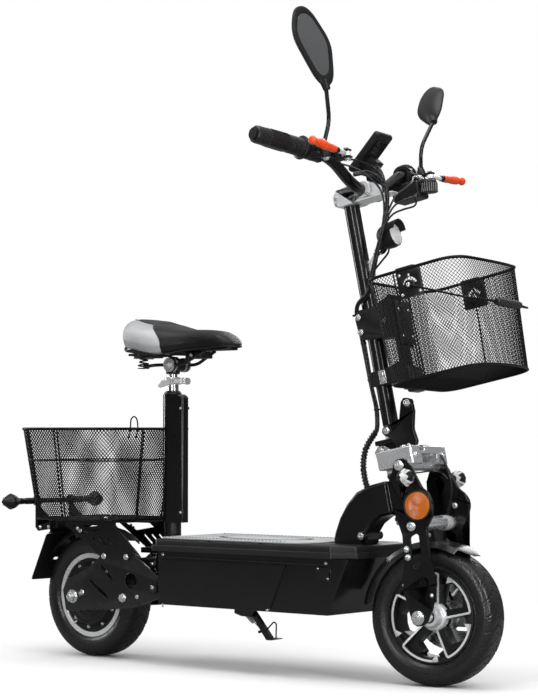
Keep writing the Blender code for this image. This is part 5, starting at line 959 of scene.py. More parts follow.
@dataclass
class Studio:
    """Camera, lamps, world and floor."""

    eye: tuple[float, float, float] = (2.7912, -3.3429, 0.4731)
    tilt: float = 92.08
    heading: float = 39.7
    lens: float = 112.6
    floor_half: float = 60.0

    def build(self) -> None:
        """Set up everything that isn't the scooter."""
        self._camera()
        self._world()
        self._lamps()
        self._floor()

    def _camera(self) -> None:
        """Put the camera where the photograph was taken from."""
        scene = bpy.context.scene
        camera = bpy.data.cameras.new("camera")
        camera.lens = self.lens
        camera.clip_end = 200.0
        spot = bpy.data.objects.new("camera", camera)
        spot.location = self.eye
        spot.rotation_euler = (radians(self.tilt), 0.0, radians(self.heading))
        scene.collection.objects.link(spot)
        scene.camera = spot
        scene.view_settings.view_transform = "Standard"

    @staticmethod
    def _seen(tree: Tree) -> Socket:
        """Return 1 for rays from the eye and through glass.

        Args:
            tree: The tree to add it to.

        Returns:
            The output socket.
        """
        ray = node(tree, "LightPath").outputs
        either = {0: ray["Is Camera Ray"], 1: ray["Is Transmission Ray"]}
        return node(tree, "Math", either, operation="ADD", use_clamp=True).outputs[0]

    def _world(self) -> None:
        """Make a white surround that gives a soft, even fill."""
        world = bpy.data.worlds.new("studio")
        bpy.context.scene.world = world
        world.use_nodes = True
        tree = world.node_tree
        tree.nodes.clear()
        height = node(tree, "SeparateXYZ", {0: node(tree, "TexCoord").outputs["Generated"]}).outputs["Z"]
        span = {"Value": height, "From Min": -0.05, "From Max": 0.95, "To Min": 0.06, "To Max": 0.7}
        rise = node(tree, "MapRange", span)
        fill = node(tree, "Background", {"Color": WHITE, "Strength": rise.outputs[0]})
        white = node(tree, "Background", {"Color": WHITE})
        mix = node(tree, "MixShader", {0: self._seen(tree), 1: fill.outputs[0], 2: white.outputs[0]})
        node(tree, "OutputWorld", {"Surface": mix.outputs[0]})

    @staticmethod
    def _lamps() -> None:
        """Hang soft boxes above, in front and behind."""
        boxes = (
            ("top_box", (0.2, -0.3, 2.6), 1.8, 1.8, 34.0), ("front_strip", (2.2, -0.6, 1.3), 0.26, 1.9, 24.0),
            ("near_strip", (0.9, -2.6, 1.2), 0.2, 1.9, 22.0),
            ("rear_strip", (-2.7, -0.5, 1.2), 0.3, 1.7, 24.0), ("back_box", (-1.0, 2.6, 1.6), 0.9, 1.6, 18.0),
            ("low_strip", (2.2, -2.2, 0.35), 1.5, 0.18, 6.0)
        )
        for name, spot, size, tall, power in boxes:
            lamp = bpy.data.lights.new(name, "AREA")
            lamp.shape = "RECTANGLE"
            lamp.size = size
            lamp.size_y = tall
            lamp.energy = power
            box = bpy.data.objects.new(name, lamp)
            box.location = spot
            box.rotation_euler = (Vector((0.0, 0.0, 0.5)) - Vector(spot)).to_track_quat("-Z", "Y").to_euler()
            bpy.context.scene.collection.objects.link(box)

    def _floor(self) -> None:
        """Lay a pale floor that fades to white away from the scooter."""
        mesh = bpy.data.meshes.new("floor")
        half = self.floor_half
        corners = [(-half, -half, 0.0), (half, -half, 0.0), (half, half, 0.0), (-half, half, 0.0)]
        mesh.from_pydata(corners, [], [(0, 1, 2, 3)])
        floor = bpy.data.objects.new("floor", mesh)
        bpy.context.scene.collection.objects.link(floor)
        pale = bpy.data.materials.new("pale_floor")
        pale.use_nodes = True
        tree = pale.node_tree
        seen = self._seen(tree)
        tone = node(tree, "MapRange", {"Value": seen, "To Min": 0.3, "To Max": 0.88})
        shader = tree.nodes["Principled BSDF"]
        tree.links.new(tone.outputs[0], shader.inputs["Base Color"])
        shader.inputs["Roughness"].default_value = 0.9
        shader.inputs["Specular IOR Level"].default_value = 0.0
        reach = node(tree, "VectorMath", {0: node(tree, "TexCoord").outputs["Object"]}, operation="LENGTH")
        fade = node(tree, "MapRange", {"Value": reach.outputs["Value"], "From Min": 0.6, "From Max": 1.9})
        amount = sum_of(tree, "MULTIPLY", fade.outputs[0], seen)
        white = node(tree, "Emission").outputs[0]
        mix = node(tree, "MixShader", {0: amount, 1: shader.outputs[0], 2: white})
        tree.links.new(mix.outputs[0], tree.nodes["Material Output"].inputs["Surface"])
        mesh.materials.append(pale)


def dress(
    name: str, finish: Finish, ease: float, slot: str, place: Matrix = Matrix(),
    add: Optional[Callable[[Shape], None]] = None, more: Sequence[Finish] = ()
) -> None:
    """Stand a piece with eased edges in for a frame solid that is shown as it is.

    Args:
        name: The frame's node.
        finish: Its finish.
        ease: How far its edges are eased.
        slot: The record's material slot.
        place: Where the solids that are added go.
        add: What else to model on it, if anything.
        more: The finishes of what is added.
    """
    shape = Shape(place)
    shape.copy(name, ease)
    if add:
        add(shape.paint(1))
    shape.object(f"{name}_shell", frame["nodes"][name]["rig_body"], (finish, *more), slot, (name,))


# Baskets


@dataclass
class Basket:
    """A basket of close diamond net, with its rim, rings and ribs."""

    node: str
    body: str
    centre: tuple[float, float]
    width: float
    depth: float
    low: float
    high: float
    taper: float
    place: Matrix
    columns: int
    rows: int
    ribs: tuple[float, ...]
    rings: tuple[float, ...]
    bow: float = 0.0
    dip: float = 0.0
    corner: float = 0.04
    wire: float = 0.0008
    rib: float = 0.0015
    rim: float = 0.003

    def spot(self, x: float, y: float, share: float) -> Vector:
        """Return a point of the basket's wall, bowed outward in front.

        Args:
            x: Forward, as a share of the half depth.
            y: Left, as a share of the half width.
            share: The share of the height.

        Returns:
            The point.
        """
        scale = self.taper + (1.0 - self.taper) * share
        front = max(0.0, x) * max(0.0, 1.0 - y * y)
        return Vector(
            (
                self.centre[0] + x * self.depth * scale / 2.0 + self.bow * front,
                self.centre[1] + y * self.width * scale / 2.0,
                self.low + (self.high - self.low) * share - self.dip * share * front
            )
        )

    def ring(self, share: float, count: int) -> list[Vector]:
        """Return the ring at a share of the height, read at even distances.

        Args:
            share: The share of the height.
            count: How many points to read.

        Returns:
            The points.
        """
        half_x, half_y = self.depth / 2.0, self.width / 2.0
        corners = [(-half_x, -half_y), (half_x, -half_y), (half_x, half_y), (-half_x, half_y)]
        return [
            self.spot(x / half_x, y / half_y, share) for x, y in even(rounded(corners, self.corner, 8), count)
        ]

    def net(self, shape: Shape) -> None:
        """Weave the wall and the floor.

        Args:
            shape: What it is added to.
        """
        levels = [self.ring(row / self.rows, self.columns) for row in range(self.rows + 1)]
        for j in range(self.rows):
            strand = [levels[j + (i + j) % 2][i] for i in range(self.columns)]
            shape.tube(strand, self.wire, 3, True)
        half_x, half_y = 31, 32
        for j in range(-half_y, half_y):
            run: list[Vector] = []
            for i in range(-half_x, half_x + 1):
                x = i / half_x
                y = (j + (i + j) % 2) / half_y
                if abs(x) < 0.985 and abs(y) < 0.985 and abs(x) + abs(y) < 1.8:
                    run.append(self.spot(x, y, 0.0))
            if len(run) > 2:
                shape.tube(run, self.wire, 3)

    def frame(self, shape: Shape) -> None:
        """Bend the rim, the rings and the ribs.

        Args:
            shape: What it is added to.
        """
        shape.tube(self.ring(1.0, 160), self.rim, 12, True)
        for share in self.rings:
            shape.tube(self.ring(share, 120), self.rib, 8, True)
        shape.tube(self.ring(0.0, 120), self.rib * 1.5, 8, True)
        for along in self.ribs:
            up = []
            for step in range(13):
                ring = self.ring(step / 12.0, 200)
                up.append(ring[int(along * 200) % 200])
            shape.tube(up, self.rib, 8)

    def build(self, add: Optional[Callable[[Shape], None]] = None, more: Sequence[Finish] = ()) -> None:
        """Model the basket as one piece.

        Args:
            add: What else is fixed to it, if anything.
            more: The finishes of what is added.
        """
        shape = Shape(self.place)
        self.net(shape)
        self.frame(shape)
        if add:
            add(shape)
        shape.object(
            f"{self.node}_wirework", self.body, (WIRE, *more), "coated_wire", (self.node,), weighted=False
        )


@dataclass
class Baskets:
    """Both baskets and the front one's handle and fixings."""

    hinge: tuple[float, float] = (0.159, 0.284)
    wall: float = 0.131
    back: float = 0.0572

    def rear(self) -> None:
        """Model the rear basket, with stiffening rods under its floor."""
        basket = Basket(
            "rear_basket", "swing", (-0.392, -0.012), 0.262, 0.262, 0.2885, 0.4745, 0.82, MIDDLE, 260, 45,
            (0.056, 0.064, 0.139, 0.147, 0.381, 0.389, 0.479, 0.487), (0.65,), wire=0.0011
        )

        def fixings(shape: Shape) -> None:
            """Add the floor's rods, the loop at the rim and the feet.

            Args:
                shape: What it is added to.
            """
            for y in (-0.64, -0.21, 0.21, 0.64):
                shape.tube([basket.spot(-0.97, y, 0.0), basket.spot(0.97, y, 0.0)], 0.0014, 8)
            loop = [
                (0.1215, -0.011, 0.455), (0.1265, -0.011, 0.4745), (0.1265, -0.009, 0.493),
                (0.1265, 0.0, 0.4995), (0.1265, 0.009, 0.493), (0.1265, 0.011, 0.4745), (0.1215, 0.011, 0.455)
            ]
            shape.tube(flowing([(-0.392 + x, -0.06 + y, z) for x, y, z in loop], 25), 0.0015, 8)
            shape.paint(1)
            feet = [(x, y) for x in (-0.455, -0.335) for y in (-0.07, 0.07)]
            for x, y in feet:
                shape.lathe(
                    [(0.0, 0.2915), (0.014, 0.2915), (0.0145, 0.289), (0.0, 0.289)], 28,
                    MIDDLE @ moved((x, y, 0.0))
                )
            shape.paint(2)
            for x, y in feet:
                shape.bolt((x, y, 0.2914), UP, 0.0042, Head.DOME, 0.003)

        basket.build(fixings, (PLASTIC, ZINC))

    def front(self) -> None:
        """Model the front basket with its hinge plates and mount plates."""
        basket = Basket(
            "front_basket", "stem", (0.1604, 0.0), 0.262, 0.194, 0.1165, 0.315, 0.92, STEER, 256, 54,
            (0.845, 0.862, 0.879, 0.896, 0.105, 0.645), (), 0.018, 0.006
        )

        def fixings(shape: Shape) -> None:
            """Add what is fixed to it.

            Args:
                shape: What it is added to.
            """
            shape.paint(1)
            hinge_u, hinge_w = self.hinge
            band = arc((hinge_u, hinge_w), 0.015, 14.0, 166.0, 14)
            inner = arc((hinge_u, hinge_w), 0.0098, 166.0, 14.0, 14)
            half = len(band) // 2
            tab = ((0.0022, 0.015), (0.0022, 0.0215), (-0.0022, 0.0215), (-0.0022, 0.015))
            leaf = ((-0.025, -0.022), (0.025, -0.022), (0.025, 0.03), (0.012, 0.036), (-0.025, 0.036))
            tab, leaf = ([(hinge_u + u, hinge_w + w) for u, w in points] for points in (tab, leaf))
            window = band[:half] + tab + band[half + 1:] + inner
            outline = rounded(leaf, 0.003, 3)

            for flank, _ in SIDES:
                shape.plate(outline, 0.0032, side(flank * (self.wall - 0.0002), STEER), (window,))
                shape.rod(
                    (hinge_u, flank * (self.wall - 0.003), hinge_w),
                    (hinge_u, flank * (self.wall + 0.0035), hinge_w), 0.0092, 0.0008
                )
            back = self.back
            shape.block((back, -0.03, 0.2), (back + 0.004, 0.03, 0.29), 0.001)
            shape.block((back + 0.0085, -0.028, 0.204), (back + 0.0125, 0.028, 0.286), 0.0012)
            shape.block((back, -0.017, 0.205), (back + 0.012, 0.017, 0.285), 0.0015)
            shape.block((back, -0.02, 0.112), (back + 0.019, 0.02, 0.15), 0.0035)
            shape.block((back + 0.004, -0.028, 0.122), (back + 0.0165, 0.028, 0.16), 0.0035)
            shape.paint(2)
            for flank, _ in SIDES:
                aim = (0.0, flank, 0.0)
                for u, w in ((-0.0185, -0.015), (0.0185, -0.015), (-0.0185, 0.0215)):
                    shape.bolt(
                        (hinge_u + u, flank * (self.wall + 0.0012), hinge_w + w), aim, 0.0024, Head.DOME,
                        0.0018
                    )
                shape.bolt(
                    (hinge_u, flank * (self.wall - 0.0028), hinge_w), (0.0, -flank, 0.0), 0.0036, Head.HEX,
                    0.003
                )
            for v in (-0.019, 0.019):
                for w in (0.219, 0.27):
                    shape.bolt((back + 0.0122, v, w), AHEAD, 0.003, Head.DOME, 0.002)

        basket.build(fixings, (SATIN, ZINC))

    def handle(self) -> None:
        """Model the front basket's wire handle and its grip."""
        hinge_u, hinge_w = self.hinge
        wall = self.wall + 0.0078
        far_u, far_w = hinge_u + 0.124, hinge_w - 0.055
        shape = Shape(STEER)
        shape.tube(bent([
            (hinge_u, -wall, hinge_w), (far_u - 0.02, -wall, far_w + 0.006), (far_u, -0.055, far_w),
            (far_u, 0.055, far_w), (far_u - 0.02, wall, far_w + 0.006), (hinge_u, wall, hinge_w)
        ], 0.03, 8), 0.002)
        for flank, _ in SIDES:
            shape.rod(
                (hinge_u, flank * (wall - 0.0019), hinge_w), (hinge_u, flank * (wall + 0.001), hinge_w),
                0.0085, 0.0006
            )
        shape.paint(1)
        profile = [(0.0, -0.048), (0.005, -0.048), (0.0068, -0.0465)]
        for i in range(22):
            z = -0.045 + i * 0.0042
            profile += [(0.0072, z), (0.0072, z + 0.0024), (0.0066, z + 0.003), (0.0066, z + 0.0038)]
        profile += [(0.0068, 0.0475), (0.005, 0.048), (0.0, 0.048)]
        shape.lathe(profile, 28, across((far_u, 0.0, far_w), STEER))
        shape.paint(2)
        for flank, _ in SIDES:
            shape.bolt(
                (hinge_u, flank * (wall + 0.0009), hinge_w), (0.0, flank, 0.0), 0.0036, Head.DOME, 0.0016
            )
        shape.object("basket_handle_wire", "handle", (WIRE, RUBBER, ZINC), "zinc_steel", ("basket_handle",))

    def build(self) -> None:
        """Model both baskets and the handle."""
        self.rear()
        self.front()
        self.handle()


# Wheels


HOOK_TURN = 53.0


@dataclass
class Tyre:
    """A scooter tyre with swept shoulder grooves and rows of slanted sipes."""

    node: str
    body: str
    place: Matrix
    steps: int = 560
    grooves: int = 26
    depth: float = 0.0021

    SECTION = (
        (0.025, 0.0878), (0.0262, 0.0888), (0.0288, 0.0915), (0.0312, 0.095), (0.0326, 0.099),
        (0.0334, 0.104), (0.0336, 0.1085), (0.033, 0.1135), (0.0312, 0.1185), (0.0275, 0.1228),
        (0.022, 0.1256), (0.015, 0.1269), (0.0075, 0.1274), (0.0, 0.1275)
    )

    def groove(self, angle: float, y: float) -> float:
        """Return the share of the full groove depth at a point of the tread.

        Args:
            angle: The angle round the axle in radians.
            y: The distance from the middle plane.

        Returns:
            A share from 0 to 1.
        """
        pitch = FULL_TURN / self.grooves
        flank = 1.0 if y >= 0.0 else -1.0
        reach = abs(y)
        turn = angle + (0.5 * pitch if flank > 0.0 else 0.0)
        cut = 0.0
        if 0.0045 < reach < 0.0322:
            sweep = 0.3 * (reach / 0.032) ** 0.55
            off = (turn + sweep) % pitch - 0.5 * pitch
            cut = max(cut, 1.0 - abs(off) * 0.1275 / (0.0012 + 0.0008 * reach / 0.03))
        if 0.0085 < reach < 0.02:
            lean = 0.1 * (reach - 0.0085) / 0.0115
            off = (turn + 0.62 * pitch + lean) % pitch - 0.5 * pitch
            cut = max(cut, 1.0 - abs(off) * 0.1275 / 0.0019)
        if 0.0215 < reach < 0.03:
            lean = 0.05 * (reach - 0.0215) / 0.0085
            off = (turn + 0.2 * pitch + lean) % pitch - 0.5 * pitch
            cut = max(cut, 0.8 - abs(off) * 0.1275 / 0.0019)
        if reach < 0.006:
            off = (angle + 3.5 * y) % (pitch / 2.0) - 0.25 * pitch
            cut = max(cut, 0.8 - abs(off) * 0.1275 / 0.0012)
        return min(1.0, 1.8 * max(0.0, cut))

    def build(self) -> None:
        """Model the tyre."""
        half = flowing([(y, r, 0.0) for y, r in self.SECTION], 34)
        section = [(p.x, p.y) for p in half] + [(-p.x, p.y) for p in reversed(half[:-1])]
        rings = []
        for step in range(self.steps):
            angle = FULL_TURN * step / self.steps
            ring = []
            for y, radius in section:
                rise = 0.0004 if abs(radius - 0.1025) < 0.0009 or abs(radius - 0.0935) < 0.0007 else 0.0
                sink = self.depth * self.groove(angle, y) if radius > 0.114 else 0.0
                r = radius - sink
                ring.append(Vector((r * cos(angle), y + copysign(rise, y), r * sin(angle))))
            rings.append(ring)
        rings.append([p.copy() for p in rings[0]])
        shape = Shape(self.place)
        shape.loft(rings, False, False)
        shape.object(f"{self.node}_tread", self.body, (TYRE,), "tyre", (self.node,), 60.0, False)


@dataclass
class Wheels:
    """Both wheels with the brake disc."""

    front: Matrix = field(default_factory=lambda: STEER @ moved((0.0254, 0.0, -0.3051)))
    rear: Matrix = field(default_factory=lambda: MIDDLE @ moved((-0.42, 0.0, 0.1275)))

    @staticmethod
    def _hook(start: float) -> list[Vector]:
        """Return the middle line of one machined line.

        Args:
            start: The angle of its radial run in degrees.

        Returns:
            The flat points.
        """
        aim = radians(start)
        out = Vector((cos(aim), sin(aim)))
        beside = Vector((-out.y, out.x)) * -0.0062
        corners = [out * 0.025 + beside, out * 0.0802 + beside]
        path = [Vector((p.x, p.y, 0.0)) for p in corners]
        for x, y in arc((0.0, 0.0), 0.0806, start - 0.8, start + HOOK_TURN, 14):
            path.append(Vector((x, y, 0.0)))
        corner = bent(path[:3], 0.004, 3)[:-1]
        radial = [corner[0].lerp(corner[1], t / 6.0) for t in range(6)]
        return radial + corner[1:] + path[2:]

    @staticmethod
    def _height(radius: float) -> float:
        """Return how far the machined line stands from the middle plane at a radius."""
        t = min(1.0, max(0.0, (radius - 0.027) / 0.047))
        return 0.0165 + (0.0264 - 0.0165) * t

    def _machined(self, shape: Shape) -> None:
        """Cut the bright lines of the front wheel and face its hub.

        Args:
            shape: What it is added to.
        """
        for flank, _ in SIDES:
            for spoke in range(5):
                line = self._hook(72.0 * spoke)
                rings = []
                dark = []
                for i, here in enumerate(line):
                    before = line[max(0, i - 1)]
                    after = line[min(len(line) - 1, i + 1)]
                    aim = (after - before).normalized()
                    beside = Vector((-aim.y, aim.x, 0.0)) * 0.002
                    tall = self._height(here.length)
                    ring = []
                    for offset, deep in ((beside, 0.0), (-beside, 0.0), (-beside, 0.0016), (beside, 0.0016)):
                        spot = here + offset
                        ring.append(Vector((spot.x, flank * (tall - deep), spot.y)))
                    rings.append(ring)
                    if here.length < 0.0775:
                        dark.append([
                            Vector((p.x, flank * y, p.y)) for p,
                            y in (
                                (here + beside, tall - 0.0008), (here - beside, tall - 0.0008),
                                (here - beside * 1.6, 0.008), (here + beside * 1.6, 0.008)
                            )
                        ])
                shape.paint(1).loft(rings)
                shape.paint(0).loft(dark)
                last = radians(72.0 * spoke + HOOK_TURN)
                spread = radians(9.0)
                barb = [
                    (0.0826, last), (0.0786, last), (0.069, last - 0.02), (0.0786, last - spread),
                    (0.0826, last - spread)
                ]
                outline = [polar(r, a) for r, a in barb]
                shape.paint(1).plate(outline, 0.0016, side(flank * 0.0256, self.front))
            turn = self.front @ turned(-90.0 * flank, "X")
            shape.lathe([
                (0.0118, 0.0346), (0.0165, 0.0346), (0.018, 0.0338), (0.019, 0.0215), (0.0215, 0.019),
                (0.0232, 0.0188), (0.0236, 0.0178), (0.0262, 0.016), (0.0268, 0.012), (0.0268, 0.006)
            ], 56, turn)
        valve = self.front @ turned(-38.0, "Y")
        shape.rod((0.06, -0.006, 0.0), (0.0755, -0.004, 0.0), 0.0026, 0.0003, place=valve)
        shape.rod((0.052, -0.007, 0.0), (0.061, -0.0058, 0.0), 0.0034, 0.0005, place=valve)

    def _motor(self, shape: Shape) -> None:
        """Face the rear rim, and bolt and rib the motor's covers.

        Args:
            shape: What it is added to.
        """
        for flank, _ in SIDES:
            turn = self.rear @ turned(-90.0 * flank, "X")
            shape.paint(1).lathe([
                (0.0775, 0.0215), (0.0772, 0.0258), (0.078, 0.0266), (0.0868, 0.0262), (0.0874, 0.0252)
            ], 96, turn)
            shape.paint(0).lathe(
                [(0.056, 0.0318), (0.0565, 0.033), (0.06, 0.0322), (0.0605, 0.0305)], 72, turn
            )
            shape.lathe([(0.04, 0.035), (0.0405, 0.0362), (0.043, 0.036), (0.0436, 0.0342)], 64, turn)
            shape.paint(2)
            for i in range(10):
                a = radians(36.0 * i + 12.0)
                shape.bolt((*polar(0.0665, a), 0.0248), UP, 0.003, height=0.0026, place=turn)
        valve = self.rear @ turned(-232.0, "Y")
        shape.paint(1).rod((0.072, -0.0215, 0.0), (0.0795, -0.029, 0.0), 0.0022, 0.0003, place=valve)

    def build(self) -> None:
        """Model tyres, rims, hub motor and disc."""
        Tyre("front_tyre", "front_wheel_body", self.front).build()
        Tyre("rear_tyre", "rear_wheel", self.rear).build()
        dress("front_wheel", SATIN, 0.0008, "black_satin", self.front, self._machined, (ALLOY,))
        dress("rear_hub_motor", SATIN, 0.0008, "black_satin", self.rear, self._motor, (ALLOY, ZINC))
        dress("front_brake_disc", DISC, 0.0003, "zinc_steel")


# Seat


@dataclass
class Saddle:
    """The moulded saddle with its two-tone skin, its pan, rails and springs."""

    rear_x: float = -0.306
    length: float = 0.268
    half_width: float = 0.098
    pan_z: float = 0.634
    seat_x: float = -0.213
    belt: float = 0.34
    skirt: int = 5
    rows: int = 84
    seam_row: int = 38
    arch: int = 48
    pipe_at: int = 18

    def half(self, t: float) -> float:
        """Return the half width at a share of the length from the rear.

        Args:
            t: The share of the length from the rear.

        Returns:
            The half width.
        """
        rear = sin(min(1.0, t / 0.2) * pi / 2.0) ** 0.62
        taper = 1.0 - 0.66 / (1.0 + exp(-(t - 0.52) / 0.085))
        nose = sqrt(max(0.0, 1.0 - max(0.0, (t - 0.88) / 0.12) ** 2))
        return self.half_width * rear * taper * nose

    @staticmethod
    def crown(t: float) -> float:
        """Return the height of the ridge above the pan at a share of the length.

        Args:
            t: The share of the length from the rear.

        Returns:
            The height.
        """
        dip = 0.03 * sin(min(t / 0.62, 1.0) * pi / 2.0) ** 1.6
        hump = 0.004 * sin(pi * min(max((t - 0.5) / 0.4, 0.0), 1.0))
        rear = 0.016 * max(0.0, 1.0 - t / 0.1) ** 2
        return 0.064 + 0.008 * exp(
            -(t / 0.22) ** 2
        ) - dip + hump - rear - 0.024 * max(0.0, (t - 0.84) / 0.16) ** 2

    @staticmethod
    def hem(t: float) -> float:
        """Return how far the lower edge hangs below the pan, or stands above it."""
        wing = 0.0125 * exp(-((t - 0.42) / 0.17) ** 2)
        return wing - 0.013 * max(0.0, 1.0 - t / 0.16) - 0.004 * max(0.0, (t - 0.75) / 0.25)

    def share(self, row: int, height: float) -> float:
        """Return a row's share of the length, leaned so that one row is the front seam.

        Args:
            row: The section's number from the rear.
            height: The share of the height, from 0 to 1.

        Returns:
            The share of the length.
        """
        a = 0.5 - 0.5 * cos(pi * row / self.rows)
        seam = 0.5 - 0.5 * cos(pi * self.seam_row / self.rows)
        near = exp(-((a - seam) / 0.17) ** 2) * sin(pi * a)
        return a + near * (0.045 - 0.19 * max(0.0, height) ** 2.2)

    def ring(self, row: int) -> list[Vector]:
        """Return one cross-section, from the right hem over the ridge to the left hem.

        Args:
            row: The section's number from the rear.

        Returns:
            The points.
        """
        points = []
        for k in range(-self.skirt, self.arch + self.skirt + 1):
            theta = pi * min(1.0, max(0.0, k / self.arch))
            lift = sin(theta)
            below = max(0, -k, k - self.arch) / self.skirt
            t = self.share(row, lift)
            half = self.half(t)
            floor = self.pan_z + 0.002 - self.hem(t) * (1.0 - 0.6 * lift)
            crown = self.crown(t) + self.hem(t)
            height = crown * (self.belt + (1.0 - self.belt) * lift ** 0.8) * (1.0 - below ** 1.3)
            swing = copysign(abs(cos(theta)) ** 0.72, cos(theta))
            tuck = 1.0 - 0.1 * below ** 1.5
            points.append(Vector((self.rear_x + self.length * t, -half * swing * tuck, floor + height)))
        return points

    def cushion(self) -> None:
        """Model the padding's skin with its panels, piping and hem."""
        rings = [self.ring(row) for row in range(self.rows + 1)]
        solid = bmesh.new()
        made = [[solid.verts.new(p) for p in ring] for ring in rings]
        count = len(made[0])
        first, last = self.skirt + self.pipe_at, self.skirt + self.arch - self.pipe_at
        for row in range(self.rows):
            for k in range(count - 1):
                face = solid.faces.new(
                    (made[row][k], made[row + 1][k], made[row + 1][k + 1], made[row][k + 1])
                )
                bright = row < self.seam_row and not first <= k < last
                face.material_index = 1 if bright else 0
            under = solid.faces.new(
                (made[row][0], made[row][count - 1], made[row + 1][count - 1], made[row + 1][0])
            )
            under.material_index = 2
        Shape.weld(solid)
        shape = Shape(MIDDLE)
        solid.transform(MIDDLE)
        shape.keep(solid)
        shape.paint(2)
        over = [rings[row][first] for row in range(2, self.seam_row + 1)]
        over += [rings[self.seam_row][k] for k in range(first - 1, -1, -1)]
        other = [rings[row][last] for row in range(2, self.seam_row + 1)]
        other += [rings[self.seam_row][k] for k in range(last + 1, count)]
        for line in (over, other):
            shape.tube([p + Vector((0.0, 0.0, 0.0002)) for p in line], 0.0012, 8)
        top = [rings[self.seam_row][k] for k in range(first, last + 1)]
        shape.tube(top, 0.0008, 8)
        hem = [ring[0] for ring in rings[1:-1]] + [ring[-1] for ring in reversed(rings[1:-1])]
        shape.tube(hem, 0.0017, 8, True)
        rear = [ring[-1] for ring in reversed(rings[1:self.seam_row - 4])]
        rear += [ring[0] for ring in rings[1:self.seam_row - 4]]
        shape.tube([p - Vector((0.0, 0.0, 0.0022)) for p in rear], 0.003, 10)
        skin = shape.object(
            "saddle_skin", "seat", (LEATHER, SILVER_LEATHER, PLASTIC), "saddle_leather", ("saddle_cushion",),
            70.0, False
        )
        finer = skin.modifiers.new("rounder", "SUBSURF")
        finer.levels = 1
        finer.render_levels = 1

    def carriage(self) -> None:
        """Model the pan, the clamp with its teeth, the rails, the springs and the rear bracket."""
        x0, z0 = self.seat_x, self.pan_z
        head = z0 - 0.029
        plan = []
        for i in range(25):
            t = 0.03 + 0.93 * i / 24
            plan.append((self.rear_x + self.length * t, -max(0.004, self.half(t) - 0.013)))
        outline = plan + [(x, -y) for x, y in reversed(plan)]
        shape = Shape(MIDDLE)
        shape.plate(outline, 0.004, MIDDLE @ moved((0.0, 0.0, z0)), (), 0.001)
        for x in (-0.235, -0.2, -0.165):
            reach = self.half((x - self.rear_x) / self.length) - 0.022
            shape.block((x - 0.003, -reach, z0 - 0.006), (x + 0.003, reach, z0), 0.001)
        shape.paint(1)
        shape.lathe([
            (0.0, z0 - 0.0145), (0.012, z0 - 0.0145), (0.0142, z0 - 0.0165), (0.0145, z0 - 0.044),
            (0.0135, z0 - 0.0475), (0.0102, z0 - 0.048), (0.0098, z0 - 0.03)
        ], 48, MIDDLE @ moved((x0, 0.0, 0.0)))
        spring_x = self.rear_x + 0.052
        foot = z0 - 0.036
        for flank, _ in SIDES:
            y = 0.044 * flank
            rail = bent([
                (spring_x, y, foot + 0.003), (x0 - 0.03, 0.022 * flank, head),
                (x0 + 0.046, 0.022 * flank, head), (x0 + 0.1, 0.016 * flank, z0 - 0.003)
            ], 0.014, 8)
            shape.tube(rail, 0.0034, 16)
            turns, steps = 4.0, 18
            coil = []
            for i in range(int(turns * steps) + 1):
                a = FULL_TURN * i / steps
                rise = i / (turns * steps)
                reach = 0.0098 + 0.0016 * cos(pi * 2.0 * rise)
                coil.append((spring_x + reach * cos(a), y + reach * sin(a), foot + 0.0015 + 0.0285 * rise))
            shape.tube(coil, 0.0016, 8)
            shape.block(
                (spring_x - 0.01, y - 0.007, foot - 0.0012), (spring_x + 0.01, y + 0.007, foot + 0.001),
                0.0008
            )
        shape.block((self.rear_x + 0.012, -0.03, z0 - 0.0135), (self.rear_x + 0.04, 0.03, z0 - 0.0025), 0.002)
        shape.block(
            (self.rear_x + 0.016, -0.052, z0 - 0.0105), (self.rear_x + 0.044, 0.052, z0 - 0.0055), 0.0015
        )
        for x in (x0 + 0.05, x0 + 0.074):
            shape.block(
                (x, -0.019, z0 - 0.0175), (x + 0.018, 0.019, z0 - 0.004), 0.0018, 3,
                MIDDLE @ moved((0.0, 0.0, 0.0))
            )
        shape.paint(2)
        shape.block(
            (self.rear_x + 0.009, -0.029, z0 - 0.0155), (self.rear_x + 0.0135, 0.029, z0 - 0.0015), 0.0008
        )
        teeth = []
        for i in range(56):
            reach = 0.0145 if i % 2 else 0.0133
            a = FULL_TURN * i / 56
            teeth.append(polar(reach, a))
        for y in (-0.0255, -0.015, 0.015, 0.0255):
            shape.plate(teeth, 0.0042, MIDDLE @ moved((x0 + 0.012, y, head)) @ turned(90.0, "X"))
        shape.paint(1)
        for y in (-0.0202, 0.0202):
            shape.rod((x0 + 0.012, y - 0.003, head), (x0 + 0.012, y + 0.003, head), 0.0148, 0.001)
        shape.block((x0 - 0.002, -0.013, head - 0.012), (x0 + 0.024, 0.013, head + 0.012), 0.003)
        shape.paint(2)
        for flank, _ in SIDES:
            shape.bolt((x0 + 0.012, flank * 0.0278, head), (0.0, flank, 0.0), 0.0062, Head.NYLOC, 0.0048)
            shape.bolt((x0 + 0.0665, flank * 0.019, z0 - 0.0105), (0.0, flank, 0.0), 0.003, Head.HEX, 0.003)
        shape.object("saddle_carriage", "seat", (PLASTIC, SATIN, ZINC), "black_satin", ("saddle_frame",))

    def build(self) -> None:
        """Model the whole saddle."""
        self.cushion()
        self.carriage()


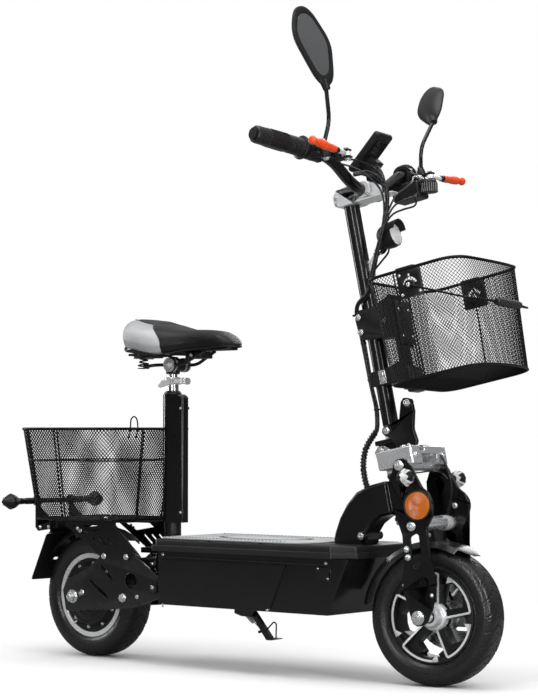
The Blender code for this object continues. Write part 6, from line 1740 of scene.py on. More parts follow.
@dataclass
class Pillar:
    """The seat's tube, its cover, the chromed sleeve and its clamp."""

    seat_x: float = -0.213
    sleeve_top: float = 0.579

    def _cover(self, shape: Shape) -> None:
        """Add the plate, the screw and the rubber ring of the pillar's cover.

        Args:
            shape: What it is added to.
        """
        x0 = self.seat_x
        shape.paint(1)
        rings = []
        for i in range(9):
            a = radians(192.0 + 8.5 * i)
            rings.append([
                (x0 + r * cos(a), r * sin(a), z) for r,
                z in ((0.0197, 0.5205), (0.0206, 0.5205), (0.0206, 0.5345), (0.0197, 0.5345))
            ])
        shape.loft(rings)
        shape.paint(2)
        shape.bolt((x0 + 0.0318, -0.0125, 0.5165), (0.22, -1.0, 0.0), 0.0021, Head.DOME, 0.0012)
        shape.bolt((x0 + 0.0318, 0.0125, 0.5165), (0.22, 1.0, 0.0), 0.0021, Head.DOME, 0.0012)
        shape.bolt((x0 + 0.0318, -0.0125, 0.305), (0.22, -1.0, 0.0), 0.0021, Head.DOME, 0.0012)
        shape.paint(3)
        shape.lathe([
            (0.0117, 0.544), (0.0175, 0.544), (0.0182, 0.5462), (0.0172, 0.549), (0.014, 0.5505),
            (0.0119, 0.55)
        ], 40, MIDDLE @ moved((x0, 0.0, 0.0)))

    def sleeve(self) -> None:
        """Model the chromed sleeve with its split collar and knurled nut."""
        x0, top = self.seat_x, self.sleeve_top
        place = MIDDLE @ moved((x0, 0.0, 0.0))
        shape = Shape(place)
        shape.lathe([
            (0.0115, 0.2775), (0.0115, top - 0.0145), (0.0113, top - 0.014), (0.0113, top - 0.0005),
            (0.0109, top), (0.0096, top), (0.0096, top - 0.02)
        ], 56)
        shape.paint(1)
        shape.lathe([
            (0.0114, top - 0.0138), (0.0165, top - 0.0138), (0.0171, top - 0.013), (0.0171, top + 0.0002),
            (0.0165, top + 0.001), (0.01, top + 0.001)
        ], 56)
        clamp_x = 0.0225
        for low, high in ((-0.0085, -0.0012), (0.0012, 0.0085)):
            shape.block((0.015, low, top - 0.0128), (clamp_x + 0.007, high, top), 0.0012)
        shape.paint(2)
        z = top - 0.007
        shape.rod((clamp_x, -0.025, z), (clamp_x, 0.0195, z), 0.0026, 0.0003)
        knurl = []
        for i in range(44):
            reach = 0.0072 if i % 2 else 0.0066
            knurl.append((reach * cos(FULL_TURN * i / 44), reach * sin(FULL_TURN * i / 44)))
        shape.plate(knurl, 0.0075, place @ moved((clamp_x, 0.0185, z)) @ turned(90.0, "X"))
        shape.rod((clamp_x, 0.009, z), (clamp_x, 0.0146, z), 0.005, 0.0004)
        shape.bolt((0.0, -0.017, z), RIGHT, 0.003, height=0.002)
        shape.object("seat_sleeve_chrome", "chassis", (CHROME, ALLOY, ZINC), "chrome", ("seat_sleeve",))

    def build(self) -> None:
        """Model the pillar from the tub up to the saddle's post."""
        dress("seat_tube", PAINT, 0.0006, "black_paint")
        dress("seat_tube_cover", GLOSSY, 0.001, "gloss_plastic", MIDDLE, self._cover, (LABEL, ZINC, RUBBER))
        dress("seat_clamp_lever", ALLOY, 0.0006, "zinc_steel")
        self.sleeve()
        post = Shape(MIDDLE)
        post.lathe(
            [(0.0, 0.614), (0.009, 0.614), (0.0092, 0.613), (0.0092, 0.37), (0.008, 0.3685), (0.0, 0.3685)],
            48, MIDDLE @ moved((self.seat_x, 0.0, 0.0))
        )
        for i in range(5):
            z = 0.586 + 0.005 * i
            post.paint(1).lathe(
                [(0.00925, z), (0.00932, z + 0.0003), (0.00925, z + 0.0006)], 48,
                MIDDLE @ moved((self.seat_x, 0.0, 0.0))
            )
        post.object("seat_post_chrome", "seat", (CHROME, PLASTIC), "chrome", ("seat_post",))


# Deck


@dataclass
class Deck:
    """The tub, its cover and mat, the gooseneck, the port and the side stand."""

    mat_z: float = 0.2596

    def _tub(self, shape: Shape) -> None:
        """Lay the side panels' plates, their seams and the tub's screws.

        Args:
            shape: What it is added to.
        """
        outline = rounded([(-0.1575, 0.131), (0.1275, 0.131), (0.1655, 0.2165), (-0.1575, 0.2165)], 0.0035, 3)
        inner = [(-0.155, 0.1335), (0.126, 0.1335), (0.1615, 0.214), (-0.155, 0.214)]
        for flank, _ in SIDES:
            shape.paint(1).plate(outline, 0.0016, side(flank * 0.1, MIDDLE), (), 0.0006)
            shape.paint(0).plate(rounded(inner, 0.003, 3), 0.001, side(flank * 0.1006, MIDDLE))
            shape.paint(2)
            for x, z in ((-0.15, 0.124), (0.12, 0.1285), (0.262, 0.223), (-0.15, 0.225)):
                shape.bolt((x, flank * 0.0984, z), (0.0, flank, 0.0), 0.0026, Head.DOME, 0.0016)
            shape.paint(0).block(
                (-0.161, min(flank * 0.0975, flank * 0.0992), 0.219),
                (0.262, max(flank * 0.0975, flank * 0.0992), 0.2215), 0.0006
            )

    def _cover(self, shape: Shape) -> None:
        """Bolt the cover down.

        Args:
            shape: What it is added to.
        """
        shape.paint(1)
        for x, y in (
            (-0.15, -0.104), (-0.02, -0.1075), (0.11, -0.1075), (0.225, -0.1), (-0.15, 0.104),
            (-0.02, 0.1075), (0.11, 0.1075), (0.225, 0.1)
        ):
            shape.bolt((x, y, 0.256), UP, 0.003, height=0.0012)

    def _mat(self, shape: Shape) -> None:
        """Print the mat's oval band and raise its studs.

        Args:
            shape: What it is added to.
        """
        top = self.mat_z - 0.0002
        centre = (0.035, 0.0)
        outer, inner = [], []
        for i in range(64):
            a = FULL_TURN * i / 64
            outer.append((centre[0] + 0.112 * cos(a), centre[1] + 0.058 * sin(a)))
            inner.append((centre[0] + 0.1 * cos(a), centre[1] + 0.047 * sin(a)))
        shape.paint(1).plate(outer, 0.001, MIDDLE @ moved((0.0, 0.0, top)), (inner,), 0.0003)
        for flank, _ in SIDES:
            for row, reach in enumerate((0.091, 0.083)):
                for i in range(34):
                    x = -0.15 + 0.3 * (i + 0.5 * row) / 33.5
                    shape.lathe(
                        [(0.0, top + 0.0012), (0.0012, top + 0.001), (0.0019, top)], 10,
                        MIDDLE @ moved((x, flank * reach, 0.0))
                    )
        shape.paint(0)
        for i in range(-9, 10):
            half = 0.044 * sqrt(max(0.0, 1.0 - (i / 10.5) ** 2))
            x = centre[0] + 0.0098 * i
            shape.block((x - 0.0022, -half, top - 0.0005), (x + 0.0022, half, top + 0.0011), 0.0007, 2)

    def _gooseneck(self, shape: Shape) -> None:
        """Bolt the cross pin.

        Args:
            shape: What it is added to.
        """
        shape.paint(1)
        for flank, _ in SIDES:
            shape.bolt((0.292, flank * 0.0302, 0.2723), (0.0, flank, 0.0), 0.0052, height=0.0034)

    def _port(self, shape: Shape) -> None:
        """Screw the charging port's cover on.

        Args:
            shape: What it is added to.
        """
        shape.paint(1)
        for x, z in ((0.2468, 0.2128), (0.2702, 0.1948)):
            shape.bolt((x, -0.1026, z), RIGHT, 0.002, Head.DOME, 0.0013)

    def stand(self) -> None:
        """Dress the side stand and coil its spring."""
        dress("kickstand", PAINT, 0.0006, "black_paint")
        y = 0.0595
        start = Vector((-0.071, y, 0.1055))
        end = Vector((-0.026, y, 0.0708))
        run = end - start
        place = MIDDLE @ aimed(start, end)
        path = []
        turns, steps = 13, 14
        for i in range(turns * steps + 1):
            a = FULL_TURN * i / steps
            path.append((*polar(0.0046, a), 0.0305 * i / (turns * steps)))
        path += [(0.002, 0.0, 0.032), (0.0, 0.0, 0.0335), (0.0, 0.0, run.length - 0.001)]
        hook = [(0.0046, 0.0, 0.0), (0.001, 0.0, -0.0016), (0.0, 0.0, -0.003)]
        shape = Shape(place)
        shape.tube(list(reversed(hook)) + path[1:], 0.00095, 8)
        shape.object("kickstand_coil", "chassis", (ZINC,), "zinc_steel", ("kickstand_spring",))

    def build(self) -> None:
        """Dress every piece of the deck."""
        dress("deck_box", PAINT, 0.0009, "black_paint", MIDDLE, self._tub, (GLOSSY, ZINC))
        dress("deck_cover", COVER, 0.0022, "black_satin", MIDDLE, self._cover, (SATIN,))
        dress("deck_mat", MAT, 0.0008, "deck_grip", MIDDLE, self._mat, (MAT_DARK,))
        dress("gooseneck", PAINT, 0.0016, "black_paint", MIDDLE, self._gooseneck, (ZINC,))
        dress("charge_port_cover", PLASTIC, 0.0006, "rubber", MIDDLE, self._port, (ZINC,))
        self.stand()


# Cockpit


@dataclass
class Cockpit:
    """The stem with its bar, clamp, grips, controls and levers."""

    stem_r: float = 0.0152
    bar_r: float = 0.011
    lever: tuple[float, float, float] = (0.096, 0.165, 0.546)
    mirror: tuple[float, float, float] = (0.066, 0.19, 0.56)
    horn: tuple[float, float, float] = (0.03, 0.14, 0.523)

    def bar_path(self) -> list[Vector]:
        """Return the handlebar's middle line with its bends."""
        corners = [
            (-0.0101, -0.31, 0.5953), (0.045, -0.14, 0.561), (0.038, -0.048, 0.512), (0.038, 0.048, 0.512),
            (0.045, 0.14, 0.561), (-0.0101, 0.31, 0.5953)
        ]
        return bent(corners, 0.04, 12)

    @staticmethod
    def grip_axis(flank: float) -> tuple[Vector, Vector]:
        """Return the elbow and the outward direction of one end of the bar.

        Args:
            flank: -1 for the right, 1 for the left.

        Returns:
            The elbow and the unit vector.
        """
        elbow = Vector((0.045, flank * 0.14, 0.561))
        end = Vector((-0.0101, flank * 0.31, 0.5953))
        return elbow, (end - elbow).normalized()

    def stem(self) -> None:
        """Model the stem with its collar, fold tongue and lamp tab."""
        shape = Shape(STEER)
        shape.lathe([
            (0.0, 0.503), (0.0148, 0.503), (self.stem_r, 0.5022), (self.stem_r, 0.063), (0.0146, 0.0622),
            (0.0, 0.0622)
        ], 96)
        shape.block((-0.031, -0.0195, 0.0275), (0.014, 0.0195, 0.0365), 0.0022)
        shape.plate(
            rounded([(-0.0295, 0.0105), (0.01, 0.0105), (0.012, 0.032), (-0.029, 0.032)], 0.004, 4), 0.019,
            side(0.0, STEER), (arc((-0.02, 0.014), 0.0044, 0.0, 340.0, 17),), 0.0008
        )
        shape.paint(1)
        shape.lathe([
            (0.0, 0.0365), (0.0135, 0.0368), (0.0141, 0.0375), (0.0141, 0.043), (0.0136, 0.0436),
            (0.0136, 0.056), (0.0142, 0.0566), (0.0142, 0.0612), (0.0136, 0.0621)
        ], 64)
        tab = rounded([
            (0.0122, 0.347), (0.0245, 0.3475), (0.0275, 0.375), (0.0455, 0.388), (0.047, 0.3975),
            (0.037, 0.3975), (0.0215, 0.3815), (0.0122, 0.378)
        ], 0.003, 4)
        shape.plate(tab, 0.004, side(0.0, STEER), (), 0.0006)
        shape.paint(2)
        shape.rod((0.041, -0.0105, 0.392), (0.041, 0.0105, 0.392), 0.0028, 0.0003)
        shape.rod((0.0035, -0.012, 0.05), (0.0035, -0.0322, 0.05), 0.0032, 0.0003)
        shape.bolt((0.0035, -0.03, 0.05), RIGHT, 0.0052, Head.NYLOC, 0.0036)
        for w in (0.352, 0.372):
            shape.bolt((0.019, -0.002, w), RIGHT, 0.0024, Head.HEX, 0.0016)
        shape.object("stem_post", "stem", (PAINT, ALLOY, ZINC), "black_paint", ("stem_tube",))

    def bar(self) -> None:
        """Model the handlebar and the clamp that holds it."""
        shape = Shape(STEER)
        shape.tube(self.bar_path(), self.bar_r, 40)
        shape.object("handlebar_tube", "stem", (PAINT,), "black_paint", ("handlebar",))

        def fixings(clamp: Shape) -> None:
            """Screw the clamp together.

            Args:
                clamp: What it is added to.
            """
            for v in (-0.0262, 0.0262):
                aim = (0.0, copysign(1.0, v), 0.0)
                for u, w in ((-0.0175, 0.4965), (-0.0175, 0.5085), (0.052, 0.5)):
                    clamp.bolt((u, v, w), aim, 0.0032, height=0.0026)
            for u, v in ((0.018, -0.015), (0.018, 0.015)):
                clamp.bolt((u, v, 0.527), UP, 0.004, height=0.003)
            clamp.paint(2)
            for u, v in ((0.077, 0.0), (0.09, -0.0085), (0.09, 0.0085)):
                clamp.lathe(
                    [(0.0, 0.00155), (0.0022, 0.00155), (0.0024, 0.0)], 16, STEER @ moved((u, v, 0.4926))
                )

        dress("bar_clamp", BRIGHT_CAST, 0.0016, "silver_alloy", STEER, fixings, (ZINC, PLASTIC))

    def grips(self) -> None:
        """Model the throttle grip and the fixed grip."""
        for flank, _ in SIDES:
            elbow, aim = self.grip_axis(flank)
            start = elbow + aim * 0.064
            place = STEER @ aimed(start, start + aim)
            shape = Shape(place)
            profile = [
                (0.0112, 0.0), (0.0215, 0.0), (0.0225, 0.001), (0.0225, 0.0042), (0.0215, 0.0052),
                (0.0178, 0.0062)
            ]
            for i in range(5):
                z = 0.008 + 0.0058 * i
                profile += [(0.0172, z), (0.0172, z + 0.0036), (0.0163, z + 0.0042), (0.0163, z + 0.0052)]
            profile += [
                (0.0168, 0.0385), (0.0171, 0.06), (0.0168, 0.085), (0.0171, 0.086), (0.0171, 0.089),
                (0.0166, 0.09), (0.0166, 0.1075), (0.0158, 0.112), (0.014, 0.1138), (0.007, 0.114),
                (0.0062, 0.1132), (0.006, 0.104), (0.0, 0.104)
            ]
            shape.lathe(profile, 64)
            for i in range(26):
                a = FULL_TURN * i / 26
                if i % 13 in (5, 6, 7):
                    continue
                c, s = polar(1.0, a)
                shape.tube([
                    (0.0163 * c, 0.0163 * s, 0.04), (0.017 * c, 0.017 * s, 0.042),
                    (0.0171 * c, 0.0171 * s, 0.06), (0.0168 * c, 0.0168 * s, 0.0825),
                    (0.0161 * c, 0.0161 * s, 0.0845)
                ], 0.001, 8)
            if flank < 0.0:
                shape.object("throttle_grip_rubber", "throttle", (RUBBER,), "rubber", ("throttle_grip",))
            else:
                shape.object("grip_left_rubber", "stem", (RUBBER,), "rubber", ("grip_left",))

    def controls(self) -> None:
        """Dress both control housings, the horn's button and the levers."""
        for flank, name in SIDES:
            pivot = Vector((self.lever[0], flank * self.lever[1], self.lever[2]))
            elbow, aim = self.grip_axis(flank)

            def fixings(shape: Shape) -> None:
                """Add what is fixed to it.

                Args:
                    shape: What it is added to.
                """
                shape.bolt(pivot + Vector((0.0, 0.0, 0.0085)), UP, 0.0048, Head.HEX, 0.0036)
                shape.bolt(pivot - Vector((0.0, 0.0, 0.0085)), DOWN, 0.0044, Head.NYLOC, 0.004)
                barrel = pivot + Vector((-0.016, flank * -0.006, 0.0))
                end = pivot + Vector((-0.016, flank * -0.032, -0.001))
                shape.rod(barrel, barrel.lerp(end, 0.75), 0.0049, 0.0004)
                for i in range(5):
                    spot = barrel.lerp(end, 0.25 + 0.08 * i)
                    shape.rod(spot, spot + (end - barrel).normalized() * 0.0011, 0.0056, 0.0003)
                collar = elbow + aim * 0.04
                shape.bolt(collar + Vector((0.0183, 0.0, 0.006)), (1.0, 0.0, 0.25), 0.003, height=0.002)
                shape.bolt(collar + Vector((0.0183, 0.0, -0.006)), (1.0, 0.0, -0.25), 0.003, height=0.002)
                shape.bolt(
                    Vector((self.mirror[0], flank * self.mirror[1], self.mirror[2] - 0.0162)), DOWN, 0.0052,
                    Head.HEX, 0.004
                )
                shape.paint(2)
                for z in (0.0225, 0.0395, 0.057):
                    ring = elbow + aim * z
                    shape.rod(ring, ring + aim * 0.0018, 0.019, 0.0004)
                if flank > 0.0:
                    self._switches(shape)

            dress(f"control_{name}", PLASTIC, 0.0011, "black_plastic", STEER, fixings, (ZINC, GLOSSY))
            self._lever(flank, name, pivot)
        seat = Vector(self.horn)
        shape = Shape(STEER)
        back, tip = seat - Vector((0.0055, 0.0, 0.0)), seat + Vector((0.01, 0.0, 0.0))
        shape.lathe(
            [(0.0, 0.0), (0.0055, 0.0), (0.0064, 0.001), (0.0064, 0.0155), (0.0, 0.0155)], 32,
            STEER @ aimed(back, tip)
        )
        shape.paint(1).lathe(
            [(0.0, -0.0003), (0.0034, -0.0003), (0.0038, 0.0004)], 24, STEER @ aimed(back, tip)
        )
        shape.object("horn_button_cap", "horn", (RUBBER, PLASTIC), "rubber", ("horn_button",))

    def _switches(self, shape: Shape) -> None:
        """Add the left housing's rocker, ribs and round switch.

        Args:
            shape: What it is added to.
        """
        u, v, w = self.horn
        shape.block((u - 0.0012, v - 0.0195, w - 0.015), (u + 0.0004, v - 0.0125, w + 0.006), 0.0006)
        shape.block((u - 0.0012, v + 0.011, w - 0.014), (u + 0.0004, v + 0.0185, w - 0.002), 0.0006)
        for i in range(5):
            x = 0.042 + 0.009 * i
            shape.block((x, 0.118, w + 0.0138), (x + 0.0032, 0.159, w + 0.0155), 0.0006)
        turn = STEER @ moved((0.1005, 0.1405, w - 0.0015)) @ turned(8.0, "Y")
        shape.lathe([(0.0, 0.0135), (0.011, 0.0135), (0.0122, 0.0125), (0.0128, 0.0118)], 40, turn)
        for i in range(24):
            a = FULL_TURN * i / 24
            c, s = polar(1.0, a)
            shape.tube(
                [(0.0172 * c, 0.0172 * s, -0.011), (0.0174 * c, 0.0174 * s, 0.006)], 0.0007, 6, place=turn
            )

    def _lever(self, flank: float, name: str, pivot: Vector) -> None:
        """Model one brake lever with its sleeve.

        Args:
            flank: -1 for the right, 1 for the left.
            name: Which side's it is.
            pivot: Where it turns.
        """
        end = pivot + Vector((0.005, flank * 0.135, 0.0065))
        grip = pivot + Vector((0.0026, flank * 0.037, 0.001))
        shape = Shape(STEER)
        shape.rod(pivot - Vector((0.0, 0.0, 0.0042)), pivot + Vector((0.0, 0.0, 0.0042)), 0.0072, 0.0006)
        tail = pivot + Vector((-0.0105, flank * -0.002, 0.0))
        shape.tube(
            [tail, pivot, pivot.lerp(grip, 0.5) + Vector((0.0008, 0.0, 0.0)), grip], 0.0044, 20, False,
            lambda t: 0.72 + 0.4 * min(1.0, t * 1.6), 0.86
        )
        place = STEER @ aimed(grip, end)
        length = (end - grip).length
        shape.paint(1).lathe([
            (0.0, -0.001), (0.0052, -0.001), (0.0058, 0.0), (0.0061, 0.011), (0.0056, 0.0122), (0.0, 0.0122)
        ], 40, place)
        shape.paint(2)
        knots = [
            (0.012, 0.0058), (0.0128, 0.0068), (0.02, 0.0072), (0.043, 0.0074), (0.058, 0.0077),
            (0.07, 0.0074), (0.08, 0.0056), (length - 0.0145, 0.005), (length - 0.012, 0.0062),
            (length - 0.0085, 0.0078), (length - 0.005, 0.008), (length - 0.0018, 0.0062),
            (length - 0.0003, 0.003), (length, 0.0)
        ]
        curve = flowing([(z, r, 0.0) for z, r in knots], 60)
        shape.lathe([(0.0, 0.012)] + [(max(0.0, p.y), p.x) for p in curve], 40, place)
        for i in range(6):
            z = 0.046 + 0.004 * i
            shape.lathe(
                [(0.007, z), (0.0081, z + 0.0007), (0.0081, z + 0.0014), (0.007, z + 0.0021)], 32, place
            )
        shape.object(
            f"brake_lever_{name}_sleeved", f"lever_{name}", (ALLOY, PLASTIC, ORANGE), "silver_alloy",
            (f"brake_lever_{name}",), 40.0
        )

    def fold(self) -> None:
        """Dress the fold's lever and the basket's bracket."""

        def lever(shape: Shape) -> None:
            """Pin the fold's lever."""
            shape.bolt((0.057, -0.0305, 0.092), RIGHT, 0.0052, height=0.0026)
            shape.bolt((0.0445, -0.0287, 0.014), RIGHT, 0.003, Head.DOME, 0.0016)

        def bracket(shape: Shape) -> None:
            """Bolt the basket's bracket.

            Args:
                shape: What it is added to.
            """
            for flank, _ in SIDES:
                aim = (0.0, flank, 0.0)
                for w in (0.245, 0.274):
                    shape.bolt((-0.0165, flank * 0.0238, w), aim, 0.0046, Head.NYLOC, 0.0036)
                shape.block(
                    (0.004, min(flank * 0.0198, flank * 0.0222), 0.139),
                    (0.019, max(flank * 0.0198, flank * 0.0222), 0.165), 0.001
                )
                shape.bolt((0.0115, flank * 0.022, 0.1465), aim, 0.0034, Head.HEX, 0.0024)
                shape.bolt((0.0115, flank * 0.022, 0.158), aim, 0.0034, Head.HEX, 0.0024)
                shape.bolt((0.036, flank * 0.0209, 0.256), aim, 0.0036, height=0.0026)

        dress("fold_lever", PAINT, 0.0012, "black_paint", STEER, lever, (ZINC,))
        dress("basket_bracket", SATIN, 0.0012, "black_paint", STEER, bracket, (ZINC,))

    def build(self) -> None:
        """Model everything on the stem but mirrors, lamps, baskets and cables."""
        self.stem()
        self.bar()
        self.grips()
        self.controls()
        self.fold()


@dataclass
class Mirrors:
    """Both rear-view mirrors on their bent stalks."""

    base: tuple[float, float, float] = (0.066, 0.19, 0.56)
    half_length: float = 0.08
    half_width: float = 0.0425

    LEAF = (
        (-1.0, 0.02), (-0.97, 0.28), (-0.8, 0.58), (-0.12, 1.02), (0.16, 0.98), (0.82, 0.52), (1.0, 0.14),
        (0.97, -0.3), (0.88, -0.52), (0.46, -0.92), (0.18, -0.9), (-0.78, -0.42), (-0.96, -0.22)
    )

    def _leaf(self, shape: Shape, place: Matrix, flank: float) -> None:
        """Add the housing, its bezel and the glass.

        Args:
            shape: What it is added to.
            place: Where it goes.
            flank: -1 for the right, 1 for the left.
        """
        corners = [(x * self.half_length, -flank * y * self.half_width) for x, y in self.LEAF]
        outline = even(rounded(corners if flank < 0.0 else corners[::-1], 0.0055, 6), 92)
        for _ in range(8):
            triples = zip(outline[-1:] + outline, outline, outline[1:] + outline[:1])
            outline = [tuple((a + 2.0 * b + c) / 4.0 for a, b, c in zip(*three)) for three in triples]

        def ring(scale: float, z: float, shift: float = 0.0) -> list[tuple[float, float, float]]:
            """Return the outline at a scale and a height."""
            return [(shift + x * scale, y * scale, z) for x, y in outline]

        shape.paint(0).loft([
            ring(0.02, 0.0156), ring(0.22, 0.0152), ring(0.42, 0.0141), ring(0.6, 0.0122), ring(0.76, 0.0094),
            ring(0.88, 0.006), ring(0.96, 0.0022), ring(1.0, -0.001), ring(0.995, -0.0032),
            ring(0.965, -0.0048), ring(0.88, -0.0054), ring(0.785, -0.0052, 0.003),
            ring(0.775, -0.0036, 0.003), ring(0.75, -0.0036, 0.003)
        ], place=place)
        shape.paint(1).loft([
            ring(0.774, -0.0038, 0.003), ring(0.762, -0.0043, 0.003), ring(0.4, -0.0049, 0.003),
            ring(0.02, -0.0051, 0.003)
        ], place=place)

    def build(self) -> None:
        """Model both mirrors."""
        views = (
            (-1.0, "right", (-0.048, -0.218, 0.975), (0.94, -0.34, 0.05), 0.0),
            (1.0, "left", (-0.353, 0.707, 0.613), (0.94, 0.34, 0.05), 50.0)
        )
        for flank, name, leaf_aim, glass_aim, roll in views:
            base = Vector((self.base[0], flank * self.base[1], self.base[2]))
            shape = Shape(STEER)
            shape.paint(2).lathe([
                (0.0, 0.017), (0.0046, 0.0168), (0.006, 0.015), (0.0074, 0.0112), (0.0086, 0.006),
                (0.0088, 0.003), (0.0084, 0.0004), (0.0, 0.0004)
            ], 40, STEER @ moved(base))
            corners = [
                base + Vector((0.0, 0.0, 0.01)), base + Vector((0.014, flank * -0.011, 0.052)),
                base + Vector((0.037, flank * 0.022, 0.107))
            ]
            path = bent(corners, 0.02, 10)
            shape.paint(3).tube(path, 0.004, 20)
            shape.paint(4).bolt(base + Vector((0.0, 0.0, 0.0163)), UP, 0.005, Head.HEX, 0.004)
            long_axis = Vector(leaf_aim).normalized()
            back = Matrix.Rotation(radians(roll), 3, long_axis) @ -Vector(glass_aim)
            back = (back - back.dot(long_axis) * long_axis).normalized()
            turn = Matrix((long_axis, back.cross(long_axis), back)).transposed().to_4x4()
            root = STEER @ moved(corners[-1]) @ turn
            self._leaf(shape, root @ moved((self.half_length - 0.004, 0.0, 0.0)), flank)
            neck = root @ turned(90.0, "Y")
            shape.paint(0).lathe([
                (0.0, -0.008), (0.0058, -0.008), (0.007, -0.006), (0.0078, 0.002), (0.0092, 0.012),
                (0.0, 0.015)
            ], 32, neck)
            shape.object(
                f"mirror_{name}_leaf", f"mirror_{name}_body", (PLASTIC, GLASS, RUBBER, PAINT, ZINC),
                "black_plastic", (f"mirror_{name}",), 40.0
            )


